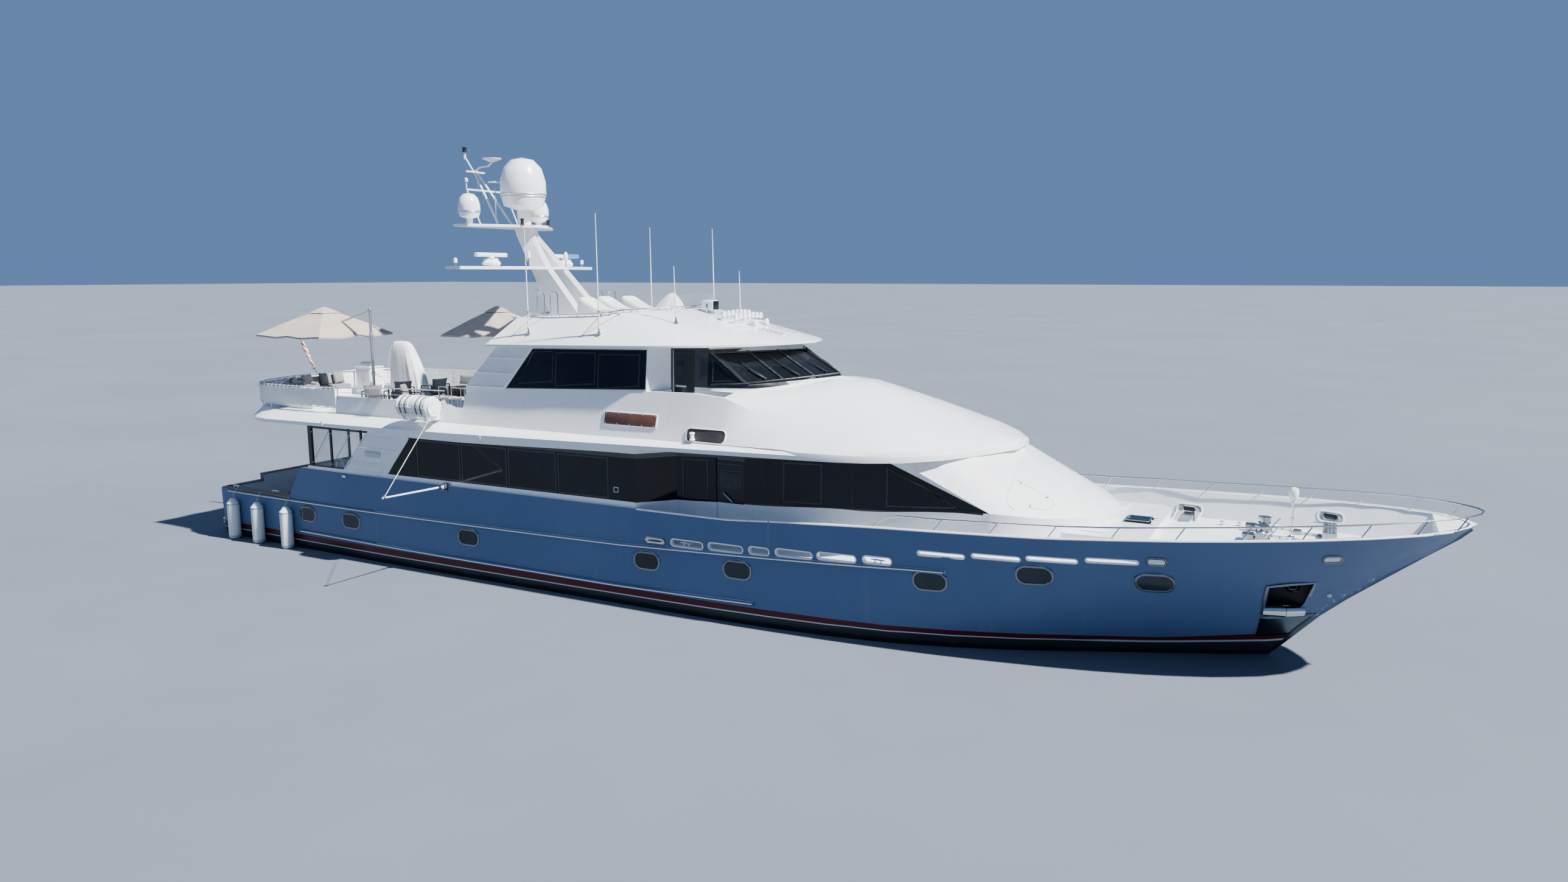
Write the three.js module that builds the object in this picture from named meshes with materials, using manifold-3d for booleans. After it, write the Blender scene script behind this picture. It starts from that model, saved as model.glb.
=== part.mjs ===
// Motor yacht, 38 m raised-pilothouse cockpit type, afloat.
// +X points to the bow, +Y to port, +Z up. The origin is amidships, on the centreline, on the waterline.
// All lengths are in millimetres.
import * as THREE from 'three';
import { mergeVertices } from 'three/addons/utils/BufferGeometryUtils.js';
import Module from 'manifold-3d';

const wasm = await Module();
wasm.setup();

// Driving dimensions
const SEAT_GAP = 0.3;
const TRANSOM_X = -19000;
const STEM_FOOT_X = 14150;
const BOW_TIP_X = 18140;
const BULWARK = 110;
const MAIN_DECK_Z = 1850;
const STRAKE_Z = 2750;
const COCKPIT_CAP_Z = 1660;
const COCKPIT_SOLE_Z = 750;
const COCKPIT_END_X = -15250;
const HOUSE_HALF = 3840;
const HOUSE_INNER_HALF = 2980;
const HOUSE_AFT_X = -11400;
const WIDE_END_X = -1380;
const NARROW_START_X = -600;
const HOUSE_WALL = 90;
const GLASS = 40;
const DOOR_X = 650;
const DOOR_WIDTH = 860;
const DOOR_GAP = 8;
const BOAT_DECK_Z = 4560;
const BOAT_DECK_HALF = 3860;
const WHEELHOUSE_WALL = 70;
const ROOF_EDGE_HALF = 3120;
const SUNDECK_SOLE_Z = 7560;
const SHAFT_Y = 1750;
const RUDDER_X = -16750;
const BOSS_Z = -800;
const PIN_GAP = 0.4;
const PORT = 1;
const STARBOARD = -1;
const SIDES = [['starboard', STARBOARD], ['port', PORT]];

// Finishes
function paint(color, roughness, metalness = 0) {
  return new THREE.MeshStandardMaterial({ color, roughness, metalness });
}
const hullPaint = paint(0x8ca2b6, 0.25);
const gelcoat = paint(0xeef1f3, 0.3);
const glassTint = paint(0x0a0f18, 0.08);
const steel = paint(0xc4c9cd, 0.22, 1);
const spar = paint(0xe9ecee, 0.35);
const teak = paint(0x6a4a35, 0.6);
const fabric = paint(0xb3a59a, 0.9);
const whiteCloth = paint(0xe4e6e8, 0.85);
const upholstery = paint(0x83868c, 0.9);
const fenderVinyl = paint(0xdfe3e6, 0.5);
const blackTrim = paint(0x15181c, 0.4);
const bronze = paint(0xa98446, 0.35, 1);
const bottomPaint = paint(0x15181c, 0.6);

const yacht = new THREE.Group();

function add(name, geometry, material) {
  const mesh = new THREE.Mesh(geometry, material);
  mesh.name = name;
  yacht.add(mesh);
  return mesh;
}

// Closed meshes and booleans

function weld(positions, faces) {
  const raw = new THREE.BufferGeometry();
  raw.setAttribute('position', new THREE.Float32BufferAttribute(positions, 3));
  raw.setIndex(faces);
  const merged = mergeVertices(raw, 1e-3);
  const index = merged.index.array;
  const kept = [];
  for (let i = 0; i < index.length; i += 3) {
    const [a, b, c] = [index[i], index[i + 1], index[i + 2]];
    if (a !== b && b !== c && c !== a) kept.push(a, b, c);
  }
  merged.setIndex(kept);
  return merged;
}

function signedVolume(geometry) {
  const position = geometry.attributes.position;
  const index = geometry.index.array;
  const [a, b, c] = [new THREE.Vector3(), new THREE.Vector3(), new THREE.Vector3()];
  let volume = 0;
  for (let i = 0; i < index.length; i += 3) {
    a.fromBufferAttribute(position, index[i]);
    b.fromBufferAttribute(position, index[i + 1]);
    c.fromBufferAttribute(position, index[i + 2]);
    volume += a.dot(b.cross(c)) / 6;
  }
  return volume;
}

function facedOut(geometry) {
  if (signedVolume(geometry) < 0) {
    const index = geometry.index.array;
    for (let i = 0; i < index.length; i += 3) {
      [index[i + 1], index[i + 2]] = [index[i + 2], index[i + 1]];
    }
  }
  return geometry;
}

// A ring lies in one plane; its cap is cut into triangles in that plane.
function capFaces(ring, start) {
  const normal = new THREE.Vector3();
  ring.forEach(([x, y, z], k) => {
    const [u, v, w] = ring[(k + 1) % ring.length];
    normal.add(new THREE.Vector3((y - v) * (z + w), (z - w) * (x + u), (x - u) * (y + v)));
  });
  if (normal.length() < 1) return [];
  normal.normalize();
  const across = new THREE.Vector3(0, 0, 1).cross(normal);
  if (across.length() < 0.1) across.set(1, 0, 0);
  across.normalize();
  const along = normal.clone().cross(across);
  const flat = ring.map((p) => {
    const q = new THREE.Vector3(...p);
    return new THREE.Vector2(q.dot(across), q.dot(along));
  });
  const triangles = THREE.ShapeUtils.triangulateShape(flat, []);
  return triangles.map((triangle) => triangle.map((k) => k + start));
}

// Skins a row of rings, each a closed list of [x, y, z] with as many points as the next.
function loft(rings) {
  const count = rings[0].length;
  const faces = [];
  for (let r = 0; r + 1 < rings.length; r += 1) {
    for (let k = 0; k < count; k += 1) {
      const a = r * count + k;
      const b = r * count + ((k + 1) % count);
      faces.push(a, b, b + count, a, b + count, a + count);
    }
  }
  capFaces(rings[0], 0).forEach(([a, b, c]) => faces.push(a, c, b));
  capFaces(rings.at(-1), (rings.length - 1) * count).forEach((triangle) => faces.push(...triangle));
  return facedOut(weld(rings.flat(2), faces));
}

function closed(geometry) {
  const plain = geometry.clone();
  plain.deleteAttribute('normal');
  plain.deleteAttribute('uv');
  const merged = mergeVertices(plain, 1e-3);
  return facedOut(weld([...merged.attributes.position.array], [...merged.index.array]));
}

function toSolid(geometry) {
  const vertProperties = new Float32Array(geometry.attributes.position.array);
  const triVerts = new Uint32Array(geometry.index.array);
  return new wasm.Manifold(new wasm.Mesh({ numProp: 3, vertProperties, triVerts }));
}

function toGeometry(solid) {
  const mesh = solid.getMesh();
  const geometry = new THREE.BufferGeometry();
  geometry.setAttribute('position', new THREE.Float32BufferAttribute(mesh.vertProperties, 3));
  geometry.setIndex([...mesh.triVerts]);
  return geometry;
}

function join(...geometries) {
  const solids = geometries.map(toSolid);
  return toGeometry(solids.reduce((sum, next) => sum.add(next)));
}

function cut(geometry, ...tools) {
  return toGeometry(tools.map(toSolid).reduce((rest, tool) => rest.subtract(tool), toSolid(geometry)));
}

function common(geometry, other) {
  return toGeometry(toSolid(geometry).intersect(toSolid(other)));
}

// Simple shapes

// The y range between two distances from the centreline, on one side.
function outboard(side, near, far) {
  return side > 0 ? [near, far] : [-far, -near];
}

function box([x0, x1], [y0, y1], [z0, z1]) {
  const geometry = new THREE.BoxGeometry(x1 - x0, y1 - y0, z1 - z0);
  geometry.translate((x0 + x1) / 2, (y0 + y1) / 2, (z0 + z1) / 2);
  return closed(geometry);
}

// An outline in the X-Z plane, carried across from y0 to y1.
function sideSlab(outline, y0, y1) {
  return loft([y0, y1].map((y) => outline.map(([x, z]) => [x, y, z])));
}

// An outline in plan, carried up from z0 to z1.
function planSlab(outline, z0, z1) {
  return loft([z0, z1].map((z) => outline.map(([x, y]) => [x, y, z])));
}

function rod(from, to, radius, sides = 8, topRadius = radius) {
  const start = new THREE.Vector3(...from);
  const end = new THREE.Vector3(...to);
  const axis = end.clone().sub(start);
  const geometry = new THREE.CylinderGeometry(topRadius, radius, axis.length(), sides);
  const turn = new THREE.Quaternion().setFromUnitVectors(new THREE.Vector3(0, 1, 0), axis.clone().normalize());
  geometry.applyQuaternion(turn);
  const middle = start.add(end).multiplyScalar(0.5);
  geometry.translate(middle.x, middle.y, middle.z);
  return closed(geometry);
}

function pipe(points, radius, steps, sides = 6, isLoop = false) {
  const route = new THREE.CatmullRomCurve3(points.map((p) => new THREE.Vector3(...p)), isLoop, 'centripetal');
  const section = new THREE.Shape();
  section.absarc(0, 0, radius, 0, 2 * Math.PI);
  const geometry = new THREE.ExtrudeGeometry(section, { steps, extrudePath: route, curveSegments: sides / 2 });
  return closed(geometry);
}

// The point of a pipe's centre line, on one side, where it crosses a given x.
function pipePoint(points, steps, x, side) {
  const line = new THREE.CatmullRomCurve3(points.map((p) => new THREE.Vector3(...p)), false, 'centripetal');
  const spaced = line.getSpacedPoints(steps).filter((p) => p.y * side >= 0).sort((p, q) => p.x - q.x);
  const k = Math.max(spaced.findIndex((p) => p.x > x), 1);
  const [before, after] = [spaced[k - 1], spaced[k]];
  return before.clone().lerp(after, (x - before.x) / (after.x - before.x)).toArray();
}

// A turned shape: profile of [radius, height], starting and ending on the axis, standing on [x, y, z].
function turned(profile, [x, y, z], sides = 20) {
  const geometry = new THREE.LatheGeometry(profile.map(([r, h]) => new THREE.Vector2(r, h)), sides);
  geometry.rotateX(Math.PI / 2);
  geometry.translate(x, y, z);
  return closed(geometry);
}

// Smooth curve through knots of [x, value], with no overshoot.
function through(knots) {
  const slopes = knots.slice(1).map(([x, v], k) => (v - knots[k][1]) / (x - knots[k][0]));
  const tangents = knots.map((_, k) => {
    const before = slopes[Math.max(k - 1, 0)];
    const after = slopes[Math.min(k, slopes.length - 1)];
    if (before * after <= 0) return 0;
    return (2 * before * after) / (before + after);
  });
  return (x) => {
    if (x <= knots[0][0]) return knots[0][1];
    if (x >= knots.at(-1)[0]) return knots.at(-1)[1];
    const k = knots.findIndex(([end]) => end > x) - 1;
    const width = knots[k + 1][0] - knots[k][0];
    const t = (x - knots[k][0]) / width;
    const [t2, t3] = [t * t, t * t * t];
    return (2 * t3 - 3 * t2 + 1) * knots[k][1] + (t3 - 2 * t2 + t) * width * tangents[k]
      + (3 * t2 - 2 * t3) * knots[k + 1][1] + (t3 - t2) * width * tangents[k + 1];
  };
}

// Hull lines, each a curve over X
const keelLine = through([
  [TRANSOM_X, -700], [-14000, -1300], [-6000, -1750], [3000, -1800], [9000, -1600], [12000, -1150],
  [13250, -700], [STEM_FOOT_X, 0], [15270, 1200], [16480, 2210], [17830, 3280], [BOW_TIP_X, 3630],
]);
const waterHalf = through([
  [TRANSOM_X, 3600], [-15500, 3750], [-9000, 3880], [0, 3880], [3000, 3780], [5700, 3450],
  [8450, 2600], [11800, 1080], [13100, 530], [STEM_FOOT_X, 0],
]);
const capHalf = through([
  [TRANSOM_X, 3720], [-10000, 3920], [0, 3920], [4000, 3880], [7000, 3740], [9600, 3500], [12300, 3060],
  [14800, 2430], [17000, 1450], [17700, 850], [17980, 420], [BOW_TIP_X, 0],
]);
const capHeight = through([
  [TRANSOM_X, STRAKE_Z], [1500, STRAKE_Z], [3100, 2860], [5600, 2980], [9600, 3100], [12300, 3250],
  [14800, 3410], [16900, 3550], [BOW_TIP_X, 3630],
]);
const flare = through([[-5000, 0.35], [0, 0.45], [5700, 0.7], [10000, 0.95], [14000, 1.05]]);

// Half breadth of the topsides at a height, from the waterline or the stem up to the cap rail.
function topsideHalf(x, z) {
  const low = Math.max(keelLine(x), 0);
  const start = x < STEM_FOOT_X ? waterHalf(x) : 0;
  const t = THREE.MathUtils.clamp((z - low) / Math.max(capHeight(x) - low, 1), 0, 1);
  return start + (capHalf(x) - start) * t ** flare(x);
}

// Half of one hull section, from the cap rail down to the keel: rows of topside then rows of bottom.
const TOPSIDE_ROWS = [1, 0.84, 0.68, 0.5, 0.33, 0.16, 0];
const BOTTOM_ROWS = [[0.3, 0.95], [0.65, 0.6], [1, 0]];
function halfSection(x) {
  const low = Math.max(keelLine(x), 0);
  const top = capHeight(x);
  const topside = TOPSIDE_ROWS.map((t) => {
    const z = low + (top - low) * t;
    return [topsideHalf(x, z), z];
  });
  const isBow = x >= STEM_FOOT_X;
  const bottom = BOTTOM_ROWS.map(([depth, breadth]) => {
    if (isBow) return [0, low];
    return [waterHalf(x) * breadth, keelLine(x) * depth];
  });
  return [...topside, ...bottom];
}

function mirroredRing(x, half) {
  const starboard = half.map(([y, z]) => [x, -y, z]);
  const port = half.slice(0, -1).reverse().map(([y, z]) => [x, y, z]);
  return [...starboard, ...port];
}

// Hull

const stations = [];
for (let x = TRANSOM_X; x < 12000; x += 1550) stations.push(x);
stations.push(12600, 13400, STEM_FOOT_X, 15000, 15900, 16700, 17300, 17700, 17980, BOW_TIP_X);

const DECK_BELOW_CAP = 620;
const STEP_UP_X = 6200;
const foredeckZ = (x) => capHeight(x) - DECK_BELOW_CAP;
const sideDeckZ = (x) => MAIN_DECK_Z + 0.033 * Math.max(x, 0);

// A space open to the sky, inside the bulwarks, between two stations; crown lifts the floor on the centreline.
function well(xs, floor, crown = () => 0) {
  return loft(xs.map((x) => {
    const z = floor(x);
    const bottom = Math.max(topsideHalf(x, z) - BULWARK, 60);
    const top = Math.max(capHalf(x) - BULWARK, 90);
    const lip = capHeight(x) + 60;
    return [[x, -top, lip], [x, -bottom, z], [x, 0, z + crown(x)], [x, bottom, z], [x, top, lip]];
  }));
}

const foredeckCrown = through([[10700, 0], [11600, 250], [13500, 210], [15000, 120], [17350, 20]]);
const foredeckStations = [STEP_UP_X, 8000, 10000, 10700, 11600, 12500, 13500, 15000, 16200, 17000, 17350];
const foredeckWell = well(foredeckStations, foredeckZ, foredeckCrown);
const sideDeckWell = well([-900, 1500, 3500, STEP_UP_X + 1], sideDeckZ);
const saloonWell = well([-15000, -12000, -8000, -4000, -899], () => MAIN_DECK_Z);
const COCKPIT_HALF = 3450;
const cockpitWell = box([-18820, COCKPIT_END_X], [-COCKPIT_HALF, COCKPIT_HALF], [COCKPIT_SOLE_Z, 3000]);
const aftCutaway = sideSlab([
  [-21000, COCKPIT_CAP_Z], [-15400, COCKPIT_CAP_Z], [-14800, 2600], [-14650, STRAKE_Z + 5],
  [-14650, 4000], [-21000, 4000],
], -5000, 5000);

const GATE_X = 2160;
const GATE_WIDTH = 560;
const GATE_SILL_Z = 1935;
const GATE_FOOT_Z = 2110;
const ports = [
  // start x, width, bottom z, height
  [-200, 970, 1870, 170], [960, 1000, 1905, 170], [2920, 1000, 1975, 170], [4070, 1000, 2015, 170],
  [5270, 700, 2055, 170],
  [6640, 1090, 2395, 95], [7920, 1080, 2450, 95], [9160, 1090, 2500, 95], [10450, 1080, 2560, 95],
];
const freeingPorts = ports.flatMap(([x, width, z, height]) => SIDES.map(([, side]) => (
  box([x, x + width], outboard(side, 2600, 4200), [z, z + height])
)));
const gateOpenings = SIDES.map(([, side]) => (
  box([GATE_X, GATE_X + GATE_WIDTH], outboard(side, 3500, 4300), [GATE_SILL_Z, 3100])
));

// Anchor pockets high on the bow: the back of each is a plane beside the centreline
const POCKET_BACK_Y = 420;
const pocketOutline = [[14190, 2060], [15060, 2140], [14900, 1560], [14780, 1330], [14080, 1300]];
const anchorPockets = SIDES.map(([, side]) => sideSlab(pocketOutline, ...outboard(side, POCKET_BACK_Y, 3000)));

const rawHull = loft(stations.map((x) => mirroredRing(x, halfSection(x))));
const platformHeight = 1880;
const transomCrest = box([TRANSOM_X, -18820], [-2170, 2170], [COCKPIT_CAP_Z - 20, platformHeight]);
const rudderBosses = SIDES.map(([, side]) => (
  rod([RUDDER_X, SHAFT_Y * side, BOSS_Z], [RUDDER_X, SHAFT_Y * side, -500], 110, 12)
));
const hull = join(
  cut(
    rawHull, foredeckWell, sideDeckWell, saloonWell, cockpitWell, aftCutaway,
    ...freeingPorts, ...gateOpenings, ...anchorPockets,
  ),
  transomCrest, ...rudderBosses,
);
add('hull', hull, hullPaint);

// Boarding gates, hinged at their forward edge, with the hull's own outer face
const GATE_GAP = 6;
const GATE_HINGE_GAP = 12;
const GATE_PIN_X = GATE_X + GATE_WIDTH - GATE_HINGE_GAP - 8;
for (const [name, side] of SIDES) {
  const span = [GATE_X + GATE_GAP, GATE_X + GATE_WIDTH - GATE_HINGE_GAP];
  const inner = (x, z) => topsideHalf(x, z) - BULWARK + 20;
  const ring = (x) => {
    const z0 = GATE_FOOT_Z;
    const z1 = capHeight(x);
    return [
      [x, side * inner(x, z0), z0], [x, side * topsideHalf(x, z0), z0],
      [x, side * topsideHalf(x, z1), z1], [x, side * inner(x, z1), z1],
    ];
  };
  const pinY = side * (inner(GATE_PIN_X, GATE_SILL_Z) + 14);
  const pin = rod([GATE_PIN_X, pinY, GATE_SILL_Z + PIN_GAP], [GATE_PIN_X, pinY, GATE_FOOT_Z + 60], 7, 8);
  add(`boarding_gate_${name}`, join(loft(span.map(ring)), pin), hullPaint);
}

// Swim platform on the transom
const PLATFORM_Z = 420;
const swimPlatform = planSlab([
  [TRANSOM_X - SEAT_GAP, -3350], [TRANSOM_X - 700, -3250], [TRANSOM_X - 900, -2900],
  [TRANSOM_X - 900, 2900], [TRANSOM_X - 700, 3250], [TRANSOM_X - SEAT_GAP, 3350],
], PLATFORM_Z - 160, PLATFORM_Z);
add('swim_platform', swimPlatform, gelcoat);

// Underwater gear, one set each side. The propeller turns on the sloping line of its shaft.
const SHAFT_TOP = [-11200, -880];
const PROP_AT = [-15600, -1440];
const PROP_RADIUS = 520;
const shaftSlope = Math.atan2(SHAFT_TOP[1] - PROP_AT[1], SHAFT_TOP[0] - PROP_AT[0]);
const onShaft = (distance, y) => [
  PROP_AT[0] + distance * Math.cos(shaftSlope), y, PROP_AT[1] + distance * Math.sin(shaftSlope),
];
const hullLowered = hull.clone().translate(0, 0, -SEAT_GAP);

function propellerBlade(turn) {
  // radius from the axis, chord, pitch angle of the section
  const sections = [[70, 210, 0.9], [260, 330, 0.62], [430, 250, 0.45], [PROP_RADIUS, 60, 0.36]];
  const skin = loft(sections.map(([radius, chord, pitch]) => {
    const [along, across] = [Math.sin(pitch) * chord / 2, Math.cos(pitch) * chord / 2];
    return [
      [-along - 9, -across, radius], [along - 9, across, radius],
      [along + 9, across, radius], [-along + 9, -across, radius],
    ];
  }));
  return skin.rotateX(turn);
}

for (const [name, side] of SIDES) {
  const y = SHAFT_Y * side;
  const shaft = rod([SHAFT_TOP[0], y, SHAFT_TOP[1]], onShaft(190 + PIN_GAP, y), 55, 10);
  const barrel = rod(onShaft(560, y), onShaft(215, y), 95, 10);
  const strut = loft([[y - 60 * side, -500], [y, -1380]].map(([at, z]) => [
    [PROP_AT[0] + 260, at - 22, z], [PROP_AT[0] + 520, at - 22, z],
    [PROP_AT[0] + 520, at + 22, z], [PROP_AT[0] + 260, at + 22, z],
  ]));
  add(`shaft_strut_${name}`, cut(join(shaft, barrel, strut), hullLowered), bronze);

  const hub = rod([190, 0, 0], [-190, 0, 0], 95, 12, 60);
  const blades = [0, 1, 2, 3].map((k) => propellerBlade((k * Math.PI) / 2 + Math.PI / 4));
  const propeller = join(hub, ...blades).rotateY(-shaftSlope).translate(PROP_AT[0], y, PROP_AT[1]);
  add(`propeller_${name}`, propeller, bronze);

  const stock = rod([RUDDER_X, y, BOSS_Z - PIN_GAP], [RUDDER_X, y, -1500], 48, 12);
  const blade = loft([[-850, 640], [-1900, 470]].map(([z, chord]) => [
    [RUDDER_X + chord * 0.32, y, z], [RUDDER_X + chord * 0.1, y - 45, z], [RUDDER_X - chord * 0.68, y - 8, z],
    [RUDDER_X - chord * 0.68, y + 8, z], [RUDDER_X + chord * 0.1, y + 45, z],
  ]));
  add(`rudder_${name}`, join(stock, blade), bronze);
}

// Main deckhouse

const sill = through([[-11000, 2870], [-700, 2900], [2900, 3070], [5600, 3220], [8150, 3410]]);
const head = through([[-9500, 4080], [-600, 4100], [2900, 4280], [5600, 4420]]);
const underDeck = through([[-18500, 4140], [-10000, 4200], [0, 4380], [3300, 4450], [5600, 4500], [8200, 4590]]);

// Nose of the trunk in plan, starboard to port, at its foot and at its top.
const footNose = [[8150, 2980], [9200, 2600], [9950, 1850], [10400, 1000], [10650, 0]];
const topNose = [[5600, 2980], [6500, 2640], [7300, 1950], [7750, 1030], [7960, 0]];
const footNoseZ = [3410, 3330, 3250, 3170, 3130];
const topNoseZ = 4600;

function mirroredPlan(half) {
  const starboard = half.map(([x, y]) => [x, -y]);
  const port = half.slice().reverse().filter(([, y]) => y > 0).map(([x, y]) => [x, y]);
  return [...starboard, ...port];
}

function housePlan(inset, nose) {
  const aft = [
    [HOUSE_AFT_X + inset, HOUSE_HALF - inset], [WIDE_END_X - inset * 0.4, HOUSE_HALF - inset],
    [NARROW_START_X - inset * 0.4, HOUSE_INNER_HALF - inset], [3000, HOUSE_INNER_HALF - inset],
  ];
  const bow = nose.map(([x, y]) => [x - inset, Math.max(y - inset * 0.8, 0)]);
  return mirroredPlan([...aft, ...bow]);
}

function houseBody(inset, bottomZ) {
  const [foot, top] = [housePlan(inset, footNose), housePlan(inset, topNose)];
  const shoulder = (k) => {
    const half = Math.min(k, foot.length - 1 - k);
    return half < 4 ? footNoseZ[0] : footNoseZ[half - 4];
  };
  const lowered = inset * 0.9;
  const rings = [
    [foot, () => bottomZ], [foot, (k) => shoulder(k) - lowered], [top, () => topNoseZ - lowered],
    [top, () => topNoseZ + 300],
  ];
  return loft(rings.map(([plan, height]) => plan.map(([x, y], k) => [x, y, height(k)])));
}

const STERN_LIP_X = -18700;
const BROW_TIP_X = 8120;
const deckStations = [
  STERN_LIP_X, -18400, -17900, -17400, -16850, -16200, -12000, -8000, -3000, 0, 2600, 3500, 4500, 5300, 6100, 6900,
  7600, BROW_TIP_X,
];
const bandAbove = sideSlab([
  ...deckStations.map((x) => [x, underDeck(x) - SEAT_GAP]), [9000, underDeck(BROW_TIP_X) - SEAT_GAP], [9000, 6000],
  [STERN_LIP_X, 6000],
], -5000, 5000);

// Side view outline of the window band; the far ends are raked.
function windowBand(shrink) {
  const bottom = [-10680 + 2 * shrink, -700, 2900, 5600].map((x) => [x, sill(x) + shrink]);
  const top = [5600 - shrink, 2900, -600, -9720 + shrink].map((x) => [x, head(x) - shrink]);
  return [...bottom, [8150 - 3 * shrink, sill(8150) + shrink], ...top];
}

// Panes of the band, each [aft x, fore x], with pillars left between them.
const panes = [[-9350, -7700], [-7550, -5900], [-5750, -4100], [-3950, -2300], [-400, 400], [2670, 3780]];
const paneCuts = panes.map(([x0, x1]) => sideSlab([
  [x0, sill(x0) + 80], [x1, sill(x1) + 80], [x1, head(x1) - 80], [x0, head(x0) - 80],
], -4300, 4300));
const lastPane = sideSlab([[5650, sill(5600) + 90], [7500, 3480], [5650, head(5600) - 120]], -4300, 4300);
const doorOpening = sideSlab([
  [DOOR_X, 2010], [DOOR_X + DOOR_WIDTH, 2010], [DOOR_X + DOOR_WIDTH, 4100], [DOOR_X, 4100],
], -4300, 4300);
const saloonDoorway = box([HOUSE_AFT_X - 200, HOUSE_AFT_X + 300], [-1250, 1250], [MAIN_DECK_Z + 60, 4000]);
const outerHouse = houseBody(0, MAIN_DECK_Z - 100);
const rebate = cut(sideSlab(windowBand(0), -4300, 4300), houseBody(GLASS, 1000));
const hullStandIn = (grow) => {
  const floorAt = (x) => (x < STEP_UP_X ? sideDeckZ(x) : foredeckZ(x)) + grow;
  const under = [-16000, -900, 1500, 3500, STEP_UP_X - 0.5, STEP_UP_X + 0.5, 8000, 10000, 10700];
  return sideSlab([...under.map((x) => [x, floorAt(x)]), [10700, 0], [-16000, 0]], -5000, 5000);
};
const strakeRooms = SIDES.flatMap(([, side]) => (
  [[-16000, WIDE_END_X - 99, 3690], [WIDE_END_X - 100, 0, 3795]].map(([x0, x1, y]) => (
    box([x0, x1], outboard(side, y, 5000), [0, STRAKE_Z + SEAT_GAP])
  ))
));
const interior = houseBody(HOUSE_WALL, 1000);

// Walls that run on aft of the bulkhead beside the aft deck: a low coaming that rises in a raked edge
const COAMING_Z = 2850;
const wings = SIDES.map(([, side]) => sideSlab([
  [-14330, STRAKE_Z + SEAT_GAP], [-11000, STRAKE_Z + SEAT_GAP], [-11000, 4500], [-11170, 4500],
  [-12565, COAMING_Z], [-14290, COAMING_Z],
], ...outboard(side, HOUSE_HALF - HOUSE_WALL, HOUSE_HALF)));
const deckhouse = cut(
  join(cut(outerHouse, interior), ...wings), bandAbove, rebate, ...paneCuts, lastPane, doorOpening,
  hullStandIn(SEAT_GAP), ...strakeRooms, saloonDoorway,
);
add('deckhouse', deckhouse, gelcoat);

// Tinted glass in the band, in two lengths each side of the side door
const glassSkin = cut(common(outerHouse, sideSlab(windowBand(SEAT_GAP), -4300, 4300)), houseBody(GLASS - SEAT_GAP, 1000));
const doorSplit = [DOOR_X - DOOR_GAP, DOOR_X + DOOR_WIDTH + DOOR_GAP];
for (const [name, side] of SIDES) {
  const [y0, y1] = side > 0 ? [0, 5000] : [-5000, 0];
  add(`saloon_glass_aft_${name}`, common(glassSkin, box([-12000, doorSplit[0]], [y0, y1], [0, 6000])), glassTint);
  add(`saloon_glass_fore_${name}`, common(glassSkin, box([doorSplit[1], 9000], [y0, y1], [0, 6000])), glassTint);
}

// Boat deck, from the stern overhang to the lip of the brow

const deckHalf = through([
  [-18760, 0], [STERN_LIP_X, 900], [-18400, 2000], [-17900, 2870], [-17400, 3400], [-16850, 3720],
  [-16200, BOAT_DECK_HALF], [3300, BOAT_DECK_HALF], [4500, 3830], [5300, 3700], [6100, 3400], [6900, 2740],
  [7600, 1640], [BROW_TIP_X, 560], [8240, 0],
]);
const deckTop = through([[-2000, BOAT_DECK_Z], [3300, 4640], [8000, 4690]]);
const stripWidth = through([[-18400, 300], [-17000, 420], [2600, 420], [3500, 30], [8000, 10]]);

function boatDeckSection(x) {
  const half = deckHalf(x);
  const bottom = underDeck(x);
  return mirroredRing(x, [
    [half - stripWidth(x) * 0.98, deckTop(x)], [half, Math.min(bottom + 110, deckTop(x) - 20)], [half, bottom], [0, bottom],
  ]);
}
const boatDeck = loft(deckStations.map(boatDeckSection));
add('boat_deck', boatDeck, gelcoat);

// Upper house: side coamings aft, shell round the wheelhouse and the brow that falls to the foredeck

const baseHalf = through([[-13350, 3420], [-2000, 3420], [1000, 3500], [3200, 3640], [3700, 3790], [4500, 3800]]);
const shoulderHalf = through([
  [-13350, 3360], [-9000, 3340], [-8050, 3100], [0, 3100], [1500, 3080], [2500, 3110], [3500, 3260], [4500, 3600],
  [5300, 3620], [6100, 3330], [6900, 2660], [7600, 1560], [BROW_TIP_X, 470],
]);
const shoulderZ = through([
  [-13350, 5120], [-8900, 5140], [-8050, 5570], [-6500, 5650], [0, 5860], [1000, 5780], [2000, 5430], [3000, 5090],
  [3800, 4880], [4500, 4780], [8000, 4760],
]);
const crownZ = through([
  [-8050, 5600], [0, 5930], [1000, 6010], [3200, 6190], [3700, 6120], [5100, 5700], [6900, 5120], [7900, 4850],
  [BROW_TIP_X, 4800],
]);
const CROWN_ROWS = [1, 0.8, 0.55, 0.28, 0];
const upperStations = [
  -13350, -9000, -8500, -8050, -6500, -3000, 0, 1000, 2000, 3000, 3700, 4500, 5300, 6100, 6900, 7600, BROW_TIP_X,
];

function upperSection(x) {
  const base = Math.min(baseHalf(x), deckHalf(x) - 20);
  const shoulder = Math.min(shoulderHalf(x), base - 5);
  const crown = x < -8050 ? shoulderZ(x) : Math.max(crownZ(x), shoulderZ(x));
  const rows = CROWN_ROWS.map((share) => [shoulder * share, crown - (crown - shoulderZ(x)) * share ** 2.2]);
  return mirroredRing(x, [[base, deckTop(x) + SEAT_GAP], ...rows]);
}
const upperBody = loft(upperStations.map(upperSection));

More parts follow.
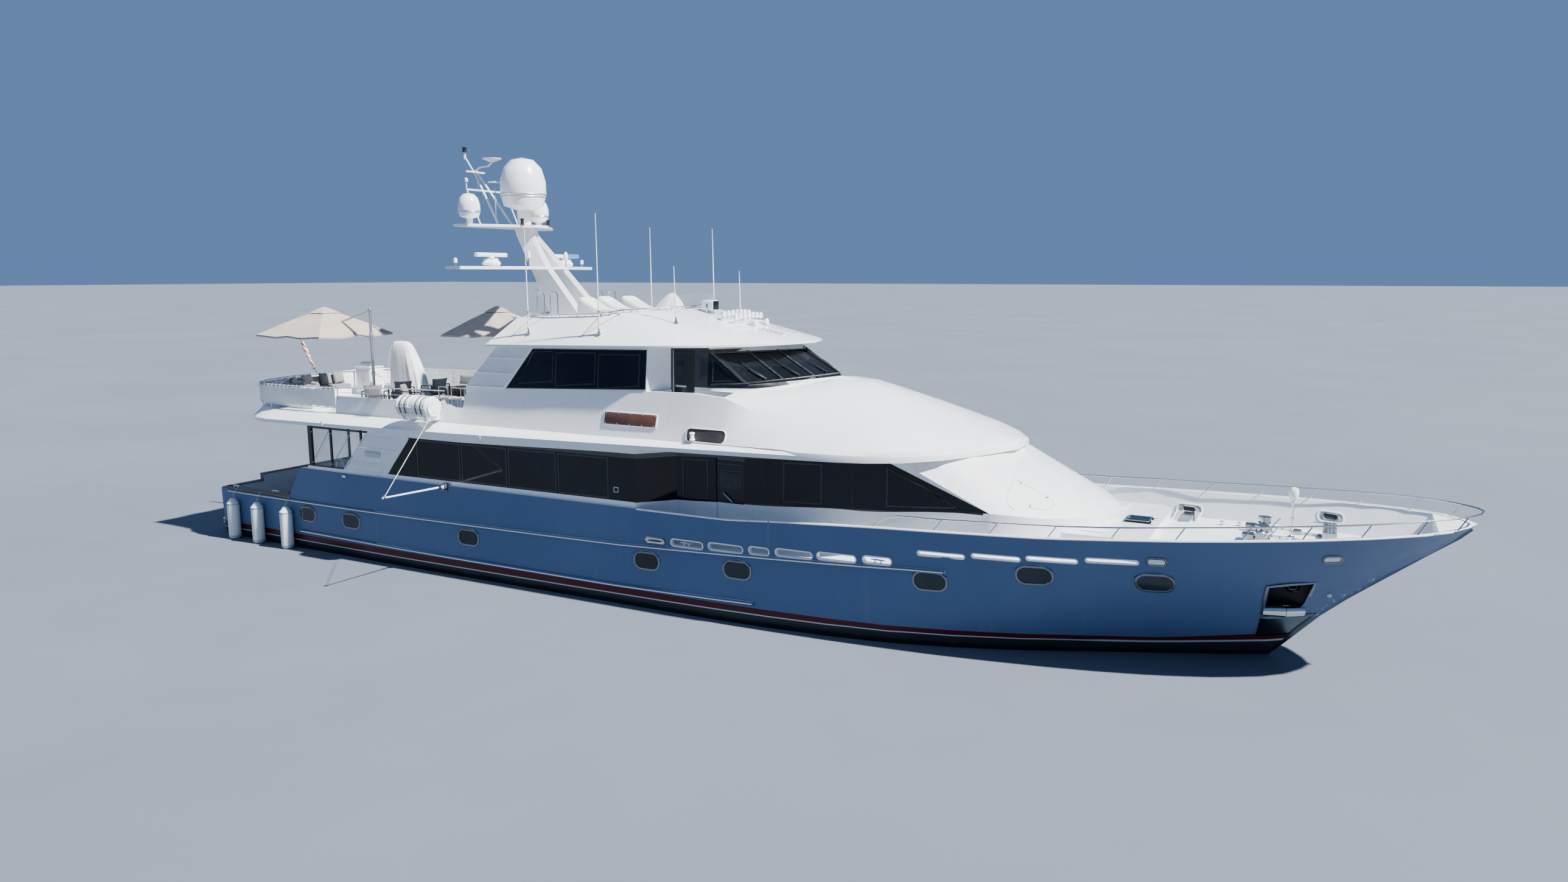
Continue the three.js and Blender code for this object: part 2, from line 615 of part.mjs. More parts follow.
// Wheelhouse walls: each corner leans from its place at the sill level to its place at the roof level.
const SILL_LEVEL = 6050;
const ROOF_LEVEL = 7000;
const wheelCorners = [
  // sill x, sill y, roof x, roof y, how far an inset moves it along x, along y
  [-7650, 3070, -6740, 2970, 1, 1], [-1480, 3070, -1480, 2970, 0, 1], [-1070, 2490, -1070, 2460, 0, 1],
  [200, 2490, -200, 2460, 0, 1], [1200, 2170, 150, 2430, -0.9, 0.8], [2040, 1400, 750, 1600, -1.1, 0.6],
  [2760, 700, 1250, 800, -1.2, 0.3], [3260, 0, 1620, 0, -1.2, 0],
];

function wheelCorner(k, inset, z) {
  const [x0, y0, x1, y1, alongX, alongY] = wheelCorners[k];
  const t = (z - SILL_LEVEL) / (ROOF_LEVEL - SILL_LEVEL);
  return [x0 + (x1 - x0) * t + alongX * inset, y0 + (y1 - y0) * t - alongY * inset];
}

const mirroredY = (geometry) => facedOut(geometry.clone().scale(1, -1, 1));

function wheelBody(inset, z0, z1) {
  const half = loft([z0, 6000, 6250, 6500, 6750, ROOF_LEVEL, z1].map((z) => {
    const corners = wheelCorners.map((_, k) => [...wheelCorner(k, inset, z), z]);
    return [[corners[0][0], 0, z], ...corners];
  }));
  return join(half, mirroredY(half));
}

const roofUnder = (x) => 7050 + 0.022 * x;
const aboveRoofLine = (gap) => sideSlab([
  [-15000, roofUnder(-15000) - gap], [6000, roofUnder(6000) - gap], [6000, 9000], [-15000, 9000],
], -5000, 5000);

const BULKHEAD_X = -6700;
const BULKHEAD = 70;
const wheelOuter = wheelBody(0, 5500, 7250);
const openAft = box([-13400, -8000], [-3270, 3270], [4000, 7400]);
const betweenWings = box([-8100, BULKHEAD_X], [-2950, 2950], [4000, 7400]);
const PILOT_SOLE_Z = 4960;
const pilotPlan = [[-1560, 2860], [-1150, 2400], [250, 2400], [1650, 1900], [1650, 0]];
const lowerRoom = planSlab(mirroredPlan([[BULKHEAD_X + BULKHEAD, 2960], [-1680, 2960]]), 4000, 5620);
const pilotRoom = planSlab(mirroredPlan([[-1690, 2940], ...pilotPlan]), PILOT_SOLE_Z, 5620);
const soleVoid = planSlab(mirroredPlan(pilotPlan), 4000, PILOT_SOLE_Z - 60);
const upperRoom = common(wheelBody(WHEELHOUSE_WALL, 5600, 7300), box([BULKHEAD_X + BULKHEAD, 6000], [-5000, 5000], [0, 9000]));
const WALKWAY = { x: [-1040, 950], y: [2500, 3020], z: [4960, 7400] };
const walkways = SIDES.map(([, side]) => box(
  WALKWAY.x, side > 0 ? WALKWAY.y : [-WALKWAY.y[1], -WALKWAY.y[0]], WALKWAY.z,
));

const UPPER_GLASS = 25;
const loungeBand = (shrink) => sideSlab([
  [-6440 + 2 * shrink, 5680 + shrink], [-1510 - shrink, 5875 + shrink],
  [-1510 - shrink, 6960 - shrink], [-5480 + shrink, 6870 - shrink],
], -4000, 4000);
const windscreenBand = (shrink) => sideSlab([
  [110 + shrink, 6010 + shrink], [1200, 6060 + shrink], [2100, 6130 + shrink], [3500, 6250 + shrink],
  [3500, 6920 - shrink], [110 + shrink, 6920 - shrink],
], -4000, 4000);
const innerSkin = (gap) => wheelBody(UPPER_GLASS + gap, 5400, 7400);
const loungePanes = [[-5950, -4750], [-4600, -3250], [-3100, -1760]].map(([x0, x1]) => sideSlab([
  [x0, 5830], [x1, 5960], [x1, 6820], [x0 + (x0 < -5000 ? 560 : 0), 6780],
], -4000, 4000));

// One pane of the windscreen, between two of the wheelhouse corners, cut right through the wall.
function screenPane(k, z0, z1) {
  const point = (share, z, inset) => {
    const [x0, y0] = wheelCorner(k, inset, z);
    const [x1, y1] = wheelCorner(k + 1, inset, z);
    return [x0 + (x1 - x0) * share, y0 + (y1 - y0) * share, z];
  };
  const ring = (inset) => [[0.09, z0], [0.91, z0], [0.91, z1], [0.09, z1]].map(([share, z]) => point(share, z, inset));
  return loft([ring(-60), ring(170)]);
}
const screenPanes = [[4, 6170, 6830], [5, 6230, 6830], [6, 6290, 6830]].flatMap(([k, z0, z1]) => {
  const pane = screenPane(k, z0, z1);
  return [pane, mirroredY(pane)];
});
const quarterPane = sideSlab([[230, 6110], [920, 6130], [300, 6720], [230, 6760]], -2700, 2700);
const PILOT_DOOR = { x: [-1000, -300], z: [4990, 6950] };
const pilotDoorways = SIDES.map(([, side]) => box(PILOT_DOOR.x, side > 0 ? [2300, 2560] : [-2560, -2300], PILOT_DOOR.z));
const LOUNGE_DOOR = { y: [-620, 620], z: [4660, 6700] };
const loungeDoorway = box([BULKHEAD_X - 50, BULKHEAD_X + 150], LOUNGE_DOOR.y, LOUNGE_DOOR.z);

const upperShell = cut(
  join(upperBody, wheelOuter), openAft, betweenWings, lowerRoom, pilotRoom, soleVoid, upperRoom, ...walkways,
  aboveRoofLine(SEAT_GAP), cut(loungeBand(0), innerSkin(0)), cut(windscreenBand(0), innerSkin(0)),
  ...loungePanes, ...screenPanes, quarterPane,
  ...pilotDoorways, loungeDoorway,
);
add('upper_house', upperShell, gelcoat);
const loungeGlass = cut(common(wheelOuter, loungeBand(SEAT_GAP)), innerSkin(-SEAT_GAP));
for (const [name, side] of SIDES) {
  const half = box([-9000, 0], side > 0 ? [0, 5000] : [-5000, 0], [0, 9000]);
  add(`lounge_glass_${name}`, common(loungeGlass, half), glassTint);
}
add('windscreen', cut(common(wheelOuter, windscreenBand(SEAT_GAP)), innerSkin(-SEAT_GAP)), glassTint);

// Hardtop with a sunken sundeck
const roofEdge = [
  [-7250, 1500], [-7150, ROOF_EDGE_HALF], [-4300, 3140], [-1400, ROOF_EDGE_HALF], [200, 2780], [1250, 1980],
  [1880, 1000], [2130, 0],
];
const roofCrest = [
  [-7200, 1200], [-6600, 2300], [-4300, 2330], [-3000, 2250], [-2400, 1950], [-1950, 1300], [-1700, 600], [-1640, 0],
];
const crestZ = through([[-7150, 7700], [-6400, 7730], [-3500, 7890], [-1640, 8010]]);
const roofRing = (half, height) => mirroredPlan(half).map(([x, y]) => [x, y, height(x)]);
const recess = planSlab(mirroredPlan([
  [-5100, 2120], [-3050, 2130], [-2500, 1850], [-2050, 1230], [-1800, 560], [-1740, 0],
]), SUNDECK_SOLE_Z, 9000);
const hardtop = cut(loft([
  roofRing(roofEdge, roofUnder), roofRing(roofEdge, (x) => roofUnder(x) + 55), roofRing(roofCrest, crestZ),
]), recess);
add('hardtop', hardtop, gelcoat);

// Low clear screen round the front of the sundeck
const screenPath = [[-3700, 2190], [-3035, 2182], [-2468, 1892], [-2008, 1262], [-1752, 580], [-1690, 0]];
const SCREEN_HEIGHT = 440;
const SCREEN_RAKE = 370;
const screenRing = ([x, y]) => {
  const base = crestZ(x) - 20;
  const rake = SCREEN_RAKE * THREE.MathUtils.smoothstep(x, -3700, -1690);
  const top = base + SCREEN_HEIGHT * THREE.MathUtils.lerp(0.75, 1, rake / SCREEN_RAKE);
  const splay = y > 0 ? 30 : 0;
  const away = y > 0 ? 6 : 0;
  return [
    [x - 6, y - away, base], [x + 6, y + away, base], [x + rake + 6, y + splay + away, top],
    [x + rake - 6, y + splay - away, top],
  ];
};
const screenPort = screenPath.map(screenRing);
const screenStarboard = screenPort.slice(0, -1).map((ring) => ring.map(([x, y, z]) => [x, -y, z]));
const sundeckScreen = loft([...screenStarboard, ...screenPort.reverse()]);
add('sundeck_screen', cut(sundeckScreen, hardtop.clone().translate(0, 0, SEAT_GAP)), glassTint);

// Mast: two legs raked aft that meet under the upper platform, with a swept lower spreader
const mastSections = [
  // height, fore x, aft x, centre y of a leg, half thickness
  [7650, -5400, -6700, 500, 115], [9140, -6800, -7590, 360, 95], [10200, -7700, -8380, 90, 90],
  [10500, -7780, -8500, 60, 88],
];
const mastLeg = (side) => loft(mastSections.map(([z, fore, aft, y, half]) => [
  [aft, side * y - half, z], [fore - 160, side * y - half, z], [fore, side * y, z],
  [fore - 160, side * y + half, z], [aft, side * y + half, z],
]));
const swept = (root, tip, z, thickness) => {
  const [rootFore, rootAft] = root;
  const [tipFore, tipAft, tipY] = tip;
  return planSlab([
    [tipAft, -tipY], [tipFore, -tipY], [rootFore, -300], [rootFore, 300], [tipFore, tipY], [tipAft, tipY],
    [rootAft, 300], [rootAft, -300],
  ], z, z + thickness);
};
const SPREADER_Z = 9140;
const PLATFORM_TOP = 10520;
const lowerSpreader = swept([-6850, -7950], [-7980, -8560, 3150], SPREADER_Z, 90);
const upperPlatform = swept([-7500, -9250], [-8700, -9300, 2000], PLATFORM_TOP - 80, 80);
const RADAR_AT = [-8050, 1750];
const radarFoot = SPREADER_Z + 80;
const RADAR_TOP = radarFoot + 250;
const radarBases = SIDES.flatMap(([, side]) => {
  const [x, y] = [RADAR_AT[0], side * RADAR_AT[1]];
  return [
    rod([x, y, radarFoot], [x, y, radarFoot + 80], 130, 12),
    box([x - 170, x + 170], [y - 130, y + 130], [radarFoot + 60, RADAR_TOP]),
  ];
});
const frameFoot = PLATFORM_TOP - 20;
const mastFrame = [
  rod([-8950, -330, frameFoot], [-10180, -60, 12300], 34), rod([-8950, 330, frameFoot], [-10180, 60, 12300], 34),
  rod([-9730, -900, 11650], [-9730, 900, 11650], 30), rod([-9730, -890, 11650], [-9200, -880, frameFoot], 24),
  rod([-9730, 890, 11650], [-9200, 880, frameFoot], 24), rod([-10180, -420, 12270], [-10180, 420, 12270], 30),
  rod([-10180, 0, 12200], [-10600, 0, 12780], 26), rod([-10600, 0, 12700], [-10600, 0, 13080], 40),
];
const mast = join(mastLeg(STARBOARD), mastLeg(PORT), lowerSpreader, upperPlatform, ...radarBases, ...mastFrame);
add('mast', cut(mast, hardtop.clone().translate(0, 0, SEAT_GAP)), spar);

// Domes, each on its own pedestal
const domeProfile = (radius, height, stem) => [
  [0, 0], [radius * 0.3, 0], [radius * 0.3, stem], [radius * 0.86, stem + height * 0.08], [radius, stem + height * 0.3],
  [radius * 0.99, stem + height * 0.55], [radius * 0.82, stem + height * 0.8], [radius * 0.5, stem + height * 0.95],
  [0, stem + height],
];
const domeSeat = PLATFORM_TOP + SEAT_GAP;
add('satellite_dome', turned(domeProfile(720, 1640, 480), [-8200, 0, domeSeat], 28), gelcoat);
for (const [name, side] of SIDES) {
  add(`small_dome_${name}`, turned(domeProfile(340, 780, 170), [-8980, side * 1620, domeSeat], 20), gelcoat);
}

// Open-array radar scanners, turning on their bases
for (const [name, side] of SIDES) {
  const [x, y] = [RADAR_AT[0], side * RADAR_AT[1]];
  const scanner = join(
    rod([x, y, RADAR_TOP + PIN_GAP], [x, y, RADAR_TOP + 60], 60, 12),
    box([x - 75, x + 75], [y - 640, y + 640], [RADAR_TOP + 50, RADAR_TOP + 160]),
  );
  add(`radar_scanner_${name}`, scanner, gelcoat);
}

// Bow rail on raked stanchions
const railTop = [
  [5500, 3650, 3010], [5900, 3640, 3235], [7000, 3560, 3275], [8400, 3450, 3320], [9770, 3350, 3370], [11140, 3190, 3450],
  [12470, 2880, 3530], [13790, 2590, 3620], [14940, 2260, 3700], [16050, 1880, 3780], [17120, 1340, 3860],
  [17930, 670, 3900], [18230, 0, 3920],
];
const railBases = [7000, 8300, 9620, 10970, 12300, 13610, 14770, 15880, 16930, 17700];
const RAKE = 190;
const RAIL_RADIUS = 19;
const railSide = (side) => railTop.map(([x, y, z]) => [x, side * y, z]);
const railRoute = [...railSide(STARBOARD), ...railSide(PORT).reverse().slice(1)];
const RAIL_STEPS = 84;
const stanchions = SIDES.flatMap(([, side]) => railBases.map((x) => {
  const y = side * (capHalf(x) - 66);
  return rod([x, y, capHeight(x) - 14], pipePoint(railRoute, RAIL_STEPS, x + RAKE, side), 14, 6);
}));
const railFeet = SIDES.map(([, side]) => rod([5510, side * 3650, 3030], [5420, side * 3660, 2900], RAIL_RADIUS, 6));
const bowRail = join(pipe(railRoute, RAIL_RADIUS, RAIL_STEPS, 6), ...stanchions, ...railFeet);
add('bow_rail', cut(bowRail, hull.clone().translate(0, 0, SEAT_GAP)), steel);

// Boat deck rail round the stern
const AFT_RAIL_Z = 5360;
const aftRail = [
  [-8650, 3330, 5520], [-10500, 3350, 5490], [-13200, 3380, 5390], [-15300, 3390, AFT_RAIL_Z],
  [-16500, 3380, AFT_RAIL_Z], [-17100, 3280, AFT_RAIL_Z], [-17600, 2800, AFT_RAIL_Z], [-18000, 2000, AFT_RAIL_Z],
  [-18270, 1000, AFT_RAIL_Z], [-18350, 0, AFT_RAIL_Z],
];
const aftRailRoute = [
  ...aftRail.map(([x, y, z]) => [x, -y, z]), ...aftRail.slice(0, -1).reverse().map(([x, y, z]) => [x, y, z]),
];
const AFT_STEPS = 70;
const aftPostX = [-9800, -11900, -13250, -14950, -16500, -17450, -18150];
const aftPosts = SIDES.flatMap(([, side]) => aftPostX.map((x) => {
  const head = pipePoint(aftRailRoute, AFT_STEPS, x, side);
  return rod([x, head[1], x > -13300 ? 5060 : 4500], head, 15, 6);
}));
const ensignStaff = rod([-18345, 0, AFT_RAIL_Z], [-19070, 0, 6560], 20, 8, 14);
const boatDeckRail = join(pipe(aftRailRoute, RAIL_RADIUS, AFT_STEPS, 6), ...aftPosts, ensignStaff);
const boatDeckRaised = boatDeck.clone().translate(0, 0, SEAT_GAP);
const upperShellRaised = upperShell.clone().translate(0, 0, SEAT_GAP);
add('boat_deck_rail', cut(boatDeckRail, boatDeckRaised, upperShellRaised, upperShell), steel);

// Deck posts under the overhang, standing on the low coaming
const POST_X = -14150;
for (const [name, side] of SIDES) {
  const post = box([POST_X - 80, POST_X + 80], outboard(side, 3755, 3835), [COAMING_Z + SEAT_GAP, underDeck(POST_X) + 30]);
  add(`deck_post_${name}`, cut(post, boatDeck.clone().translate(0, 0, -SEAT_GAP)), blackTrim);
}

// Doors. Each leaf clears its frame and stands on a short pin at its hinge line.
const SIDE_DOOR = { x0: DOOR_X + DOOR_GAP, x1: DOOR_X + DOOR_WIDTH - 10, y0: 2890, y1: 2950, z0: 2018, z1: 4092 };
const SIDE_DOOR_PIN = { x: DOOR_X + DOOR_WIDTH - 18, y: 2902 };
for (const [name, side] of SIDES) {
  const d = SIDE_DOOR;
  const leaf = box([d.x0, d.x1], side > 0 ? [d.y0, d.y1] : [-d.y1, -d.y0], [d.z0, d.z1]);
  const at = [SIDE_DOOR_PIN.x, side * SIDE_DOOR_PIN.y];
  add(`side_door_${name}`, join(leaf, rod([...at, 2010 + PIN_GAP], [...at, 4100 - PIN_GAP], 9, 8)), gelcoat);
}

const pilotLeaf = { x0: PILOT_DOOR.x[0] + 8, x1: PILOT_DOOR.x[1] - 12, y0: 2402, y1: 2438 };
const PILOT_PIN = { x: PILOT_DOOR.x[1] - 20, y: 2412 };
for (const [name, side] of SIDES) {
  const d = pilotLeaf;
  const [z0, z1] = PILOT_DOOR.z;
  const leaf = box([d.x0, d.x1], side > 0 ? [d.y0, d.y1] : [-d.y1, -d.y0], [z0 + 8, z1 - 8]);
  const at = [PILOT_PIN.x, side * PILOT_PIN.y];
  add(`pilothouse_door_${name}`, join(leaf, rod([...at, z0 + PIN_GAP], [...at, z1 - PIN_GAP], 8, 8)), gelcoat);
}

// Aft sliding doors of the saloon, hung on the outside of the bulkhead
const SLIDER = { x0: HOUSE_AFT_X - 66, x1: HOUSE_AFT_X - 8, y0: 8, y1: 1310, z0: MAIN_DECK_Z + 10, z1: 4040 };
for (const [name, side] of SIDES) {
  const d = SLIDER;
  const span = ([a, b]) => (side > 0 ? [a, b] : [-b, -a]);
  const panel = box([d.x0, d.x1], span([d.y0, d.y1]), [d.z0, d.z1]);
  const pane = box([d.x0 - 50, d.x1 + 50], span([d.y0 + 90, d.y1 - 90]), [d.z0 + 120, d.z1 - 90]);
  const shoe = box([d.x0 + 10, d.x1 - 10], span([d.y0 + 200, d.y1 - 200]), [MAIN_DECK_Z + PIN_GAP, d.z0 + 5]);
  const glass = box([d.x0 + 20, d.x1 - 20], span([d.y0 + 60, d.y1 - 60]), [d.z0 + 60, d.z1 - 60]);
  add(`saloon_door_${name}`, join(cut(panel, pane), shoe, glass), steel);
}

// Foredeck platform against the foot of the trunk, with its hinged hatch
const PLATFORM_FRONT_X = 11600;
const PLATFORM_TOP_Z = 2950;
const foredeckPlatform = cut(
  planSlab([
    [9000, -2150], [11350, -2150], [PLATFORM_FRONT_X, -1900], [PLATFORM_FRONT_X, 1900], [11350, 2150], [9000, 2150],
  ], 2400, PLATFORM_TOP_Z),
  hull.clone().translate(0, 0, SEAT_GAP), houseBody(-SEAT_GAP, 1000),
);
add('foredeck_platform', foredeckPlatform, gelcoat);
const HATCH = { x0: 10800, x1: 11380, half: 300, thick: 45 };
const HATCH_PIN = { x: HATCH.x1, z: PLATFORM_TOP_Z + 28 };
const hatchLid = join(
  box([HATCH.x0, HATCH.x1], [-HATCH.half, HATCH.half], [PLATFORM_TOP_Z + 6, PLATFORM_TOP_Z + 6 + HATCH.thick]),
  ...SIDES.map(([, side]) => rod([HATCH_PIN.x, side * 200 - 40, HATCH_PIN.z], [HATCH_PIN.x, side * 200 + 40, HATCH_PIN.z], 27.6, 16)),
);
add('foredeck_hatch', hatchLid, glassTint);

// Windlasses, chock frame and covered light pole on the foredeck
const foreSeat = hull.clone().translate(0, 0, SEAT_GAP);
const deckAt = (x, y) => {
  const half = topsideHalf(x, foredeckZ(x)) - BULWARK;
  return foredeckZ(x) + foredeckCrown(x) * (1 - Math.abs(y) / half);
};
for (const [name, side] of SIDES) {
  const [x, y] = [13900, side * 500];
  const z = deckAt(x, y) - 15;
  const windlass = join(
    rod([x, y, z], [x, y, z + 90], 190, 16), rod([x, y, z + 80], [x, y, z + 330], 110, 16, 95),
    rod([x, y, z + 320], [x, y, z + 380], 150, 16),
  );
  add(`windlass_${name}`, cut(windlass, foreSeat), steel);
}
const chockZ = deckAt(15300, 0);
add('bow_chocks', cut(join(
  box([15150, 15450], [-620, 620], [chockZ - 60, chockZ + 40]), box([15150, 15450], [-620, -560], [chockZ, chockZ + 300]),
  box([15150, 15450], [560, 620], [chockZ, chockZ + 300]), box([15150, 15450], [-40, 40], [chockZ, chockZ + 300]),
  rod([15300, -620, chockZ + 250], [15300, 620, chockZ + 250], 45, 10),
), foreSeat), steel);
const poleZ = deckAt(14500, 0);
add('bow_light_pole', cut(join(
  rod([14500, 0, poleZ - 20], [14500, 0, poleZ + 700], 50, 10),
  rod([14500, 0, poleZ + 650], [14500, 0, poleZ + 1180], 120, 12, 90),
), foreSeat), whiteCloth);

// Tender boom on the starboard topside, swung straight out
const BOOM_PIN = [-8220, -4010, 2710];
const BOOM_LENGTH = 2300;
const boomBracket = cut(
  join(
    box([BOOM_PIN[0] - 90, BOOM_PIN[0] + 90], [-3965, -3870], [BOOM_PIN[2] - 110, BOOM_PIN[2] + 110]),
    box([BOOM_PIN[0] - 45, BOOM_PIN[0] + 45], [-4050, -3950], [BOOM_PIN[2] - 90, BOOM_PIN[2] - 30]),
  ),
  hull.clone().translate(0, -SEAT_GAP, 0), hull.clone().translate(0, 0, SEAT_GAP),
);
add('boom_bracket', boomBracket, steel);
const boom = join(
  rod([BOOM_PIN[0], BOOM_PIN[1], BOOM_PIN[2] - 30 + PIN_GAP], [BOOM_PIN[0], BOOM_PIN[1], BOOM_PIN[2] + 60], 30, 12),
  rod([BOOM_PIN[0], BOOM_PIN[1], BOOM_PIN[2] + 20], [BOOM_PIN[0], BOOM_PIN[1] - BOOM_LENGTH, BOOM_PIN[2] + 100], 32, 10, 24),
);
add('tender_boom', boom, spar);

// Life rafts on brackets outboard of the coamings
const RAFT = { x: -9300, y: 3790, z: 5060, radius: 320, half: 675 };
const upperOut = (side) => upperShell.clone().translate(0, side * SEAT_GAP, 0);
for (const [name, side] of SIDES) {
  const { x, z, radius, half } = RAFT;
  const y = side * RAFT.y;
  const canister = join(
    rod([x - half + 70, y, z], [x + half - 70, y, z], radius, 20), rod([x - half, y, z], [x - half + 80, y, z], radius - 50, 20),
    rod([x + half - 80, y, z], [x + half, y, z], radius - 50, 20),
  );
  const saddles = [-420, 420].map((dx) => {
    const [near, far] = [3380 * side, 3960 * side];
    return box([x + dx - 40, x + dx + 40], [Math.min(near, far), Math.max(near, far)], [z - 420, z - 150]);
  });
  add(`life_raft_${name}`, cut(join(canister, ...saddles), upperOut(side), boatDeckRaised), gelcoat);
}

// Cantilever umbrellas on the boat deck: a square canopy hung from an arm that passes through a slit in it
const UMBRELLA = { side: 3100, reach: 2180, rise: 850, skin: 22, hubDrop: 700 };
function umbrella(name, { centre, poleAngle, edgeZ }) {
  const { side, reach, rise, skin, hubDrop } = UMBRELLA;
  const apexZ = edgeZ + rise;
  const outline = (share) => [0, 1, 2, 3, 4, 5, 6, 7].map((k) => {
    const angle = poleAngle + (k * Math.PI) / 4;
    const radius = share * side * (k % 2 === 0 ? 0.492 : Math.SQRT1_2);
    return [centre[0] + radius * Math.cos(angle), centre[1] + radius * Math.sin(angle)];
  });
  const level = (share) => apexZ - rise * share ** 1.15;
  const upper = [0.02, 0.4, 1].map((share) => outline(share).map((p) => [...p, level(share)]));
  const lower = [1, 0.4, 0.02].map((share) => outline(share).map((p) => [...p, level(share) - skin]));
  const slit = box([side * 0.24, side], [-55, 55], [edgeZ - 200, apexZ]).rotateZ(poleAngle).translate(...centre, 0);
  const canopy = cut(loft([...upper, ...lower]), slit);
  add(`${name}_canopy`, canopy, fabric);
  const pole = [centre[0] + reach * Math.cos(poleAngle), centre[1] + reach * Math.sin(poleAngle)];
  const frame = join(
    box([pole[0] - 400, pole[0] + 400], [pole[1] - 400, pole[1] + 400], [BOAT_DECK_Z + SEAT_GAP, BOAT_DECK_Z + 60]),
    rod([...pole, BOAT_DECK_Z + 50], [...pole, apexZ + 20], 48, 12), rod([...centre, apexZ - hubDrop], [...centre, apexZ - skin], 32, 10),
    rod([...pole, apexZ - 40], [...centre, apexZ - hubDrop + 60], 32, 8), rod([...pole, apexZ - 900], [...centre, apexZ - hubDrop], 22, 8),
  );
  add(`${name}_frame`, cut(frame, canopy.clone().translate(0, 0, -SEAT_GAP)), spar);
}
umbrella('umbrella_aft', { centre: [-15600, -1750], poleAngle: 0, edgeZ: 6970 });
umbrella('umbrella_fore', { centre: [-10500, 1100], poleAngle: Math.PI / 6, edgeZ: 7000 });

// Covered deck crane and grill cabinet on the boat deck
const onDeck = BOAT_DECK_Z + SEAT_GAP;
const COVER_Y = 1000;
const coverSections = [
  // height, aft x, fore x, half breadth
  [onDeck, -15500, -13860, 430], [5300, -15490, -13980, 400], [6200, -15430, -14400, 290],
  [6540, -15380, -14560, 150], [6590, -15300, -14660, 90],
];
add('crane_cover', loft(coverSections.map(([z, aft, fore, half]) => [
  [aft, COVER_Y - half, z], [fore, COVER_Y - half, z], [fore, COVER_Y + half, z], [aft, COVER_Y + half, z],
])), whiteCloth);
add('grill_cabinet', box([-17330, -16580], [900, 1500], [onDeck, 5560]), gelcoat);

// Built-in settee that follows the stern rail: a seat with a raised back
const setteePlan = (near, far) => [
  [-14900, -far], [-16600, -far], [-17750, -1900], [-17900, 500], [-17900 + near, 500], [-17750 + near, -1700],
  [-16550, -far + near], [-14900, -far + near],
];
add('stern_settee', join(
  planSlab(setteePlan(800, 3050), onDeck, 5010), planSlab(setteePlan(260, 3050), 4990, 5330),
), upholstery);

// Fat rounded bolster bar across the mouth of each anchor pocket
for (const [name, side] of SIDES) {
  const bolster = join(
    rod([14020, side * 960, 1345], [14480, side * 720, 1335], 125, 18, 150),
    rod([14480, side * 720, 1335], [14870, side * 470, 1325], 150, 18, 125),
  );
  const seats = [[SEAT_GAP, 0], [-SEAT_GAP, 0], [0, side * SEAT_GAP]].map(([x, y]) => hull.clone().translate(x, y, 0));
  add(`anchor_bolster_${name}`, cut(bolster, foreSeat, ...seats), steel);
}

// Fenders hung along the starboard quarter
for (const [name, x] of [['aft', -18150], ['middle', -16850], ['fore', -15350]]) {
  const y = -(topsideHalf(x, 1200) + 197);
  const fender = join(
    rod([x, y, 60], [x, y, 1240], 200, 16), rod([x, y, -100], [x, y, 70], 80, 16, 200), rod([x, y, 1230], [x, y, 1400], 200, 16, 70),
  );
  add(`fender_${name}`, cut(fender, hull.clone().translate(0, -SEAT_GAP, 0), hull), fenderVinyl);
}

export default yacht;
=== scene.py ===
# Looks of a 38 m motor yacht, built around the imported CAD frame. Lengths are in metres.
# +X points to the bow, +Y to port, +Z up, and the origin is amidships at the waterline.
import math
import random

import bmesh
import bpy
from mathutils import Matrix, Vector
from mathutils.bvhtree import BVHTree


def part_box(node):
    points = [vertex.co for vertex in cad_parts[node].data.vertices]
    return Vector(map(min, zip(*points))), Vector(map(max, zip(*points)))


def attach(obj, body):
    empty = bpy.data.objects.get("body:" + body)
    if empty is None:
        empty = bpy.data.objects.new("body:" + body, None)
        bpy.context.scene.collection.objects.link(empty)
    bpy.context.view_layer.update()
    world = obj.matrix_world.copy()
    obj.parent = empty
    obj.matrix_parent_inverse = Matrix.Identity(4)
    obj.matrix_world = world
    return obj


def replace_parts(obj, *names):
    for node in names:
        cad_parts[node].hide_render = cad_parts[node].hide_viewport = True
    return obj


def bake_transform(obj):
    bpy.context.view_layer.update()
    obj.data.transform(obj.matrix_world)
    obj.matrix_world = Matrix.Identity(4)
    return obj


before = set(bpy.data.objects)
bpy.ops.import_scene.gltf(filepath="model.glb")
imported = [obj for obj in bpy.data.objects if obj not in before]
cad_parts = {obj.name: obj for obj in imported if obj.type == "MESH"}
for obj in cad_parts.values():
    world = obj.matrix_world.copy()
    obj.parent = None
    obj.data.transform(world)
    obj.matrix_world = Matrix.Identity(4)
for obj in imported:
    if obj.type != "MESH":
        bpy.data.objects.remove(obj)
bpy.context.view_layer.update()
scene = bpy.context.scene
SIDES = (-1, 1)
NAMED_SIDES = ((-1, "starboard"), (1, "port"))

# Heights of the floors that things stand on
COCKPIT_SOLE = 0.752
AFT_DECK = 1.852
BOAT_DECK = 4.562
SUNDECK = 7.56
MAST_PLATFORM = 10.52
FOREDECK = 2.951

# Camera, at the place where the photograph was taken

FOCAL_PX = 1750.0
FRAME_WIDTH_PX = 2576
SENSOR_MM = 36.0
HEADING = math.radians(27.4)
PITCH = math.radians(8.9146)
CAMERA_AT = (15.145, -27.003, 9.0)


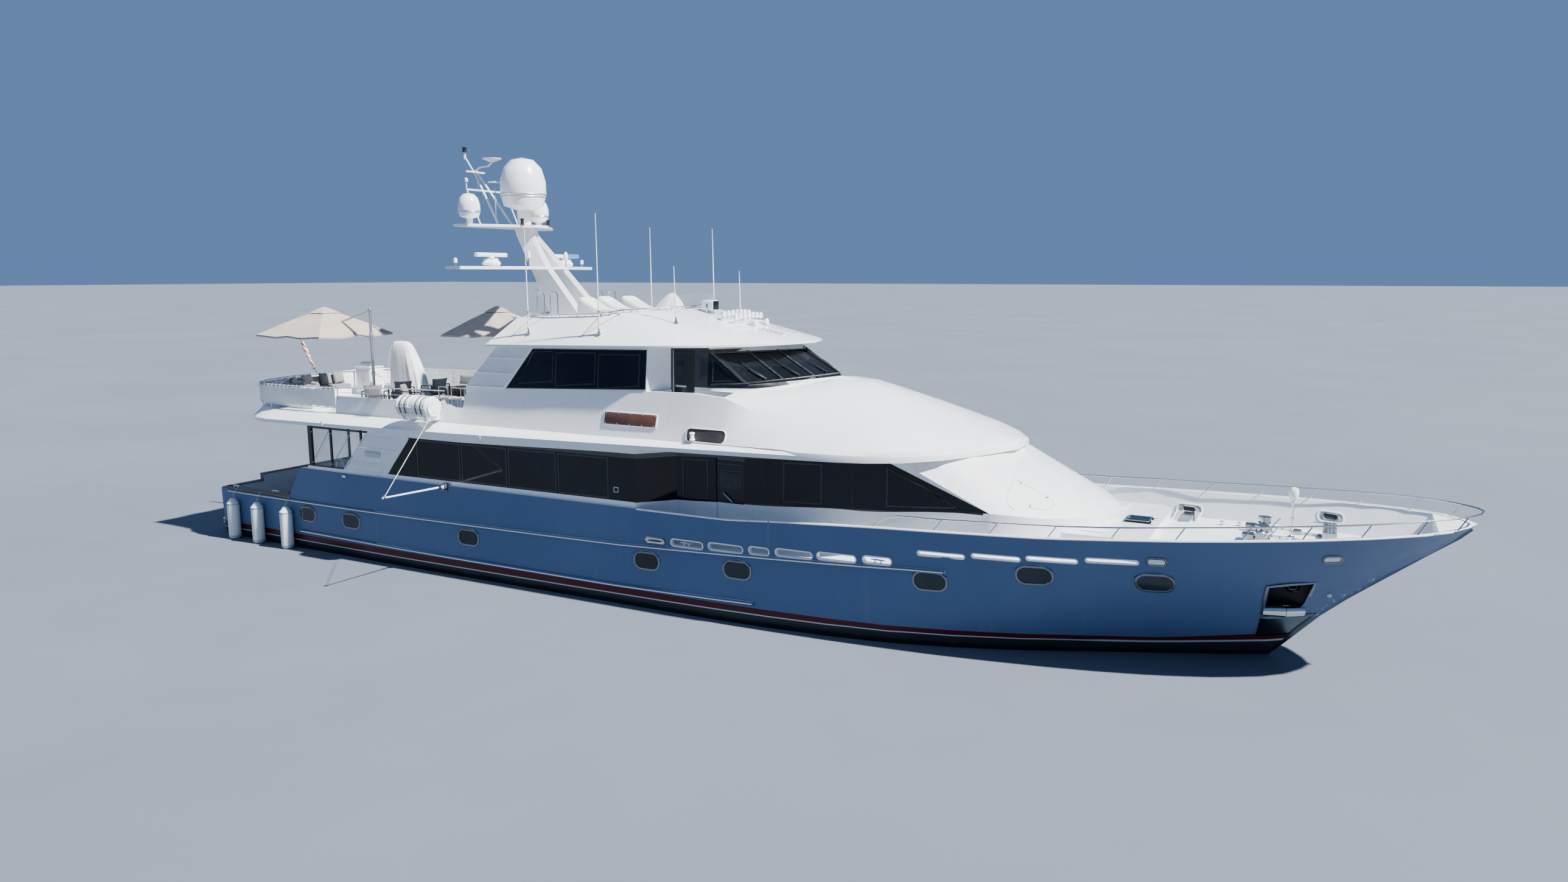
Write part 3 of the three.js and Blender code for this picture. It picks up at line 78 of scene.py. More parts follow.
def make_camera():
    data = bpy.data.cameras.new("camera")
    data.sensor_width = SENSOR_MM
    data.lens = FOCAL_PX / FRAME_WIDTH_PX * SENSOR_MM
    data.clip_end = 2000
    camera = bpy.data.objects.new("camera", data)
    scene.collection.objects.link(camera)
    across = Vector((math.cos(HEADING), math.sin(HEADING), 0))
    ahead = Vector((-math.sin(HEADING), math.cos(HEADING), 0))
    look = ahead * math.cos(PITCH) - Vector((0, 0, math.sin(PITCH)))
    upward = across.cross(look)
    turn = Matrix((across, upward, -look)).transposed()
    camera.matrix_world = Matrix.Translation(CAMERA_AT) @ turn.to_4x4()
    scene.camera = camera


make_camera()


# Node materials

class Look:
    """A Principled material whose detail comes from object coordinates."""

    def __init__(self, name, color, rough, metal=0.0, **fixed):
        self.material = bpy.data.materials.new(name)
        self.material.use_nodes = True
        self.tree = self.material.node_tree
        self.shader = self.tree.nodes["Principled BSDF"]
        self.place = self.add("ShaderNodeTexCoord").outputs["Object"]
        self.height = None
        fixed.update(Base_Color=(*color, 1), Roughness=rough, Metallic=metal)
        for socket, value in fixed.items():
            self.shader.inputs[socket.replace("_", " ")].default_value = value

    def set(self, socket, value):
        if isinstance(value, (int, float, tuple)):
            socket.default_value = value
        else:
            self.tree.links.new(value, socket)

    def add(self, kind, inputs=None, **settings):
        node = self.tree.nodes.new(kind)
        for key, value in settings.items():
            setattr(node, key, value)
        for key, value in (inputs or {}).items():
            self.set(node.inputs[key], value)
        return node

    def scaled(self, stretch):
        return self.add("ShaderNodeMapping", {"Vector": self.place, "Scale": stretch}).outputs["Vector"]

    def noise(self, scale, detail=3.0, stretch=(1, 1, 1), rough=0.5):
        return self.add("ShaderNodeTexNoise", {"Vector": self.scaled(stretch), "Scale": scale,
                                               "Detail": detail, "Roughness": rough}).outputs["Fac"]

    def wave(self, scale, axis):
        return self.add("ShaderNodeTexWave", {"Vector": self.scaled((1, 1, 1)), "Scale": scale,
                                              "Detail": 1.0}, bands_direction=axis).outputs["Fac"]

    def math(self, operation, first, *others):
        """One operation on first alone, or from first to each of the others in turn."""
        for other in others or (0.0,):
            first = self.add("ShaderNodeMath", {0: first, 1: other}, operation=operation).outputs[0]
        return first

    def times(self, *parts):
        return self.math("MULTIPLY", *parts)

    def plus(self, *parts):
        return self.math("ADD", *parts)

    def most(self, *parts):
        return self.math("MAXIMUM", *parts)

    def size(self, value):
        return self.math("ABSOLUTE", value)

    def ramp(self, value, low, high, to_low=0.0, to_high=1.0):
        """A smooth step from to_low at low to to_high at high."""
        return self.add("ShaderNodeMapRange", {"Value": value, "From Min": low, "From Max": high,
                                               "To Min": to_low, "To Max": to_high},
                        interpolation_type="SMOOTHSTEP").outputs["Result"]

    def between(self, value, low, high, soft=0.002):
        return self.times(self.ramp(value, low - soft, low + soft),
                          self.ramp(value, high - soft, high + soft, 1.0, 0.0))

    def axes(self, vector=None):
        return self.add("ShaderNodeSeparateXYZ", {0: vector or self.place}).outputs

    def facet(self):
        """The parts of the true surface normal."""
        return self.axes(self.add("ShaderNodeNewGeometry").outputs["True Normal"])

    def mix(self, share, a, b):
        a, b = ((*c, 1) if isinstance(c, tuple) else c for c in (a, b))
        return self.add("ShaderNodeMix", {"Factor": share, 6: a, 7: b}, data_type="RGBA").outputs[2]

    def color(self, value):
        self.set(self.shader.inputs["Base Color"], value)

    def rough(self, value, low, high):
        self.set(self.shader.inputs["Roughness"], self.ramp(value, 0.25, 0.75, low, high))

    def bump(self, height, strength, depth):
        inputs = {"Height": height, "Strength": strength, "Distance": depth}
        if self.height is not None:
            inputs["Normal"] = self.height
        self.height = self.add("ShaderNodeBump", inputs).outputs["Normal"]
        self.set(self.shader.inputs["Normal"], self.height)


# Colours, linear
NAVY = (0.070, 0.123, 0.236)
NAVY_LIGHT = (0.080, 0.136, 0.253)
WHITE = (0.80, 0.815, 0.83)
BLACK = (0.010, 0.012, 0.016)
GLASS_BLACK = (0.006, 0.007, 0.010)
SEAM_BLACK = (0.012, 0.011, 0.010)
BOOT_RED = (0.070, 0.007, 0.010)
BOTTOM_BLACK = (0.012, 0.013, 0.017)
TEAK = (0.24, 0.135, 0.075)
TAUPE = (0.40, 0.335, 0.28)
CLOTH_WHITE = (0.78, 0.78, 0.77)
CLOTH_GREY = (0.19, 0.185, 0.19)

PLANK_WIDTH = 0.062


def teak_color(look):
    grain = look.noise(9, 6, (0.35, 6, 6), 0.65)
    wide = look.noise(1.3, 3)
    wood = look.mix(look.ramp(grain, 0.3, 0.72), (0.11, 0.058, 0.032), TEAK)
    return look.mix(look.ramp(wide, 0.35, 0.7, 0, 0.45), wood, (0.27, 0.205, 0.155))


def planks(look):
    """Dark caulked seams that run fore and aft."""
    across = look.math("FRACT", look.math("DIVIDE", look.axes()["Y"], PLANK_WIDTH))
    return look.between(across, 0.06, 0.94, 0.03)


def hull_look():
    look = Look("hull_paint", NAVY, 0.3, IOR=1.28)
    x, y, z = (look.axes()[k] for k in "XYZ")
    nx, ny, nz = (look.facet()[k] for k in "XYZ")
    cloud = look.noise(0.45, 3)
    streak = look.noise(2.2, 5, (1, 1, 0.06), 0.6)
    paint = look.mix(look.ramp(cloud, 0.3, 0.75), NAVY, NAVY_LIGHT)
    worn = look.times(look.ramp(streak, 0.55, 0.8), look.ramp(z, 0.3, 2.4, 0.22, 0.06))
    paint = look.mix(worn, paint, (0.22, 0.27, 0.33))
    boot = look.math("SUBTRACT", z, look.ramp(x, 11.5, 14.4, 0.0, 0.17))
    paint = look.mix(look.between(boot, -9, 0.48), paint, BOOT_RED)
    climb = look.plus(look.ramp(x, -6, 11.2, 0.0, 0.07), look.ramp(x, 11.2, 14.4, 0.0, 0.10))
    level = look.math("SUBTRACT", z, climb)
    wide_line = look.times(look.between(level, 0.245, 0.300), look.ramp(x, 10.2, 10.8))
    line = look.most(look.between(level, 0.256, 0.288), wide_line)
    slime = look.ramp(look.plus(z, look.ramp(streak, 0.4, 0.7, 0, 0.05)), 0.10, 0.18, 0, 0.8)
    below = look.mix(slime, BOTTOM_BLACK, (0.030, 0.036, 0.038))
    paint = look.mix(look.between(level, -9, 0.256), paint, below)
    paint = look.mix(line, paint, (0.50, 0.52, 0.56))
    inward = look.times(ny, look.math("SIGN", y))
    inside = look.times(look.ramp(inward, -0.25, -0.15, 1, 0), look.ramp(z, 0.7, 0.72))
    ends = look.times(look.ramp(look.size(nx), 0.9, 0.95), look.ramp(z, 1.0, 1.05))
    ends = look.times(ends, look.ramp(x, -18.9, -18.85))
    upward = look.times(look.ramp(nz, 0.75, 0.9), look.ramp(z, 0.6, 0.62))
    stem_inside = look.times(look.ramp(nx, -0.35, -0.25, 1, 0), look.ramp(x, 14.5, 14.6))
    inside = look.most(inside, look.times(stem_inside, look.ramp(z, 2.3, 2.4)))
    white = look.most(upward, ends, inside)
    dust = look.ramp(look.noise(3.0, 5), 0.3, 0.7, 0, 0.25)
    paint = look.mix(white, paint, look.mix(dust, (0.70, 0.73, 0.77), (0.52, 0.54, 0.56)))
    aft = look.ramp(x, -11.3, -11.25, 1, 0)
    deck = look.mix(planks(look), SEAM_BLACK, teak_color(look))
    paint = look.mix(look.times(upward, aft, look.ramp(z, 2.4, 2.5, 1, 0)), paint, deck)
    # The flat sides of the anchor pockets are painted near black: painted shade and painted dark reflection
    # in the recess.
    pocket = look.times(look.between(x, 14.02, 15.1), look.between(z, 1.28, 2.15))
    flat_side = look.most(look.ramp(look.size(ny), 0.985, 0.995), look.ramp(look.size(ny), 0.03, 0.05, 1, 0))
    paint = look.mix(look.times(pocket, flat_side), paint, (0.022, 0.024, 0.028))
    chafe = look.times(look.between(x, 15.0, 16.3), look.ramp(look.size(y), 0.15, 0.34, 1, 0))
    chafe = look.times(chafe, look.ramp(look.noise(11, 5), 0.60, 0.66))
    paint = look.mix(look.times(chafe, 0.8), paint, (0.55, 0.55, 0.53))
    look.color(paint)
    look.rough(look.noise(1.7, 4), 0.30, 0.40)
    look.bump(look.noise(0.8, 2), 0.25, 0.02)
    look.bump(look.noise(140, 2), 0.05, 0.001)
    look.bump(look.times(look.noise(260, 2), upward), 0.4, 0.002)
    return look.material


def gelcoat_look(name, grip=True, tint=WHITE):
    look = Look(name, tint, 0.26, Coat_Weight=0.5, Coat_Roughness=0.06)
    z = look.axes()["Z"]
    nz = look.facet()["Z"]
    cloud = look.noise(0.5, 3)
    streak = look.noise(2.6, 5, (1, 1, 0.07), 0.6)
    grime = look.times(look.ramp(streak, 0.55, 0.8, 0, 0.35), look.ramp(nz, 0.3, 0.8, 1, 0.15))
    base = look.mix(look.ramp(cloud, 0.3, 0.7), tuple(c * 0.965 for c in tint), tint)
    base = look.mix(grime, base, (0.55, 0.56, 0.55))
    if grip:
        tread = look.times(look.ramp(nz, 0.992, 0.996), look.ramp(z, 0.5, 0.6))
        base = look.mix(look.times(tread, 0.45), base, (0.60, 0.62, 0.64))
        ridges = look.times(look.wave(42, "X"), look.wave(42, "Y"))
        look.bump(look.times(ridges, tread), 0.35, 0.003)
    look.color(base)
    look.rough(look.noise(2.3, 4), 0.2, 0.34)
    look.bump(look.noise(0.9, 2), 0.12, 0.015)
    look.bump(look.noise(160, 2), 0.04, 0.001)
    return look


def steel_look(name="polished_steel", color=(0.62, 0.64, 0.66), rough=0.14):
    look = Look(name, color, rough, 1.0)
    stain = look.ramp(look.noise(7, 5), 0.6, 0.85, 0, 0.35)
    look.color(look.mix(stain, color, (0.36, 0.29, 0.22)))
    look.rough(look.noise(20, 5, (1, 8, 8)), rough * 0.7, rough * 2)
    look.bump(look.noise(90, 3, (0.2, 4, 4)), 0.06, 0.001)
    return look.material


def glass_look(name, color):
    look = Look(name, color, 0.06, IOR=1.32)
    wide = look.noise(0.35, 2, (1, 1, 0.6))
    film = look.ramp(look.noise(3.5, 5, (1, 1, 0.3)), 0.5, 0.85, 0, 0.4)
    base = look.mix(look.ramp(wide, 0.3, 0.7), color, tuple(c * 1.9 + 0.002 for c in color))
    look.color(look.mix(film, base, tuple(c * 2.6 + 0.006 for c in color)))
    look.rough(look.noise(6, 4), 0.03, 0.11)
    look.bump(look.noise(0.6, 1), 0.08, 0.01)
    return look.material


def clear_look():
    look = Look("clear_screen", (0.34, 0.42, 0.46), 0.05, IOR=1.45, Alpha=0.3)
    haze = look.ramp(look.noise(1.2, 3), 0.4, 0.8, 0.10, 0.22)
    look.set(look.shader.inputs["Alpha"], haze)
    look.rough(look.noise(8, 4), 0.03, 0.14)
    look.bump(look.noise(0.8, 1), 0.05, 0.01)
    return look.material


def cloth_look(name, color, weave=900):
    look = Look(name, color, 0.86, Sheen_Weight=0.3, Sheen_Roughness=0.5)
    warp = look.plus(*(look.wave(weave, axis) for axis in "XZY"))
    patch = look.noise(2.2, 5)
    shade = look.mix(look.ramp(patch, 0.3, 0.7), tuple(c * 0.86 for c in color), color)
    slub = look.ramp(look.noise(75, 3), 0.45, 0.75, 0, 0.22)
    look.color(look.mix(slub, shade, tuple(min(c * 1.22, 0.95) for c in color)))
    look.rough(look.noise(30, 3), 0.78, 0.94)
    look.bump(look.noise(5.5, 4), 0.35, 0.03)
    look.bump(warp, 0.25, 0.0008)
    return look.material


def paint_look(name, color, rough=0.4, metal=0.0, speck=0.2):
    look = Look(name, color, rough, metal)
    patch = look.ramp(look.noise(4, 5), 0.4, 0.75, 0, speck)
    look.color(look.mix(patch, color, tuple(c * 1.5 + 0.02 for c in color)))
    look.rough(look.noise(12, 4), rough * 0.75, min(rough * 1.35, 1))
    look.bump(look.noise(110, 3), 0.1, 0.001)
    return look.material


def teak_look(name="teak_trim", seams=True):
    look = Look(name, TEAK, 0.55)
    wood = teak_color(look)
    look.color(look.mix(planks(look), SEAM_BLACK, wood) if seams else wood)
    look.rough(look.noise(9, 5, (0.35, 6, 6)), 0.42, 0.7)
    look.bump(look.noise(16, 6, (0.3, 7, 7)), 0.3, 0.002)
    return look.material


def bronze_look():
    look = Look("bronze", (0.42, 0.27, 0.12), 0.35, 1.0)
    patina = look.ramp(look.noise(5, 6), 0.45, 0.7, 0, 0.7)
    look.color(look.mix(patina, (0.42, 0.27, 0.12), (0.12, 0.16, 0.11)))
    look.rough(look.noise(11, 5), 0.25, 0.6)
    look.bump(look.noise(40, 4), 0.25, 0.003)
    return look.material


def door_look(name, split_z):
    """Black gloss above a height, white below it."""
    look = Look(name, BLACK, 0.18, IOR=1.35)
    z = look.axes()["Z"]
    patch = look.ramp(look.noise(3, 4), 0.35, 0.75, 0, 0.4)
    dark = look.mix(patch, BLACK, (0.022, 0.025, 0.030))
    look.color(look.mix(look.ramp(z, split_z - 0.003, split_z + 0.003), WHITE, dark))
    look.rough(look.noise(9, 4), 0.1, 0.24)
    look.bump(look.noise(120, 2), 0.05, 0.001)
    return look.material


def upper_house_look():
    look = gelcoat_look("upper_house_gelcoat")
    color = look.shader.inputs["Base Color"].links[0].from_socket
    x, y, z = (look.axes()[k] for k in "XYZ")
    ny, nz = look.facet()["Y"], look.facet()["Z"]
    half = look.size(y)
    wall = look.times(look.ramp(look.size(ny), 0.7, 0.8), look.between(x, -1.075, 3.4))
    foot = look.ramp(x, -0.34, -0.30, 4.9, 5.955)
    wall = look.times(wall, look.times(look.math("GREATER_THAN", z, foot), look.math("LESS_THAN", z, 7.1)))
    wall = look.times(wall, look.between(half, 2.2, 2.515))
    line = look.ramp(x, 1.2, 3.1, 5.955, 6.155)
    front = look.times(look.between(x, 0.15, 3.4), look.math("LESS_THAN", z, 6.99))
    front = look.times(front, look.math("GREATER_THAN", z, line))
    front = look.times(front, look.ramp(nz, 0.6, 0.7, 1, 0))
    front = look.times(front, look.between(half, -1, 2.5))
    black = look.most(wall, front)
    look.color(look.mix(black, color, GLASS_BLACK))
    return look.material


def deckhouse_look():
    look = gelcoat_look("deckhouse_gelcoat")
    color = look.shader.inputs["Base Color"].links[0].from_socket
    x, z = look.axes()["X"], look.axes()["Z"]
    low = look.ramp(x, -0.7, 1.5, 2.89, 2.975)
    low = look.plus(low, look.ramp(x, 1.5, 4.6, 0, 0.157))
    low = look.plus(low, look.ramp(x, 4.6, 7.6, 0, 0.22))
    high = look.plus(look.ramp(x, -9.6, -0.72, 4.065, 4.23), look.ramp(x, -0.74, -0.70, 0, 0.5))
    above_low = look.math("GREATER_THAN", z, low)
    below_high = look.math("LESS_THAN", z, high)
    band = look.times(above_low, below_high)
    middle = look.times(band, look.between(x, -1.40, 4.6))
    head = look.times(look.times(below_high, look.between(x, -9.7, -1.3)), look.between(z, 4.0, 5.0))
    tail = look.times(above_low, look.math("LESS_THAN", z, look.ramp(x, 4.6, 8.15, 3.21, 3.43)))
    tail = look.times(tail, look.between(x, 4.6, 8.0))
    black = look.most(middle, look.most(head, tail))
    look.color(look.mix(black, color, GLASS_BLACK))
    return look.material


hull_paint = hull_look()
gelcoat = gelcoat_look("gelcoat").material
smooth_white = gelcoat_look("smooth_white", grip=False).material
spar_white = gelcoat_look("spar_white", grip=False, tint=(0.78, 0.79, 0.80)).material
steel = steel_look()
dull_steel = steel_look("brushed_steel", (0.48, 0.50, 0.52), 0.3)
# Darker steel: on the polished rims of the hull its darkness is painted shade; the boom bracket uses it too.
dark_steel_and_painted_shade = steel_look("dark_steel_and_painted_shade", (0.20, 0.22, 0.24), 0.22)
# Polished bow plates given a dark blue-grey colour: a painted dark reflection.
painted_reflection_steel = steel_look("steel_painted_dark_reflection", (0.09, 0.12, 0.145), 0.16)
rail_steel = steel_look("rail_steel", (0.40, 0.42, 0.45), 0.16)
cast_steel = steel_look("cast_steel", (0.30, 0.31, 0.33), 0.2)
tinted = glass_look("tinted_glass", (0.003, 0.004, 0.006))
port_glass = glass_look("port_glass", (0.012, 0.018, 0.022))
clear = clear_look()
taupe_cloth = cloth_look("umbrella_cloth", TAUPE)
white_cloth = cloth_look("cover_cloth", CLOTH_WHITE)
grey_cloth = cloth_look("upholstery_cloth", CLOTH_GREY)
black_paint = paint_look("black_trim", (0.012, 0.013, 0.016), 0.3)
# Grey for dark hatch seams; on the bulwark niche backs it is painted shade on white.
seam_and_niche_shade_grey = paint_look("seam_and_niche_shade_grey", (0.26, 0.27, 0.29), 0.6)
# Dark rubber; in the bulwark fairleads it fills the holes as painted shade.
rubber_and_painted_shade = paint_look("dark_rubber_and_painted_shade", (0.02, 0.02, 0.022), 0.7)
vinyl = paint_look("fender_vinyl", (0.74, 0.75, 0.76), 0.42, 0, 0.08)
teak_seamed = teak_look()
teak_plain = teak_look("teak_plain", seams=False)
bronze = bronze_look()
lamp_lens = glass_look("lamp_lens", (0.55, 0.57, 0.60))
blue_cover = cloth_look("blue_cover", (0.03, 0.14, 0.42))
rope = cloth_look("rope", (0.62, 0.60, 0.56), 1400)
plaque_wood = paint_look("plaque_wood", (0.085, 0.032, 0.018), 0.35)
blind_cloth = cloth_look("blind_cloth", (0.42, 0.36, 0.28))
webbing = cloth_look("strap_webbing", (0.06, 0.065, 0.07), 1500)
pale_grey_cloth = cloth_look("pale_cushion_cloth", (0.36, 0.35, 0.345))

NODE_LOOKS = {"hull": hull_paint, "boarding_gate": hull_paint, "swim_platform": gelcoat,
              "shaft_strut": bronze, "propeller": bronze, "rudder": bronze, "deckhouse": deckhouse_look(),
              "saloon_glass": tinted, "boat_deck_rail": steel, "boat_deck": gelcoat,
              "upper_house": upper_house_look(), "lounge_glass": tinted, "windscreen": tinted,
              "hardtop": gelcoat, "sundeck_screen": clear, "mast": spar_white, "satellite_dome": smooth_white,
              "small_dome": smooth_white, "radar_scanner": smooth_white, "bow_rail": rail_steel,
              "deck_post": black_paint, "side_door": door_look("side_door_paint", 2.95),
              "pilothouse_door": door_look("pilothouse_door_paint", -5.0),
              "saloon_door": door_look("saloon_door_paint", -5.0), "foredeck_platform": gelcoat,
              "foredeck_hatch": tinted, "windlass": cast_steel, "bow_chocks": steel,
              "bow_light_pole": white_cloth, "boom_bracket": dark_steel_and_painted_shade, "tender_boom": spar_white,
              "life_raft": smooth_white, "umbrella": dull_steel, "crane_cover": white_cloth,
              "grill_cabinet": smooth_white, "stern_settee": grey_cloth, "anchor_bolster": steel,
              "fender": vinyl}
SMOOTH_ANGLE = math.radians(32)
WELD = 1e-4


def dress_nodes():
    for name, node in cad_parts.items():
        key = max((k for k in NODE_LOOKS if name.startswith(k)), key=len)
        node.data.materials.clear()
        node.data.materials.append(NODE_LOOKS[key])
        node.data.shade_smooth()
        weld = node.modifiers.new("weld", "WELD")
        weld.merge_threshold = WELD
        split = node.modifiers.new("split", "EDGE_SPLIT")
        split.split_angle = SMOOTH_ANGLE


dress_nodes()


# Mesh building

def turns(count):
    """Angles once round a circle."""
    return [2 * math.pi * k / count for k in range(count)]


def ring_about(centre, across, side, radius, count):
    return [centre + (across * math.cos(a) + side * math.sin(a)) * radius for a in turns(count)]


def level_ring(x, y, z, radius, count):
    return [(x + radius * math.cos(a), y + radius * math.sin(a), z) for a in turns(count)]


def upright_ring(x, y, z, radius, count):
    """A circle that faces fore and aft."""
    return [(x, y + radius * math.cos(a), z + radius * math.sin(a)) for a in turns(count)]


class Build:
    """Collects parts of one piece in a bmesh."""

    def __init__(self):
        self.bm = bmesh.new()

    def skin(self, rings, closed=True, caps=True):
        """Joins rings of equal count with faces."""
        rows = [[self.bm.verts.new(p) for p in ring] for ring in rings]
        count = len(rows[0])
        span = count if closed else count - 1
        for low, high in zip(rows, rows[1:]):
            for k in range(span):
                n = (k + 1) % count
                self.bm.faces.new((low[k], low[n], high[n], high[k]))
        if caps and closed:
            self.bm.faces.new(list(reversed(rows[0])))
            self.bm.faces.new(rows[-1])
        return self

    def slab(self, outline, offset):
        """A polygon carried along an offset."""
        offset = Vector(offset)
        return self.skin([[Vector(p) for p in outline], [Vector(p) + offset for p in outline]])

    def box(self, low, high):
        (x0, y0, z0), (x1, y1, z1) = low, high
        outline = [(x0, y0, z0), (x1, y0, z0), (x1, y1, z0), (x0, y1, z0)]
        return self.slab(outline, (0, 0, z1 - z0))

    def block(self, low, high, edge):
        """A box whose edges are rounded over."""
        part = bmesh.new()
        size = [h - l for l, h in zip(low, high)]
        middle = [(l + h) / 2 for l, h in zip(low, high)]
        place = Matrix.Translation(middle) @ Matrix.Diagonal((*size, 1))
        bmesh.ops.create_cube(part, size=1, matrix=place)
        bmesh.ops.bevel(part, geom=part.edges[:], offset=edge, segments=3, profile=0.5, affect="EDGES")
        fresh = {v: self.bm.verts.new(v.co) for v in part.verts}
        for face in part.faces:
            self.bm.faces.new([fresh[v] for v in face.verts])
        part.free()
        return self

    def face(self, points):
        self.bm.faces.new([self.bm.verts.new(p) for p in points])
        return self

    def at_side(self, side, across, deep, high, edge=0.0):
        """A box on one side of the boat; deep gives its distances from the centreline."""
        y0, y1 = sorted(side * y for y in deep)
        low, top = (across[0], y0, high[0]), (across[1], y1, high[1])
        return self.block(low, top, edge) if edge else self.box(low, top)

    def bars(self, across, deep, high, width):
        """Four bars round a rectangle: across, deep and high each give two ends along X, Y and Z."""
        (x0, x1), (y0, y1), (z0, z1) = across, sorted(deep), high
        self.box((x0, y0, z0), (x1, y1, z0 + width)).box((x0, y0, z1 - width), (x1, y1, z1))
        self.box((x0, y0, z0 + width), (x0 + width, y1, z1 - width))
        return self.box((x1 - width, y0, z0 + width), (x1, y1, z1 - width))

    def tube(self, points, radius, sides=8, loop=False):
        """A round tube along points; radius may be one number or one for each point."""
        points = [Vector(p) for p in points]
        radii = radius if isinstance(radius, (list, tuple)) else [radius] * len(points)
        last = len(points) - 1
        rings, across = [], None
        for k, point in enumerate(points):
            before = points[k - 1] if k or loop else point
            after = points[(k + 1) % (last + 1)] if k < last or loop else point
            along = (after - before).normalized()
            if across is None:
                across = along.orthogonal().normalized()
            across = (across - along * across.dot(along)).normalized()
            rings.append(ring_about(point, across, along.cross(across), radii[k], sides))
        if loop:
            rings.append(rings[0])
            return self.skin(rings, caps=False).weld(1e-6)
        return self.skin(rings)

    def weld(self, distance):
        bmesh.ops.remove_doubles(self.bm, verts=self.bm.verts, dist=distance)
        return self

    def lathe(self, profile, foot, axis=(0, 0, 1), sides=16):
        """Turns a profile of (radius, height) about an axis through foot."""
        axis = Vector(axis).normalized()
        across = axis.orthogonal().normalized()
        side = axis.cross(across)
        return self.skin([ring_about(Vector(foot) + axis * height, across, side, max(radius, 1e-4), sides)
                          for radius, height in profile])

    def done(self, name, material, body="boat", slot=None, smooth=35, bevel=0.0):
        bmesh.ops.recalc_face_normals(self.bm, faces=self.bm.faces)
        mesh = bpy.data.meshes.new(name)
        self.bm.to_mesh(mesh)
        self.bm.free()
        piece = bpy.data.objects.new(name, mesh)
        scene.collection.objects.link(piece)
        mesh.materials.append(material)
        mesh.shade_smooth()
        mesh.set_sharp_from_angle(angle=math.radians(smooth))
        if bevel:
            rounded = piece.modifiers.new("bevel", "BEVEL")
            rounded.width = bevel
            rounded.segments = 2
            rounded.limit_method = "ANGLE"
            rounded.angle_limit = math.radians(40)
        if body:
            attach(piece, body)
        return piece


class Surface:
    """Finds points on a CAD node's faces."""

    def __init__(self, *nodes):
        verts, faces = [], []
        for node in nodes:
            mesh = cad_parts[node].data
            start = len(verts)
            verts += [v.co.copy() for v in mesh.vertices]
            faces += [[start + k for k in p.vertices] for p in mesh.polygons]
        self.tree = BVHTree.FromPolygons(verts, faces)

    def side(self, x, z, side, lift=0.0):
        """The outermost point at x and z on one side, lifted off the surface; steps past a narrow gap."""
        for nudge in (0.0, 0.02, -0.02, 0.05, -0.05):
            start = Vector((x + nudge, side * 7.0, z))
            point, normal, _, _ = self.tree.ray_cast(start, Vector((0, -side, 0)))
            if point is not None and point.y * side > 0:
                return Vector((x, point.y, z)) + normal * lift
        return None

    def top(self, x, y):
        return self.tree.ray_cast(Vector((x, y, 20.0)), Vector((0, 0, -1)))[0]


def curve(knots, x):
    """The value at x of straight lines through knots of (x, value)."""
    if x <= knots[0][0]:
        return knots[0][1]
    for (x0, v0), (x1, v1) in zip(knots, knots[1:]):
        if x <= x1:
            return v0 + (v1 - v0) * (x - x0) / (x1 - x0)
    return knots[-1][1]


def steps(start, end, count):
    return [start + (end - start) * k / count for k in range(count + 1)]


def along_knots(knots, parts=4):
    """Points on the straight lines through knots, without the last knot."""
    return [(x0 + (x1 - x0) * k / parts, y0 + (y1 - y0) * k / parts)
            for (x0, y0), (x1, y1) in zip(knots, knots[1:]) for k in range(parts)]


def stadium(width, height, corner, arc=5):
    """A rounded rectangle about the origin, as (across, up) points."""
    points = []
    for cx, cy, start in ((1, -1, -90), (1, 1, 0), (-1, 1, 90), (-1, -1, 180)):
        for k in range(arc + 1):
            angle = math.radians(start + 90 * k / arc)
            points.append((cx * (width / 2 - corner) + corner * math.cos(angle),
                           cy * (height / 2 - corner) + corner * math.sin(angle)))
    return points


hull = Surface("hull")
house = Surface("deckhouse")
upper = Surface("upper_house")
roof = Surface("hardtop")


# Floor and light

def make_floor():
    look = Look("floor", (0.66, 0.67, 0.68), 0.85)
    patch = look.ramp(look.noise(0.06, 4), 0.3, 0.7)
    look.color(look.mix(patch, (0.100, 0.122, 0.155), (0.112, 0.135, 0.170)))
    look.rough(look.noise(0.5, 4), 0.75, 0.92)
    look.bump(look.noise(6, 4), 0.04, 0.01)
    mesh = bpy.data.meshes.new("floor")
    size = 900
    mesh.from_pydata([(-size, -size, 0), (size, -size, 0), (size, size, 0), (-size, size, 0)], [],
                     [(0, 1, 2, 3)])
    floor = bpy.data.objects.new("floor", mesh)
    mesh.materials.append(look.material)
    scene.collection.objects.link(floor)


def make_lights():
    world = bpy.data.worlds.new("studio")
    world.use_nodes = True
    background = world.node_tree.nodes["Background"]
    background.inputs["Color"].default_value = (0.27, 0.50, 1.0, 1)
    background.inputs["Strength"].default_value = 0.46
    scene.world = world
    for name, strength, spread, heading, height in (("key", 16.5, 1.2, -5, 50), ("rim", 0.3, 40, 150, 35)):
        data = bpy.data.lights.new(name, "SUN")
        data.energy = strength
        data.angle = math.radians(spread)
        data.color = (1.0, 0.985, 0.96) if name == "key" else (0.9, 0.95, 1.0)
        light = bpy.data.objects.new(name, data)
        a, e = math.radians(heading), math.radians(height)
        toward = Vector((math.cos(a) * math.cos(e), -math.sin(a) * math.cos(e), math.sin(e)))
        light.rotation_euler = toward.to_track_quat("Z", "Y").to_euler()
        scene.collection.objects.link(light)


make_floor()
make_lights()


# Hull fittings

HULL_SKIN = Surface("hull", "boarding_gate_starboard", "boarding_gate_port")


def on_hull(x, z, side, lift=0.0, span=None):
    """A point on the topsides; span gives two heights clear of an opening to measure between."""
    if span is None:
        return HULL_SKIN.side(x, z, side, lift)
    low, high = (HULL_SKIN.side(x, level, side) for level in span)
    share = (z - span[0]) / (span[1] - span[0])
    point = low.lerp(high, share)
    return Vector((x, point.y + side * lift, z))


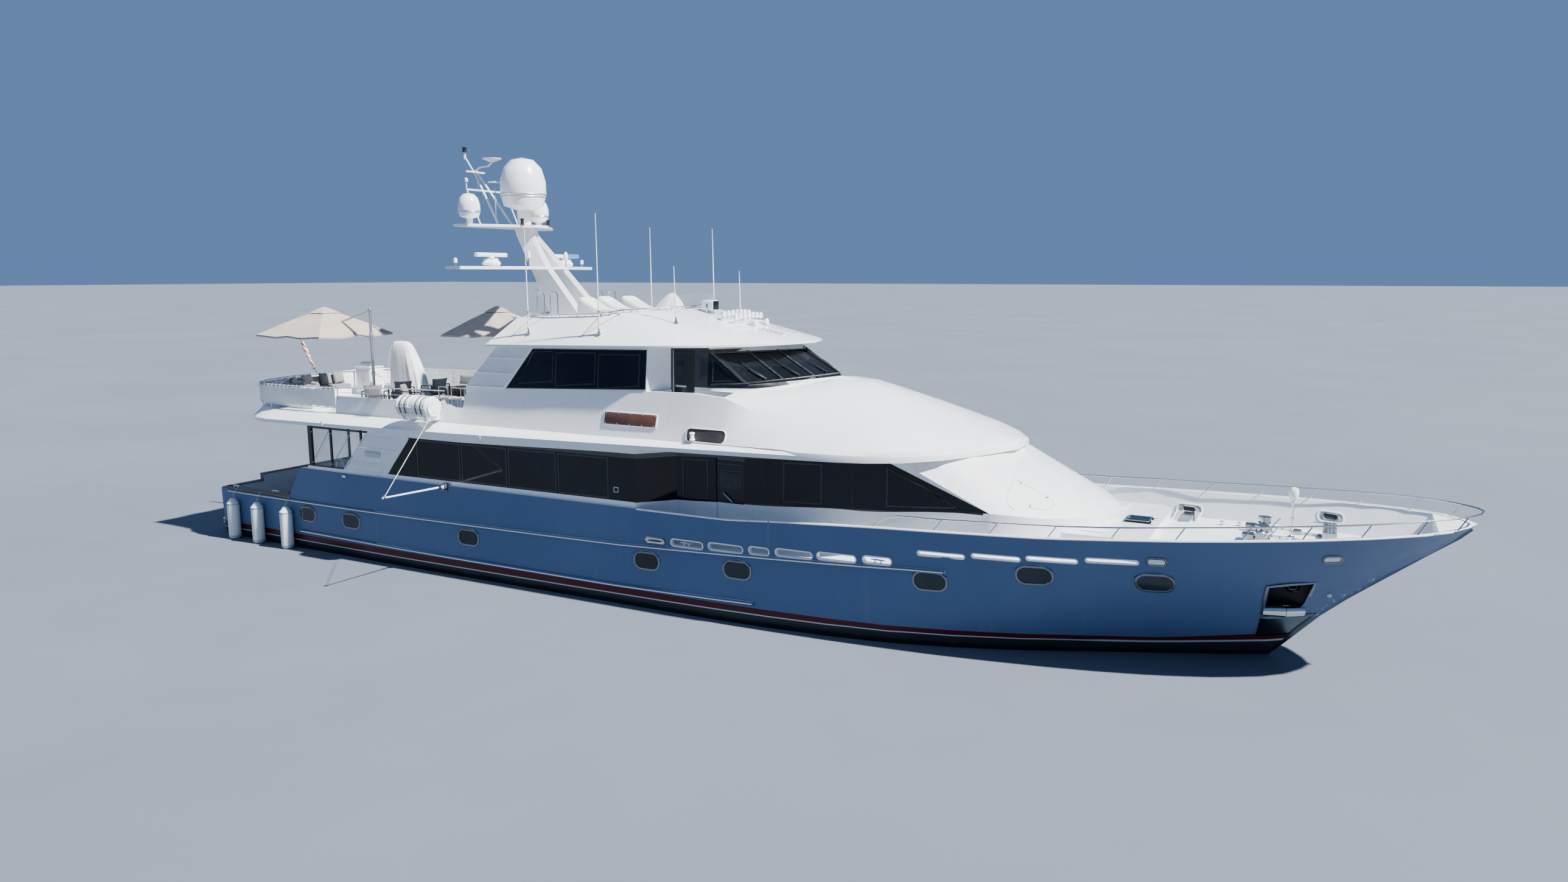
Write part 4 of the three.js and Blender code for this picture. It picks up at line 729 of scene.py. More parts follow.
def rail_on_hull(name, knots, half_height, depth, start, end):
    """A moulding of trapezium section along both topsides."""
    part = Build()
    for side in SIDES:
        rings = []
        for x in steps(start, end, int((end - start) / RAIL_STEP)):
            z = curve(knots, x)
            point = on_hull(x, z, side)
            shape = ((-0.012, -1), (depth * 0.6, -0.9), (depth, -0.45), (depth, 0.45), (depth * 0.6, 0.9),
                     (-0.012, 1))
            rings.append([Vector((x, point.y + side * out, z + up * half_height)) for out, up in shape])
        part.skin(rings)
    part.done(name, hull_paint)


RAIL_STEP = 0.5
UPPER_RUB = [(-17.36, 1.584), (-12.28, 1.602), (-8.76, 1.624), (-4.82, 1.661), (-1.87, 1.70), (3.5, 1.90),
             (6.28, 2.0), (7.28, 2.01)]
LOWER_RUB = [(-14.9, 0.60), (-8, 0.55), (-2, 0.53), (2.27, 0.60)]


def crown_on_rail(name, knots, start, end, depth):
    """The metal strip on the face of a rub rail, on the same stations as the rail."""
    part = Build()
    stations = steps(start, end, int((end - start) / RAIL_STEP))
    stations[0] += 0.03
    stations[-1] -= 0.03
    for side in SIDES:
        rings = []
        for x in stations:
            z = curve(knots, x)
            y = on_hull(x, z, side).y + side * depth
            shape = ((-0.008, -0.022), (0.010, -0.016), (0.014, 0), (0.010, 0.016), (-0.008, 0.022))
            rings.append([Vector((x, y + side * out, z + up)) for out, up in shape])
        part.skin(rings)
    part.done(name, steel)


def make_rub_rails():
    rail_on_hull("rub_rail_upper", UPPER_RUB, 0.052, 0.055, -18.6, 7.28)
    rail_on_hull("rub_rail_lower", LOWER_RUB, 0.055, 0.060, -14.9, 2.27)
    crown_on_rail("rub_rail_upper_crown", UPPER_RUB, -18.6, 7.28, 0.056)
    crown_on_rail("rub_rail_lower_crown", LOWER_RUB, -14.9, 2.27, 0.061)


PORTHOLES = [(-14.5, 1.20), (-12.4, 1.20), (-7.4, 1.25), (-1.0, 1.34), (1.8, 1.44), (6.9, 1.74), (9.3, 2.10),
             (11.86, 2.07)]
PORT_WIDTH = 0.76
PORT_HEIGHT = 0.42


def loop_on_hull(x, z, width, height, corner, side, lift, span=None, arc=5):
    return [on_hull(x + dx, z + dz, side, lift, span) for dx, dz in stadium(width, height, corner, arc)]


def hull_rim(part, place, size, corner, growth, side, loops, span=None, arc=5):
    """A moulding round a hole in the topsides; loops gives how far each line of it grows and lifts."""
    part.skin([loop_on_hull(*place, size[0] + grow, size[1] + grow, corner + grow * growth, side, lift, span,
                            arc) for grow, lift in loops], caps=False)


def make_portholes():
    rims, panes, lids = Build(), Build(), Build()
    corner = PORT_HEIGHT * 0.47
    for side in SIDES:
        for x, z in PORTHOLES:
            hull_rim(rims, (x, z), (PORT_WIDTH, PORT_HEIGHT), corner, 0.5, side,
                     ((0.10, 0.000), (0.09, 0.016), (0.03, 0.024), (0.0, 0.022), (-0.015, 0.004)))
            panes.face(loop_on_hull(x, z, PORT_WIDTH - 0.01, PORT_HEIGHT - 0.01, corner - 0.005, side, 0.006))
            lid = []
            for dx in steps(-0.42, 0.42, 10):
                drop = 0.16 * (abs(dx) / 0.42) ** 2.4
                top = on_hull(x + dx, z + 0.285 - drop, side)
                lid.append([top + Vector((0, side * out, up)) for out, up in (
                    (-0.01, 0.014), (0.030, 0.006), (0.036, -0.006), (-0.01, -0.014))])
            lids.skin(lid)
    # The porthole rims are polished steel drawn dark as painted shade.
    rims.done("porthole_rims", dark_steel_and_painted_shade)
    panes.done("porthole_panes", port_glass)
    lids.done("porthole_eyelids", hull_paint)


FREEING_PORTS = [(-0.2, 0.97, 1.87, 0.17), (0.96, 1.0, 1.905, 0.17), (2.92, 1.0, 1.975, 0.17),
                 (4.07, 1.0, 2.015, 0.17), (5.27, 0.70, 2.055, 0.17), (6.64, 1.09, 2.395, 0.095),
                 (7.92, 1.08, 2.45, 0.095), (9.16, 1.09, 2.50, 0.095), (10.45, 1.08, 2.56, 0.095)]
GATE_SLOT = (2.16, 0.56, 1.935, 0.175)


def make_port_liners():
    part = Build()
    for side in SIDES:
        for x0, width, z0, height in [*FREEING_PORTS, GATE_SLOT]:
            hull_rim(part, (x0 + width / 2, z0 + height / 2), (width, height), height * 0.46, 0.5, side,
                     ((0.06, -0.03), (0.06, 0.006), (0.04, 0.014), (-0.004, 0.014), (-0.012, 0.004),
                      (-0.012, -0.115), (0.06, -0.115), (0.06, -0.03)), (z0 - 0.06, z0 + height + 0.05), 4)
    part.weld(1e-5)
    part.done("freeing_port_liners", smooth_white)


FAIRLEADS = [(11.92, 2.66, 0.36, 0.15), (15.39, 2.87, 0.32, 0.15)]
MIDSHIP_LEAD = (-0.725, 1.93)


def cleat(part, x, y, foot, top, bar, spread, reach, thick):
    """A horned cleat: two posts from foot to top and a bar at its own height."""
    for dx in (-spread, spread):
        part.tube([(x + dx, y, foot), (x + dx, y, top)], thick, 8)
    part.tube([(x + dx, y, bar) for dx in (-reach, -0.1, 0, 0.1, reach)],
              [0.012, thick, thick + 0.004, thick, 0.012], 8)


def make_fairleads():
    rims, throats = Build(), Build()
    for side in SIDES:
        for x, z, width, height in FAIRLEADS:
            hull_rim(rims, (x, z), (width, height), height * 0.48, 0.48, side,
                     ((0.09, 0.0), (0.085, 0.018), (0.045, 0.032), (0.0, 0.022), (-0.015, 0.004)))
            throats.face(loop_on_hull(x, z, width - 0.01, height - 0.01, height * 0.45, side, 0.008))
        x, z = MIDSHIP_LEAD
        hull_rim(rims, (x, z), (0.60, 0.15), 0.072, 0.48, side,
                 ((0.07, 0.0), (0.065, 0.016), (0.03, 0.026), (0.0, 0.016), (-0.015, 0.003)))
        throats.face(loop_on_hull(x, z, 0.59, 0.14, 0.065, side, 0.007))
        for dx in (-0.12, 0.12):
            foot = on_hull(x + dx, z, side)
            rims.tube([foot, foot + Vector((0, side * 0.05, 0))], 0.022, 8)
        rims.tube([on_hull(x + dx, z, side, 0) + Vector((0, side * 0.055, 0))
                   for dx in (-0.23, -0.12, 0, 0.12, 0.23)], [0.012, 0.02, 0.024, 0.02, 0.012], 8)
    # The fairlead rims are polished steel drawn dark as painted shade.
    rims.done("fairlead_rims", dark_steel_and_painted_shade)
    throats.done("fairlead_throats", steel)


# Cleats that stand in two of the freeing ports

def make_port_cleats():
    part = Build()
    for side in SIDES:
        for x, z in ((5.62, 2.135), (0.25, 1.955)):
            y = on_hull(x, z - 0.15, side).y - side * 0.055
            cleat(part, x, y, z - 0.085, z, z + 0.008, 0.08, 0.19, 0.02)
    part.done("port_cleats", steel)


# Bow: polished plate round the anchor pocket, the stem strip and the hawse

def make_pocket_frame():
    part = Build()
    mouth = [(14.08, 1.30), (14.10, 1.45), (14.13, 1.64), (14.16, 1.85), (14.19, 2.06), (14.41, 2.08),
             (14.62, 2.10), (14.84, 2.12), (15.06, 2.14), (15.02, 1.99), (14.98, 1.85), (14.94, 1.70),
             (14.90, 1.56), (14.84, 1.445), (14.78, 1.33), (14.61, 1.321), (14.43, 1.314), (14.25, 1.307)]
    middle = Vector((14.58, 1.72))
    for side in SIDES:
        rows = []
        for grow, lift in ((0.012, 0.002), (0.016, 0.020), (0.075, 0.020), (0.085, 0.0)):
            ring = []
            for x, z in mouth:
                away = (Vector((x, z)) - middle).normalized()
                wide = Vector((x, z)) + away * (grow + 0.03)
                point = HULL_SKIN.side(wide.x, wide.y, side)
                ring.append(Vector((x + away.x * grow, point.y + side * lift, z + away.y * grow)))
            rows.append(ring)
        part.skin(rows, caps=False)
    # The pocket rims are polished steel drawn dark as painted shade.
    part.done("anchor_pocket_rims", dark_steel_and_painted_shade)


def make_scuff_plates():
    """Plates on the bow below each pocket that take the anchor's chafe."""
    part = Build()
    rows = 8
    for side in SIDES:
        grid = []
        for share in steps(0, 1, rows):
            stations = steps(13.93 + 0.10 * share, 14.60 + 0.56 * share, rows)
            grid.append([HULL_SKIN.side(x, 0.60 + 0.60 * share, side) + Vector((0, side * 0.012, -0.004))
                         for x in stations])
        part.skin(grid, closed=False, caps=False)
    part.weld(1e-4)
    # The plates' dark colour is a painted reflection.
    plate = part.done("anchor_scuff_plates", painted_reflection_steel)
    thick = plate.modifiers.new("thickness", "SOLIDIFY")
    thick.thickness = 0.02
    thick.offset = 0


def make_stem():
    part = Build()
    line = [(14.18, 0.02), (14.62, 0.48), (15.224, 1.143), (15.756, 1.622), (16.48, 2.21), (17.2, 2.79),
            (17.83, 3.28), (18.05, 3.50)]
    part.skin([[Vector((x + dx, y, z + dz)) for dx, y, dz in (
        (-0.05, 0.045, 0.03), (0.012, 0.025, -0.012), (0.022, 0, -0.022), (0.012, -0.025, -0.012),
        (-0.05, -0.045, 0.03))] for x, z in line])
    # The stem band's dark colour is a painted reflection.
    part.done("stem_band", painted_reflection_steel)
    lamps = Build()
    for side in SIDES:
        foot = HULL_SKIN.side(15.393, 1.764, side)
        lamps.lathe([(0.055, -0.01), (0.055, 0.03), (0.04, 0.045), (0.0, 0.05)], foot, (0, side, -0.2), 12)
    lamps.done("stem_lamps", lamp_lens)


# Hawse mouths high on the back of each pocket

def make_hawses():
    part = Build()
    for side in SIDES:
        part.lathe([(0.17, 0.0), (0.17, 0.03), (0.13, 0.055), (0.10, 0.035), (0.085, 0.0)],
                   (14.62, side * 0.421, 1.88), (0, side, 0), 18)
    part.done("hawse_mouths", steel)


# Wooden caps round the cockpit and white mouldings on the forward bulwarks

CAP_TOP = [(-19.0, 2.75), (1.5, 2.75), (3.1, 2.86), (5.6, 2.98), (9.6, 3.10), (12.3, 3.25), (14.8, 3.41),
           (16.9, 3.55), (18.14, 3.63)]


def edge_strip(part, points, profile):
    """Carries a profile of (across, up) along points, keeping it square to the path in plan."""
    rings = []
    points = [Vector(p) for p in points]
    for k, point in enumerate(points):
        before = points[max(k - 1, 0)]
        after = points[min(k + 1, len(points) - 1)]
        along = after - before
        across = Vector((along.y, -along.x, 0)).normalized()
        rings.append([point + across * out + Vector((0, 0, up)) for out, up in profile])
    part.skin(rings)


CAP_HALF = [(-19.0, 3.62), (-15.5, 3.80), (-10.0, 3.92), (0.0, 3.92), (2.0, 3.905), (4.0, 3.88), (5.5, 3.82),
            (7.0, 3.74), (8.3, 3.63), (9.6, 3.50), (11.0, 3.29), (12.3, 3.06), (13.6, 2.77), (14.8, 2.43),
            (16.0, 1.97), (17.0, 1.45), (17.7, 0.85), (17.98, 0.42)]
CAP_PROFILE = [(-0.11, -0.004), (0.09, -0.004), (0.10, 0.012), (0.09, 0.034), (-0.11, 0.034), (-0.12, 0.012)]
CAP_MOULDING = [(-0.035, -0.03), (0.035, -0.03), (0.045, -0.012), (0.035, 0.012), (-0.035, 0.012),
                (-0.045, -0.012)]


def cap_line(side, start, end, count):
    return [(x, side * (curve(CAP_HALF, x) - 0.030), curve(CAP_TOP, x)) for x in steps(start, end, count)]


def make_caps():
    wood, white = Build(), Build()
    wide = [(p * 1.9, z) for p, z in CAP_PROFILE]
    for side in SIDES:
        edge_strip(wood, [(x, side * (curve(CAP_HALF, x) - 0.12), 1.66) for x in steps(-18.96, -15.36, 8)],
                   wide)
        edge_strip(wood, [(-18.91, side * y, 1.66) for y in steps(2.18, 3.55, 4)], CAP_PROFILE)
        for start, end in ((-14.55, -11.6), (-1.3, 2.14), (2.74, 17.6)):
            edge_strip(white, cap_line(side, start, end, max(int((end - start) / 0.5), 6)), CAP_MOULDING)
    edge_strip(wood, [(-18.91, y, 1.88) for y in steps(-2.16, 2.16, 8)], CAP_PROFILE)
    wood.done("cockpit_caps", teak_plain)
    white.done("bulwark_cap_mouldings", smooth_white)
    for side, name in NAMED_SIDES:
        gate_cap = Build()
        edge_strip(gate_cap, cap_line(side, 2.155, 2.705, 3), CAP_MOULDING)
        gate_cap.done(f"boarding_gate_cap_{name}", smooth_white, f"boarding_gate_{name}")


# Window frames and door fittings of the main deck

HOUSE_SKIN = Surface("deckhouse", "saloon_glass_aft_starboard", "saloon_glass_aft_port",
                     "saloon_glass_fore_starboard", "saloon_glass_fore_port")


def side_outline(outline, side, lift, surface, grow=0.0):
    """Points of an (x, z) outline laid on a surface, optionally grown away from its middle."""
    middle = sum((Vector(p) for p in outline), Vector((0, 0))) / len(outline)
    points = []
    for x, z in outline:
        away = Vector((x, z)) - middle
        spot = Vector((x, z)) + Vector((math.copysign(grow, away.x), math.copysign(grow, away.y)))
        point = surface.side(spot.x, spot.y, side)
        points.append(Vector((spot.x, point.y + side * lift, spot.y)))
    return points


def picture_frame(part, outline, side, surface, width=0.055, proud=0.014):
    dense = along_knots(outline + outline[:1])
    part.skin([side_outline(dense, side, lift, surface, grow) for grow, lift in (
        (0.0, -0.004), (0.006, proud), (width - 0.006, proud), (width, -0.004))], caps=False)


def sill_z(x):
    return curve([(-11.0, 2.87), (-0.7, 2.90), (2.9, 3.07), (5.6, 3.22), (8.15, 3.41)], x)


def head_z(x):
    return curve([(-9.5, 4.08), (-0.6, 4.10), (2.9, 4.28), (5.6, 4.42)], x)


def make_saloon_frames():
    dark = Build()
    for side in SIDES:
        for x0, x1 in ((-9.35, -7.70), (-7.55, -5.90), (-5.75, -4.10), (-3.95, -2.30)):
            picture_frame(dark, [(x0, sill_z(x0) + 0.08), (x1, sill_z(x1) + 0.08), (x1, head_z(x1) - 0.08),
                                 (x0, head_z(x0) - 0.08)], side, HOUSE_SKIN)
        picture_frame(dark, [(-0.36, 3.02), (0.36, 3.05), (0.36, 4.04), (-0.36, 4.02)], side, HOUSE_SKIN)
        picture_frame(dark, [(2.72, 3.20), (3.74, 3.24), (3.74, 4.20), (2.72, 4.16)], side, HOUSE_SKIN)
        picture_frame(dark, [(5.58, 3.36), (7.36, 3.50), (5.58, 4.26)], side, HOUSE_SKIN, 0.05)
        for x in (2.05, 4.62):
            picture_frame(dark, [(x - 0.006, sill_z(x) + 0.04), (x + 0.006, sill_z(x) + 0.04),
                                 (x + 0.006, head_z(x) - 0.04), (x - 0.006, head_z(x) - 0.04)], side,
                          HOUSE_SKIN, 0.02, 0.01)
    dark.done("saloon_window_frames", black_paint)


def make_door_fittings():
    for side, name in NAMED_SIDES:
        door, pilot_door = f"side_door_{name}", f"pilothouse_door_{name}"
        pane = Build().at_side(side, (0.80, 1.37), (2.951, 2.957), (3.40, 3.81), 0.002)
        pane.done(f"side_door_pane_{name}", port_glass, door)
        deep = (side * 2.949, side * 2.961)
        trim = Build().bars((0.76, 1.41), deep, (3.36, 3.85), 0.04)
        trim.at_side(side, (0.70, 1.46), (2.949, 2.961), (2.10, 2.16))
        trim.at_side(side, (0.70, 1.46), (2.949, 2.961), (3.98, 4.03))
        trim.done(f"side_door_trim_{name}", black_paint, door, bevel=0.004)
        handle = Build()
        start, end = Vector((0.88, side * 3.005, 3.22)), Vector((1.16, side * 3.005, 3.00))
        handle.tube([start.lerp(end, share) for share in (0, 0.3, 0.7, 1)], [0.016, 0.021, 0.021, 0.016], 8)
        for share in (0.12, 0.88):
            foot = start.lerp(end, share)
            handle.tube([foot, foot - Vector((0, side * 0.056, 0))], 0.014, 8)
        handle.done(f"side_door_handle_{name}", steel, door)
        pane = Build().at_side(side, (-0.90, -0.68), (2.436, 2.446), (6.24, 6.66), 0.004)
        pane.done(f"pilothouse_door_pane_{name}", port_glass, pilot_door)
        lever = Build().at_side(side, (-0.95, -0.60), (2.437, 2.447), (5.935, 5.985), 0.004)
        lever.tube([(-0.66, side * 2.447, 5.96), (-0.66, side * 2.478, 5.96), (-0.72, side * 2.486, 5.96),
                    (-0.86, side * 2.482, 5.955)], 0.010, 8)
        lever.done(f"pilothouse_door_handle_{name}", steel, pilot_door)
        trim = Build().bars((-0.96, -0.35), (side * 2.437, side * 2.445), (5.05, 6.89), 0.03)
        trim.done(f"pilothouse_door_trim_{name}", black_paint, pilot_door, bevel=0.002)


def slats(part, side, edges, levels, surface, proud=0.030):
    """Overlapping boards: edges gives the aft and fore x of the panel at a height."""
    for z0, z1 in zip(levels, levels[1:]):
        rows = []
        for z, out in ((z0 + 0.006, -0.004), (z0 + 0.006, proud), (z0 + 0.03, proud), (z1 - 0.004, 0.006),
                       (z1 - 0.004, -0.004)):
            aft, fore = edges(z)
            row = []
            for x in steps(aft + 0.03, fore - 0.03, 3):
                y = surface.side(x, min(max(z, levels[0] + 0.02), levels[-1] - 0.02), side).y
                row.append(Vector((x, y + side * out, z)))
            rows.append(row)
        part.skin([list(ring) for ring in zip(*rows)])
        part.tube([point + Vector((0, side * 0.004, 0.012)) for point in rows[1]], 0.016, 8)


def make_louvres():
    part = Build()
    for side in SIDES:
        slats(part, side, lambda z: (-12.58 + (z - 2.84) * 0.857, -10.98 + (z - 2.84) * 0.82),
              [2.86, 3.15, 3.62, 4.04], HOUSE_SKIN, 0.05)
        slats(part, side, lambda z: (-8.02 + (z - 5.65) * 0.93 if z < 6.05 else -7.62 + (z - 6.05) * 0.93,
                                     -6.50 + (z - 5.65) * 0.80), [5.68, 6.10, 6.55, 6.90], upper, 0.05)
    part.done("louvre_panels", smooth_white, bevel=0.004)
    edge = Build()
    for side in SIDES:
        y = side * 3.853
        edge.tube([(-10.74, y, 2.86), (-10.30, y, 3.36), (-9.80, y, 3.95), (-9.72, y, 4.06)], 0.022, 8)
        edge.tube([(-12.60, y, 2.86), (-12.10, y, 3.44), (-11.56, y, 4.06)], 0.018, 8)
    edge.done("louvre_edge_beads", smooth_white)
    plate = Build()
    for side in SIDES:
        plate.at_side(side, (-11.61, -10.96), (3.868, 3.886), (3.36, 3.53), 0.012)
    plate.done("builder_plates", dull_steel)
    vent, lamp = Build(), Build()
    for side in SIDES:
        for across, high in (((-2.09, -2.07), (3.12, 3.27)), ((-1.95, -1.93), (3.12, 3.27)),
                             ((-2.07, -1.95), (3.12, 3.14)), ((-2.07, -1.95), (3.25, 3.27))):
            vent.at_side(side, across, (3.836, 3.852), high)
        for x in (-13.5, -6.84):
            lamp.at_side(side, (x - 0.035, x + 0.035), (3.857, 3.874), (4.20, 4.345), 0.004)
    vent.done("side_vents", dull_steel, bevel=0.002)
    lamp.done("deck_edge_lamps", smooth_white)


# Glazed enclosure round the aft deck

def make_enclosure():
    dark, screens, braces = Build(), Build(), Build()
    for side in SIDES:
        for across, high in (((-13.235, -13.165), (2.852, 4.14)), ((-11.865, -11.795), (2.852, 4.16)),
                             ((-14.06, -12.60), (2.852, 2.895)), ((-14.06, -11.45), (4.09, 4.150))):
            dark.at_side(side, across, (3.765, 3.825), high)
        y = side * 3.795
        for x0, x1 in ((-14.05, -13.25), (-13.15, -12.62)):
            screens.slab([(x0, y, 2.90), (x1, y, 2.90), (x1, y, 4.09), (x0, y, 4.09)], (0, 0.006, 0))
        screens.slab([(-12.58, y, 2.90), (-11.87, y, 3.72), (-11.87, y, 4.09), (-12.58, y, 4.09)],
                     (0, 0.006, 0))
        for x0, x1 in ((-14.02, -13.3), (-13.1, -12.3)):
            braces.tube([(x0, side * 3.77, 3.1), (x1, side * 3.77, 4.05)], 0.012, 6)
        for z in (2.98, 3.97):
            for x in (-14.06, -13.24, -13.16):
                braces.tube([(x, side * 3.83, z), (x + 0.05, side * 3.838, z)], 0.012, 6)
        a, b = sorted((side * 3.745, side * 2.33))
        screens.slab([(-14.15, a, 2.80), (-14.15, b, 2.80), (-14.15, b, 4.06), (-14.15, a, 4.06)],
                     (0.006, 0, 0))
    dark.box((-14.19, -3.75, 4.06), (-14.11, 3.75, 4.150))
    for y in (-2.3, 2.3):
        dark.box((-14.185, y - 0.03, 2.76), (-14.115, y + 0.03, 4.06))
    dark.done("enclosure_frames", black_paint, bevel=0.006)
    screens.done("enclosure_screens", clear)
    braces.done("enclosure_braces", steel)


# Furniture of the aft deck and the cockpit

def turned(centre, heading, tilt, axis):
    return Matrix.Translation(centre) @ Matrix.Rotation(heading, 4, "Z") @ Matrix.Rotation(tilt, 4, axis)


def padded_piece(part, name, place, material, smooth):
    bmesh.ops.transform(part.bm, matrix=place, verts=part.bm.verts)
    part.done(name, material, smooth=smooth)


def cushion(name, centre, size, heading=0.0, tilt=0.0, crown=0.035, material=None):
    """A box cushion with crowned faces, sides drawn in between the corners and a welt round each edge."""
    part = Build()
    length, width, height = size
    corner = min(length, width) * 0.12
    profile = [(0.02, -0.5, 0.5), (0.5, -0.5, 0.45), (0.85, -0.5, 0.2), (0.965, -0.5, 0.0),
               (0.995, -0.47, 0.0), (1.012, -0.43, 0), (0.995, -0.38, 0), (1.004, 0.0, 0), (0.995, 0.38, 0),
               (1.012, 0.43, 0), (0.995, 0.47, 0), (0.965, 0.5, 0.0), (0.85, 0.5, 0.45), (0.5, 0.5, 0.85),
               (0.02, 0.5, 1.0)]
    rings = []
    for share, level, lift in profile:
        ring = []
        for across, up in stadium(length * share, width * share, corner * share, 4):
            u, v = across / (length / 2), up / (width / 2)
            squeeze = 1 - 0.02 * share * (1 - min(abs(u), abs(v)) ** 2)
            z = level * height + math.copysign(crown * lift, level)
            ring.append(Vector((across * squeeze, up * squeeze, z)))
        rings.append(ring)
    part.skin(rings)
    padded_piece(part, name, turned(centre, heading, tilt, "Y"), material or grey_cloth, 60)


def pillow(name, centre, size, heading, tilt, material=None):
    """A scatter cushion: two crowned faces that meet at a seam."""
    part = Build()
    width, height, depth = size
    for face in (1, -1):
        rows = []
        for u in steps(-1, 1, 10):
            row = []
            for v in steps(-1, 1, 10):
                swell = max((1 - u ** 4) * (1 - v ** 4), 0) ** 0.55
                crease = 0.04 * math.sin(5 * u + 2 * v) * swell * (1 - swell)
                row.append(Vector((face * depth / 2 * swell + crease * depth,
                                   u * width / 2 * (1 - 0.09 * (1 - v * v) * abs(u) ** 3),
                                   v * height / 2 * (1 - 0.09 * (1 - u * u) * abs(v) ** 3))))
            rows.append(row)
        part.skin(rows, closed=False, caps=False)
    part.weld(1e-5)
    padded_piece(part, name, turned(centre, heading, tilt, "Y"), material or grey_cloth, 70)


def make_aft_deck_furniture():
    base = Build()
    base.block((-14.60, -1.9, AFT_DECK), (-13.95, 1.9, 2.22), 0.02)
    base.block((-14.62, -1.9, 2.20), (-14.42, 1.9, 2.62), 0.03)
    base.done("aft_deck_bench_base", smooth_white)
    for k, y in enumerate((-1.27, 0.0, 1.27)):
        cushion(f"aft_deck_seat_cushion_{k + 1}", (-14.12, y, 2.29), (0.60, 1.24, 0.13))
        cushion(f"aft_deck_back_cushion_{k + 1}", (-14.375, y, 2.56), (0.36, 1.22, 0.12), 0.0,
                math.radians(-82))
    table = Build()
    table.block((-13.45, -0.95, 2.555), (-12.35, 0.95, 2.60), 0.018)
    table.done("aft_deck_table_top", teak_plain)
    legs = Build()
    for y in (-0.5, 0.5):
        legs.lathe([(0.20, 0.0), (0.20, 0.02), (0.05, 0.05), (0.045, 0.35), (0.06, 0.66), (0.16, 0.70)],
                   (-12.9, y, AFT_DECK))
    legs.done("aft_deck_table_legs", steel)


def make_cockpit_gear():
    part, treads, metal, hatch = Build(), Build(), Build(), Build()
    for side in SIDES:
        part.at_side(side, (-18.60, -16.9), (2.55, 3.38), (COCKPIT_SOLE, 1.30), 0.03)
        for k in range(4):
            top = COCKPIT_SOLE + 0.275 * (k + 1)
            start = -15.62 - 0.30 * (3 - k)
            part.at_side(side, (start, -15.26), (1.95, 3.30), (COCKPIT_SOLE, top), 0.015)
            treads.at_side(side, (start + 0.02, min(start + 0.30, -15.28)), (2.0, 3.25),
                           (top + 0.001, top + 0.02), 0.006)
        for x in (-18.3, -16.3):
            cleat(metal, x, side * 3.62, 1.69, 1.76, 1.775, 0.09, 0.2, 0.022)
        metal.tube([(x, side * 1.90, z) for x, z in ((-15.30, 1.86), (-15.30, 2.55), (-15.25, 2.66),
                                                     (-15.14, 2.70), (-15.02, 2.66), (-14.97, 2.55),
                                                     (-14.97, 1.86))], 0.02, 8)
        hatch.block((-17.2, side * 1.2 - 0.45, COCKPIT_SOLE), (-16.3, side * 1.2 + 0.45, 0.765), 0.004)
    part.block((-18.40, -0.55, COCKPIT_SOLE), (-17.35, 0.55, 1.42), 0.05)
    part.done("cockpit_lockers_and_steps", smooth_white)
    treads.done("cockpit_step_treads", teak_seamed)
    metal.done("cockpit_cleats_and_handrails", steel)
    hatch.done("cockpit_sole_hatches", smooth_white)


def make_transom():
    doors, metal, deck, strip = Build(), Build(), Build(), Build()
    for side in SIDES:
        doors.at_side(side, (-19.02, -19.0), (2.45, 3.2), (0.62, 1.50), 0.008)
        y = side * 2.35
        metal.tube([(-19.04, y, 0.75), (-19.09, y, 0.78), (-19.09, y, 1.38), (-19.04, y, 1.41)], 0.016, 8)
        metal.tube([(-19.85, side * y, z) for y, z in ((1.2, 0.425), (1.2, 0.47), (1.0, 0.49), (0.8, 0.47),
                                                       (0.8, 0.425))], 0.014, 8)
    plan = [(-19.06, 3.2), (-19.68, 3.12), (-19.84, 2.84)]
    deck.slab([(x, -y, 0.42) for x, y in plan] + [(x, y, 0.42) for x, y in plan[::-1]], (0, 0, 0.012))
    edge = [(-19.02, 3.36), (-19.70, 3.26), (-19.905, 2.90)]
    strip.tube([(x, -y, 0.34) for x, y in edge] + [(x, y, 0.34) for x, y in edge[::-1]], 0.022, 8)
    doors.done("transom_door_outlines", hull_paint)
    metal.done("transom_grab_rails", steel)
    deck.done("swim_platform_planks", teak_seamed)
    strip.done("swim_platform_rubbing_strip", rubber_and_painted_shade)


# Trunk forward of the deckhouse: hatch outline with hinges

def make_trunk_details():
    part, metal = Build(), Build()
    for side in SIDES:
        ring = [house.top(x, side * y) for x, y in (
            (8.37, 1.90), (8.39, 2.25), (8.42, 2.55), (8.47, 2.66), (8.65, 2.69), (8.96, 2.44), (9.26, 2.21),
            (9.37, 2.05), (9.40, 1.86), (9.34, 1.73), (9.20, 1.70), (8.90, 1.73), (8.58, 1.78), (8.42, 1.80))]
        middle, out = sum(ring, Vector()) / len(ring), Vector((0.42, side * 0.4, 0.8))
        part.skin([[p + (middle - p) * shrink + out * lift for p in ring] for shrink,
                   lift in ((0.0, -0.01), (0.004, 0.007), (0.022, 0.007), (0.026, -0.01))], caps=False)
        for x, y in ((8.58, 1.83), (9.21, 1.77), (8.96, 2.38)):
            point = house.top(x, side * y)
            metal.lathe([(0.04, -0.01), (0.04, 0.015), (0.025, 0.026), (0.0, 0.028)], point,
                        (0.45, side * 0.22, 0.87), 10)
    part.done("trunk_hatch_seams", seam_and_niche_shade_grey)
    metal.done("trunk_hatch_hinges", steel)


# Upper house: nameplate, side light recess, glass frames and screen wipers

UPPER_SKIN = Surface("upper_house", "lounge_glass_starboard", "lounge_glass_port", "windscreen")


def on_upper(x, z, side, lift=0.0):
    point = UPPER_SKIN.side(x, z, side)
    return Vector((x, point.y + side * lift, z))


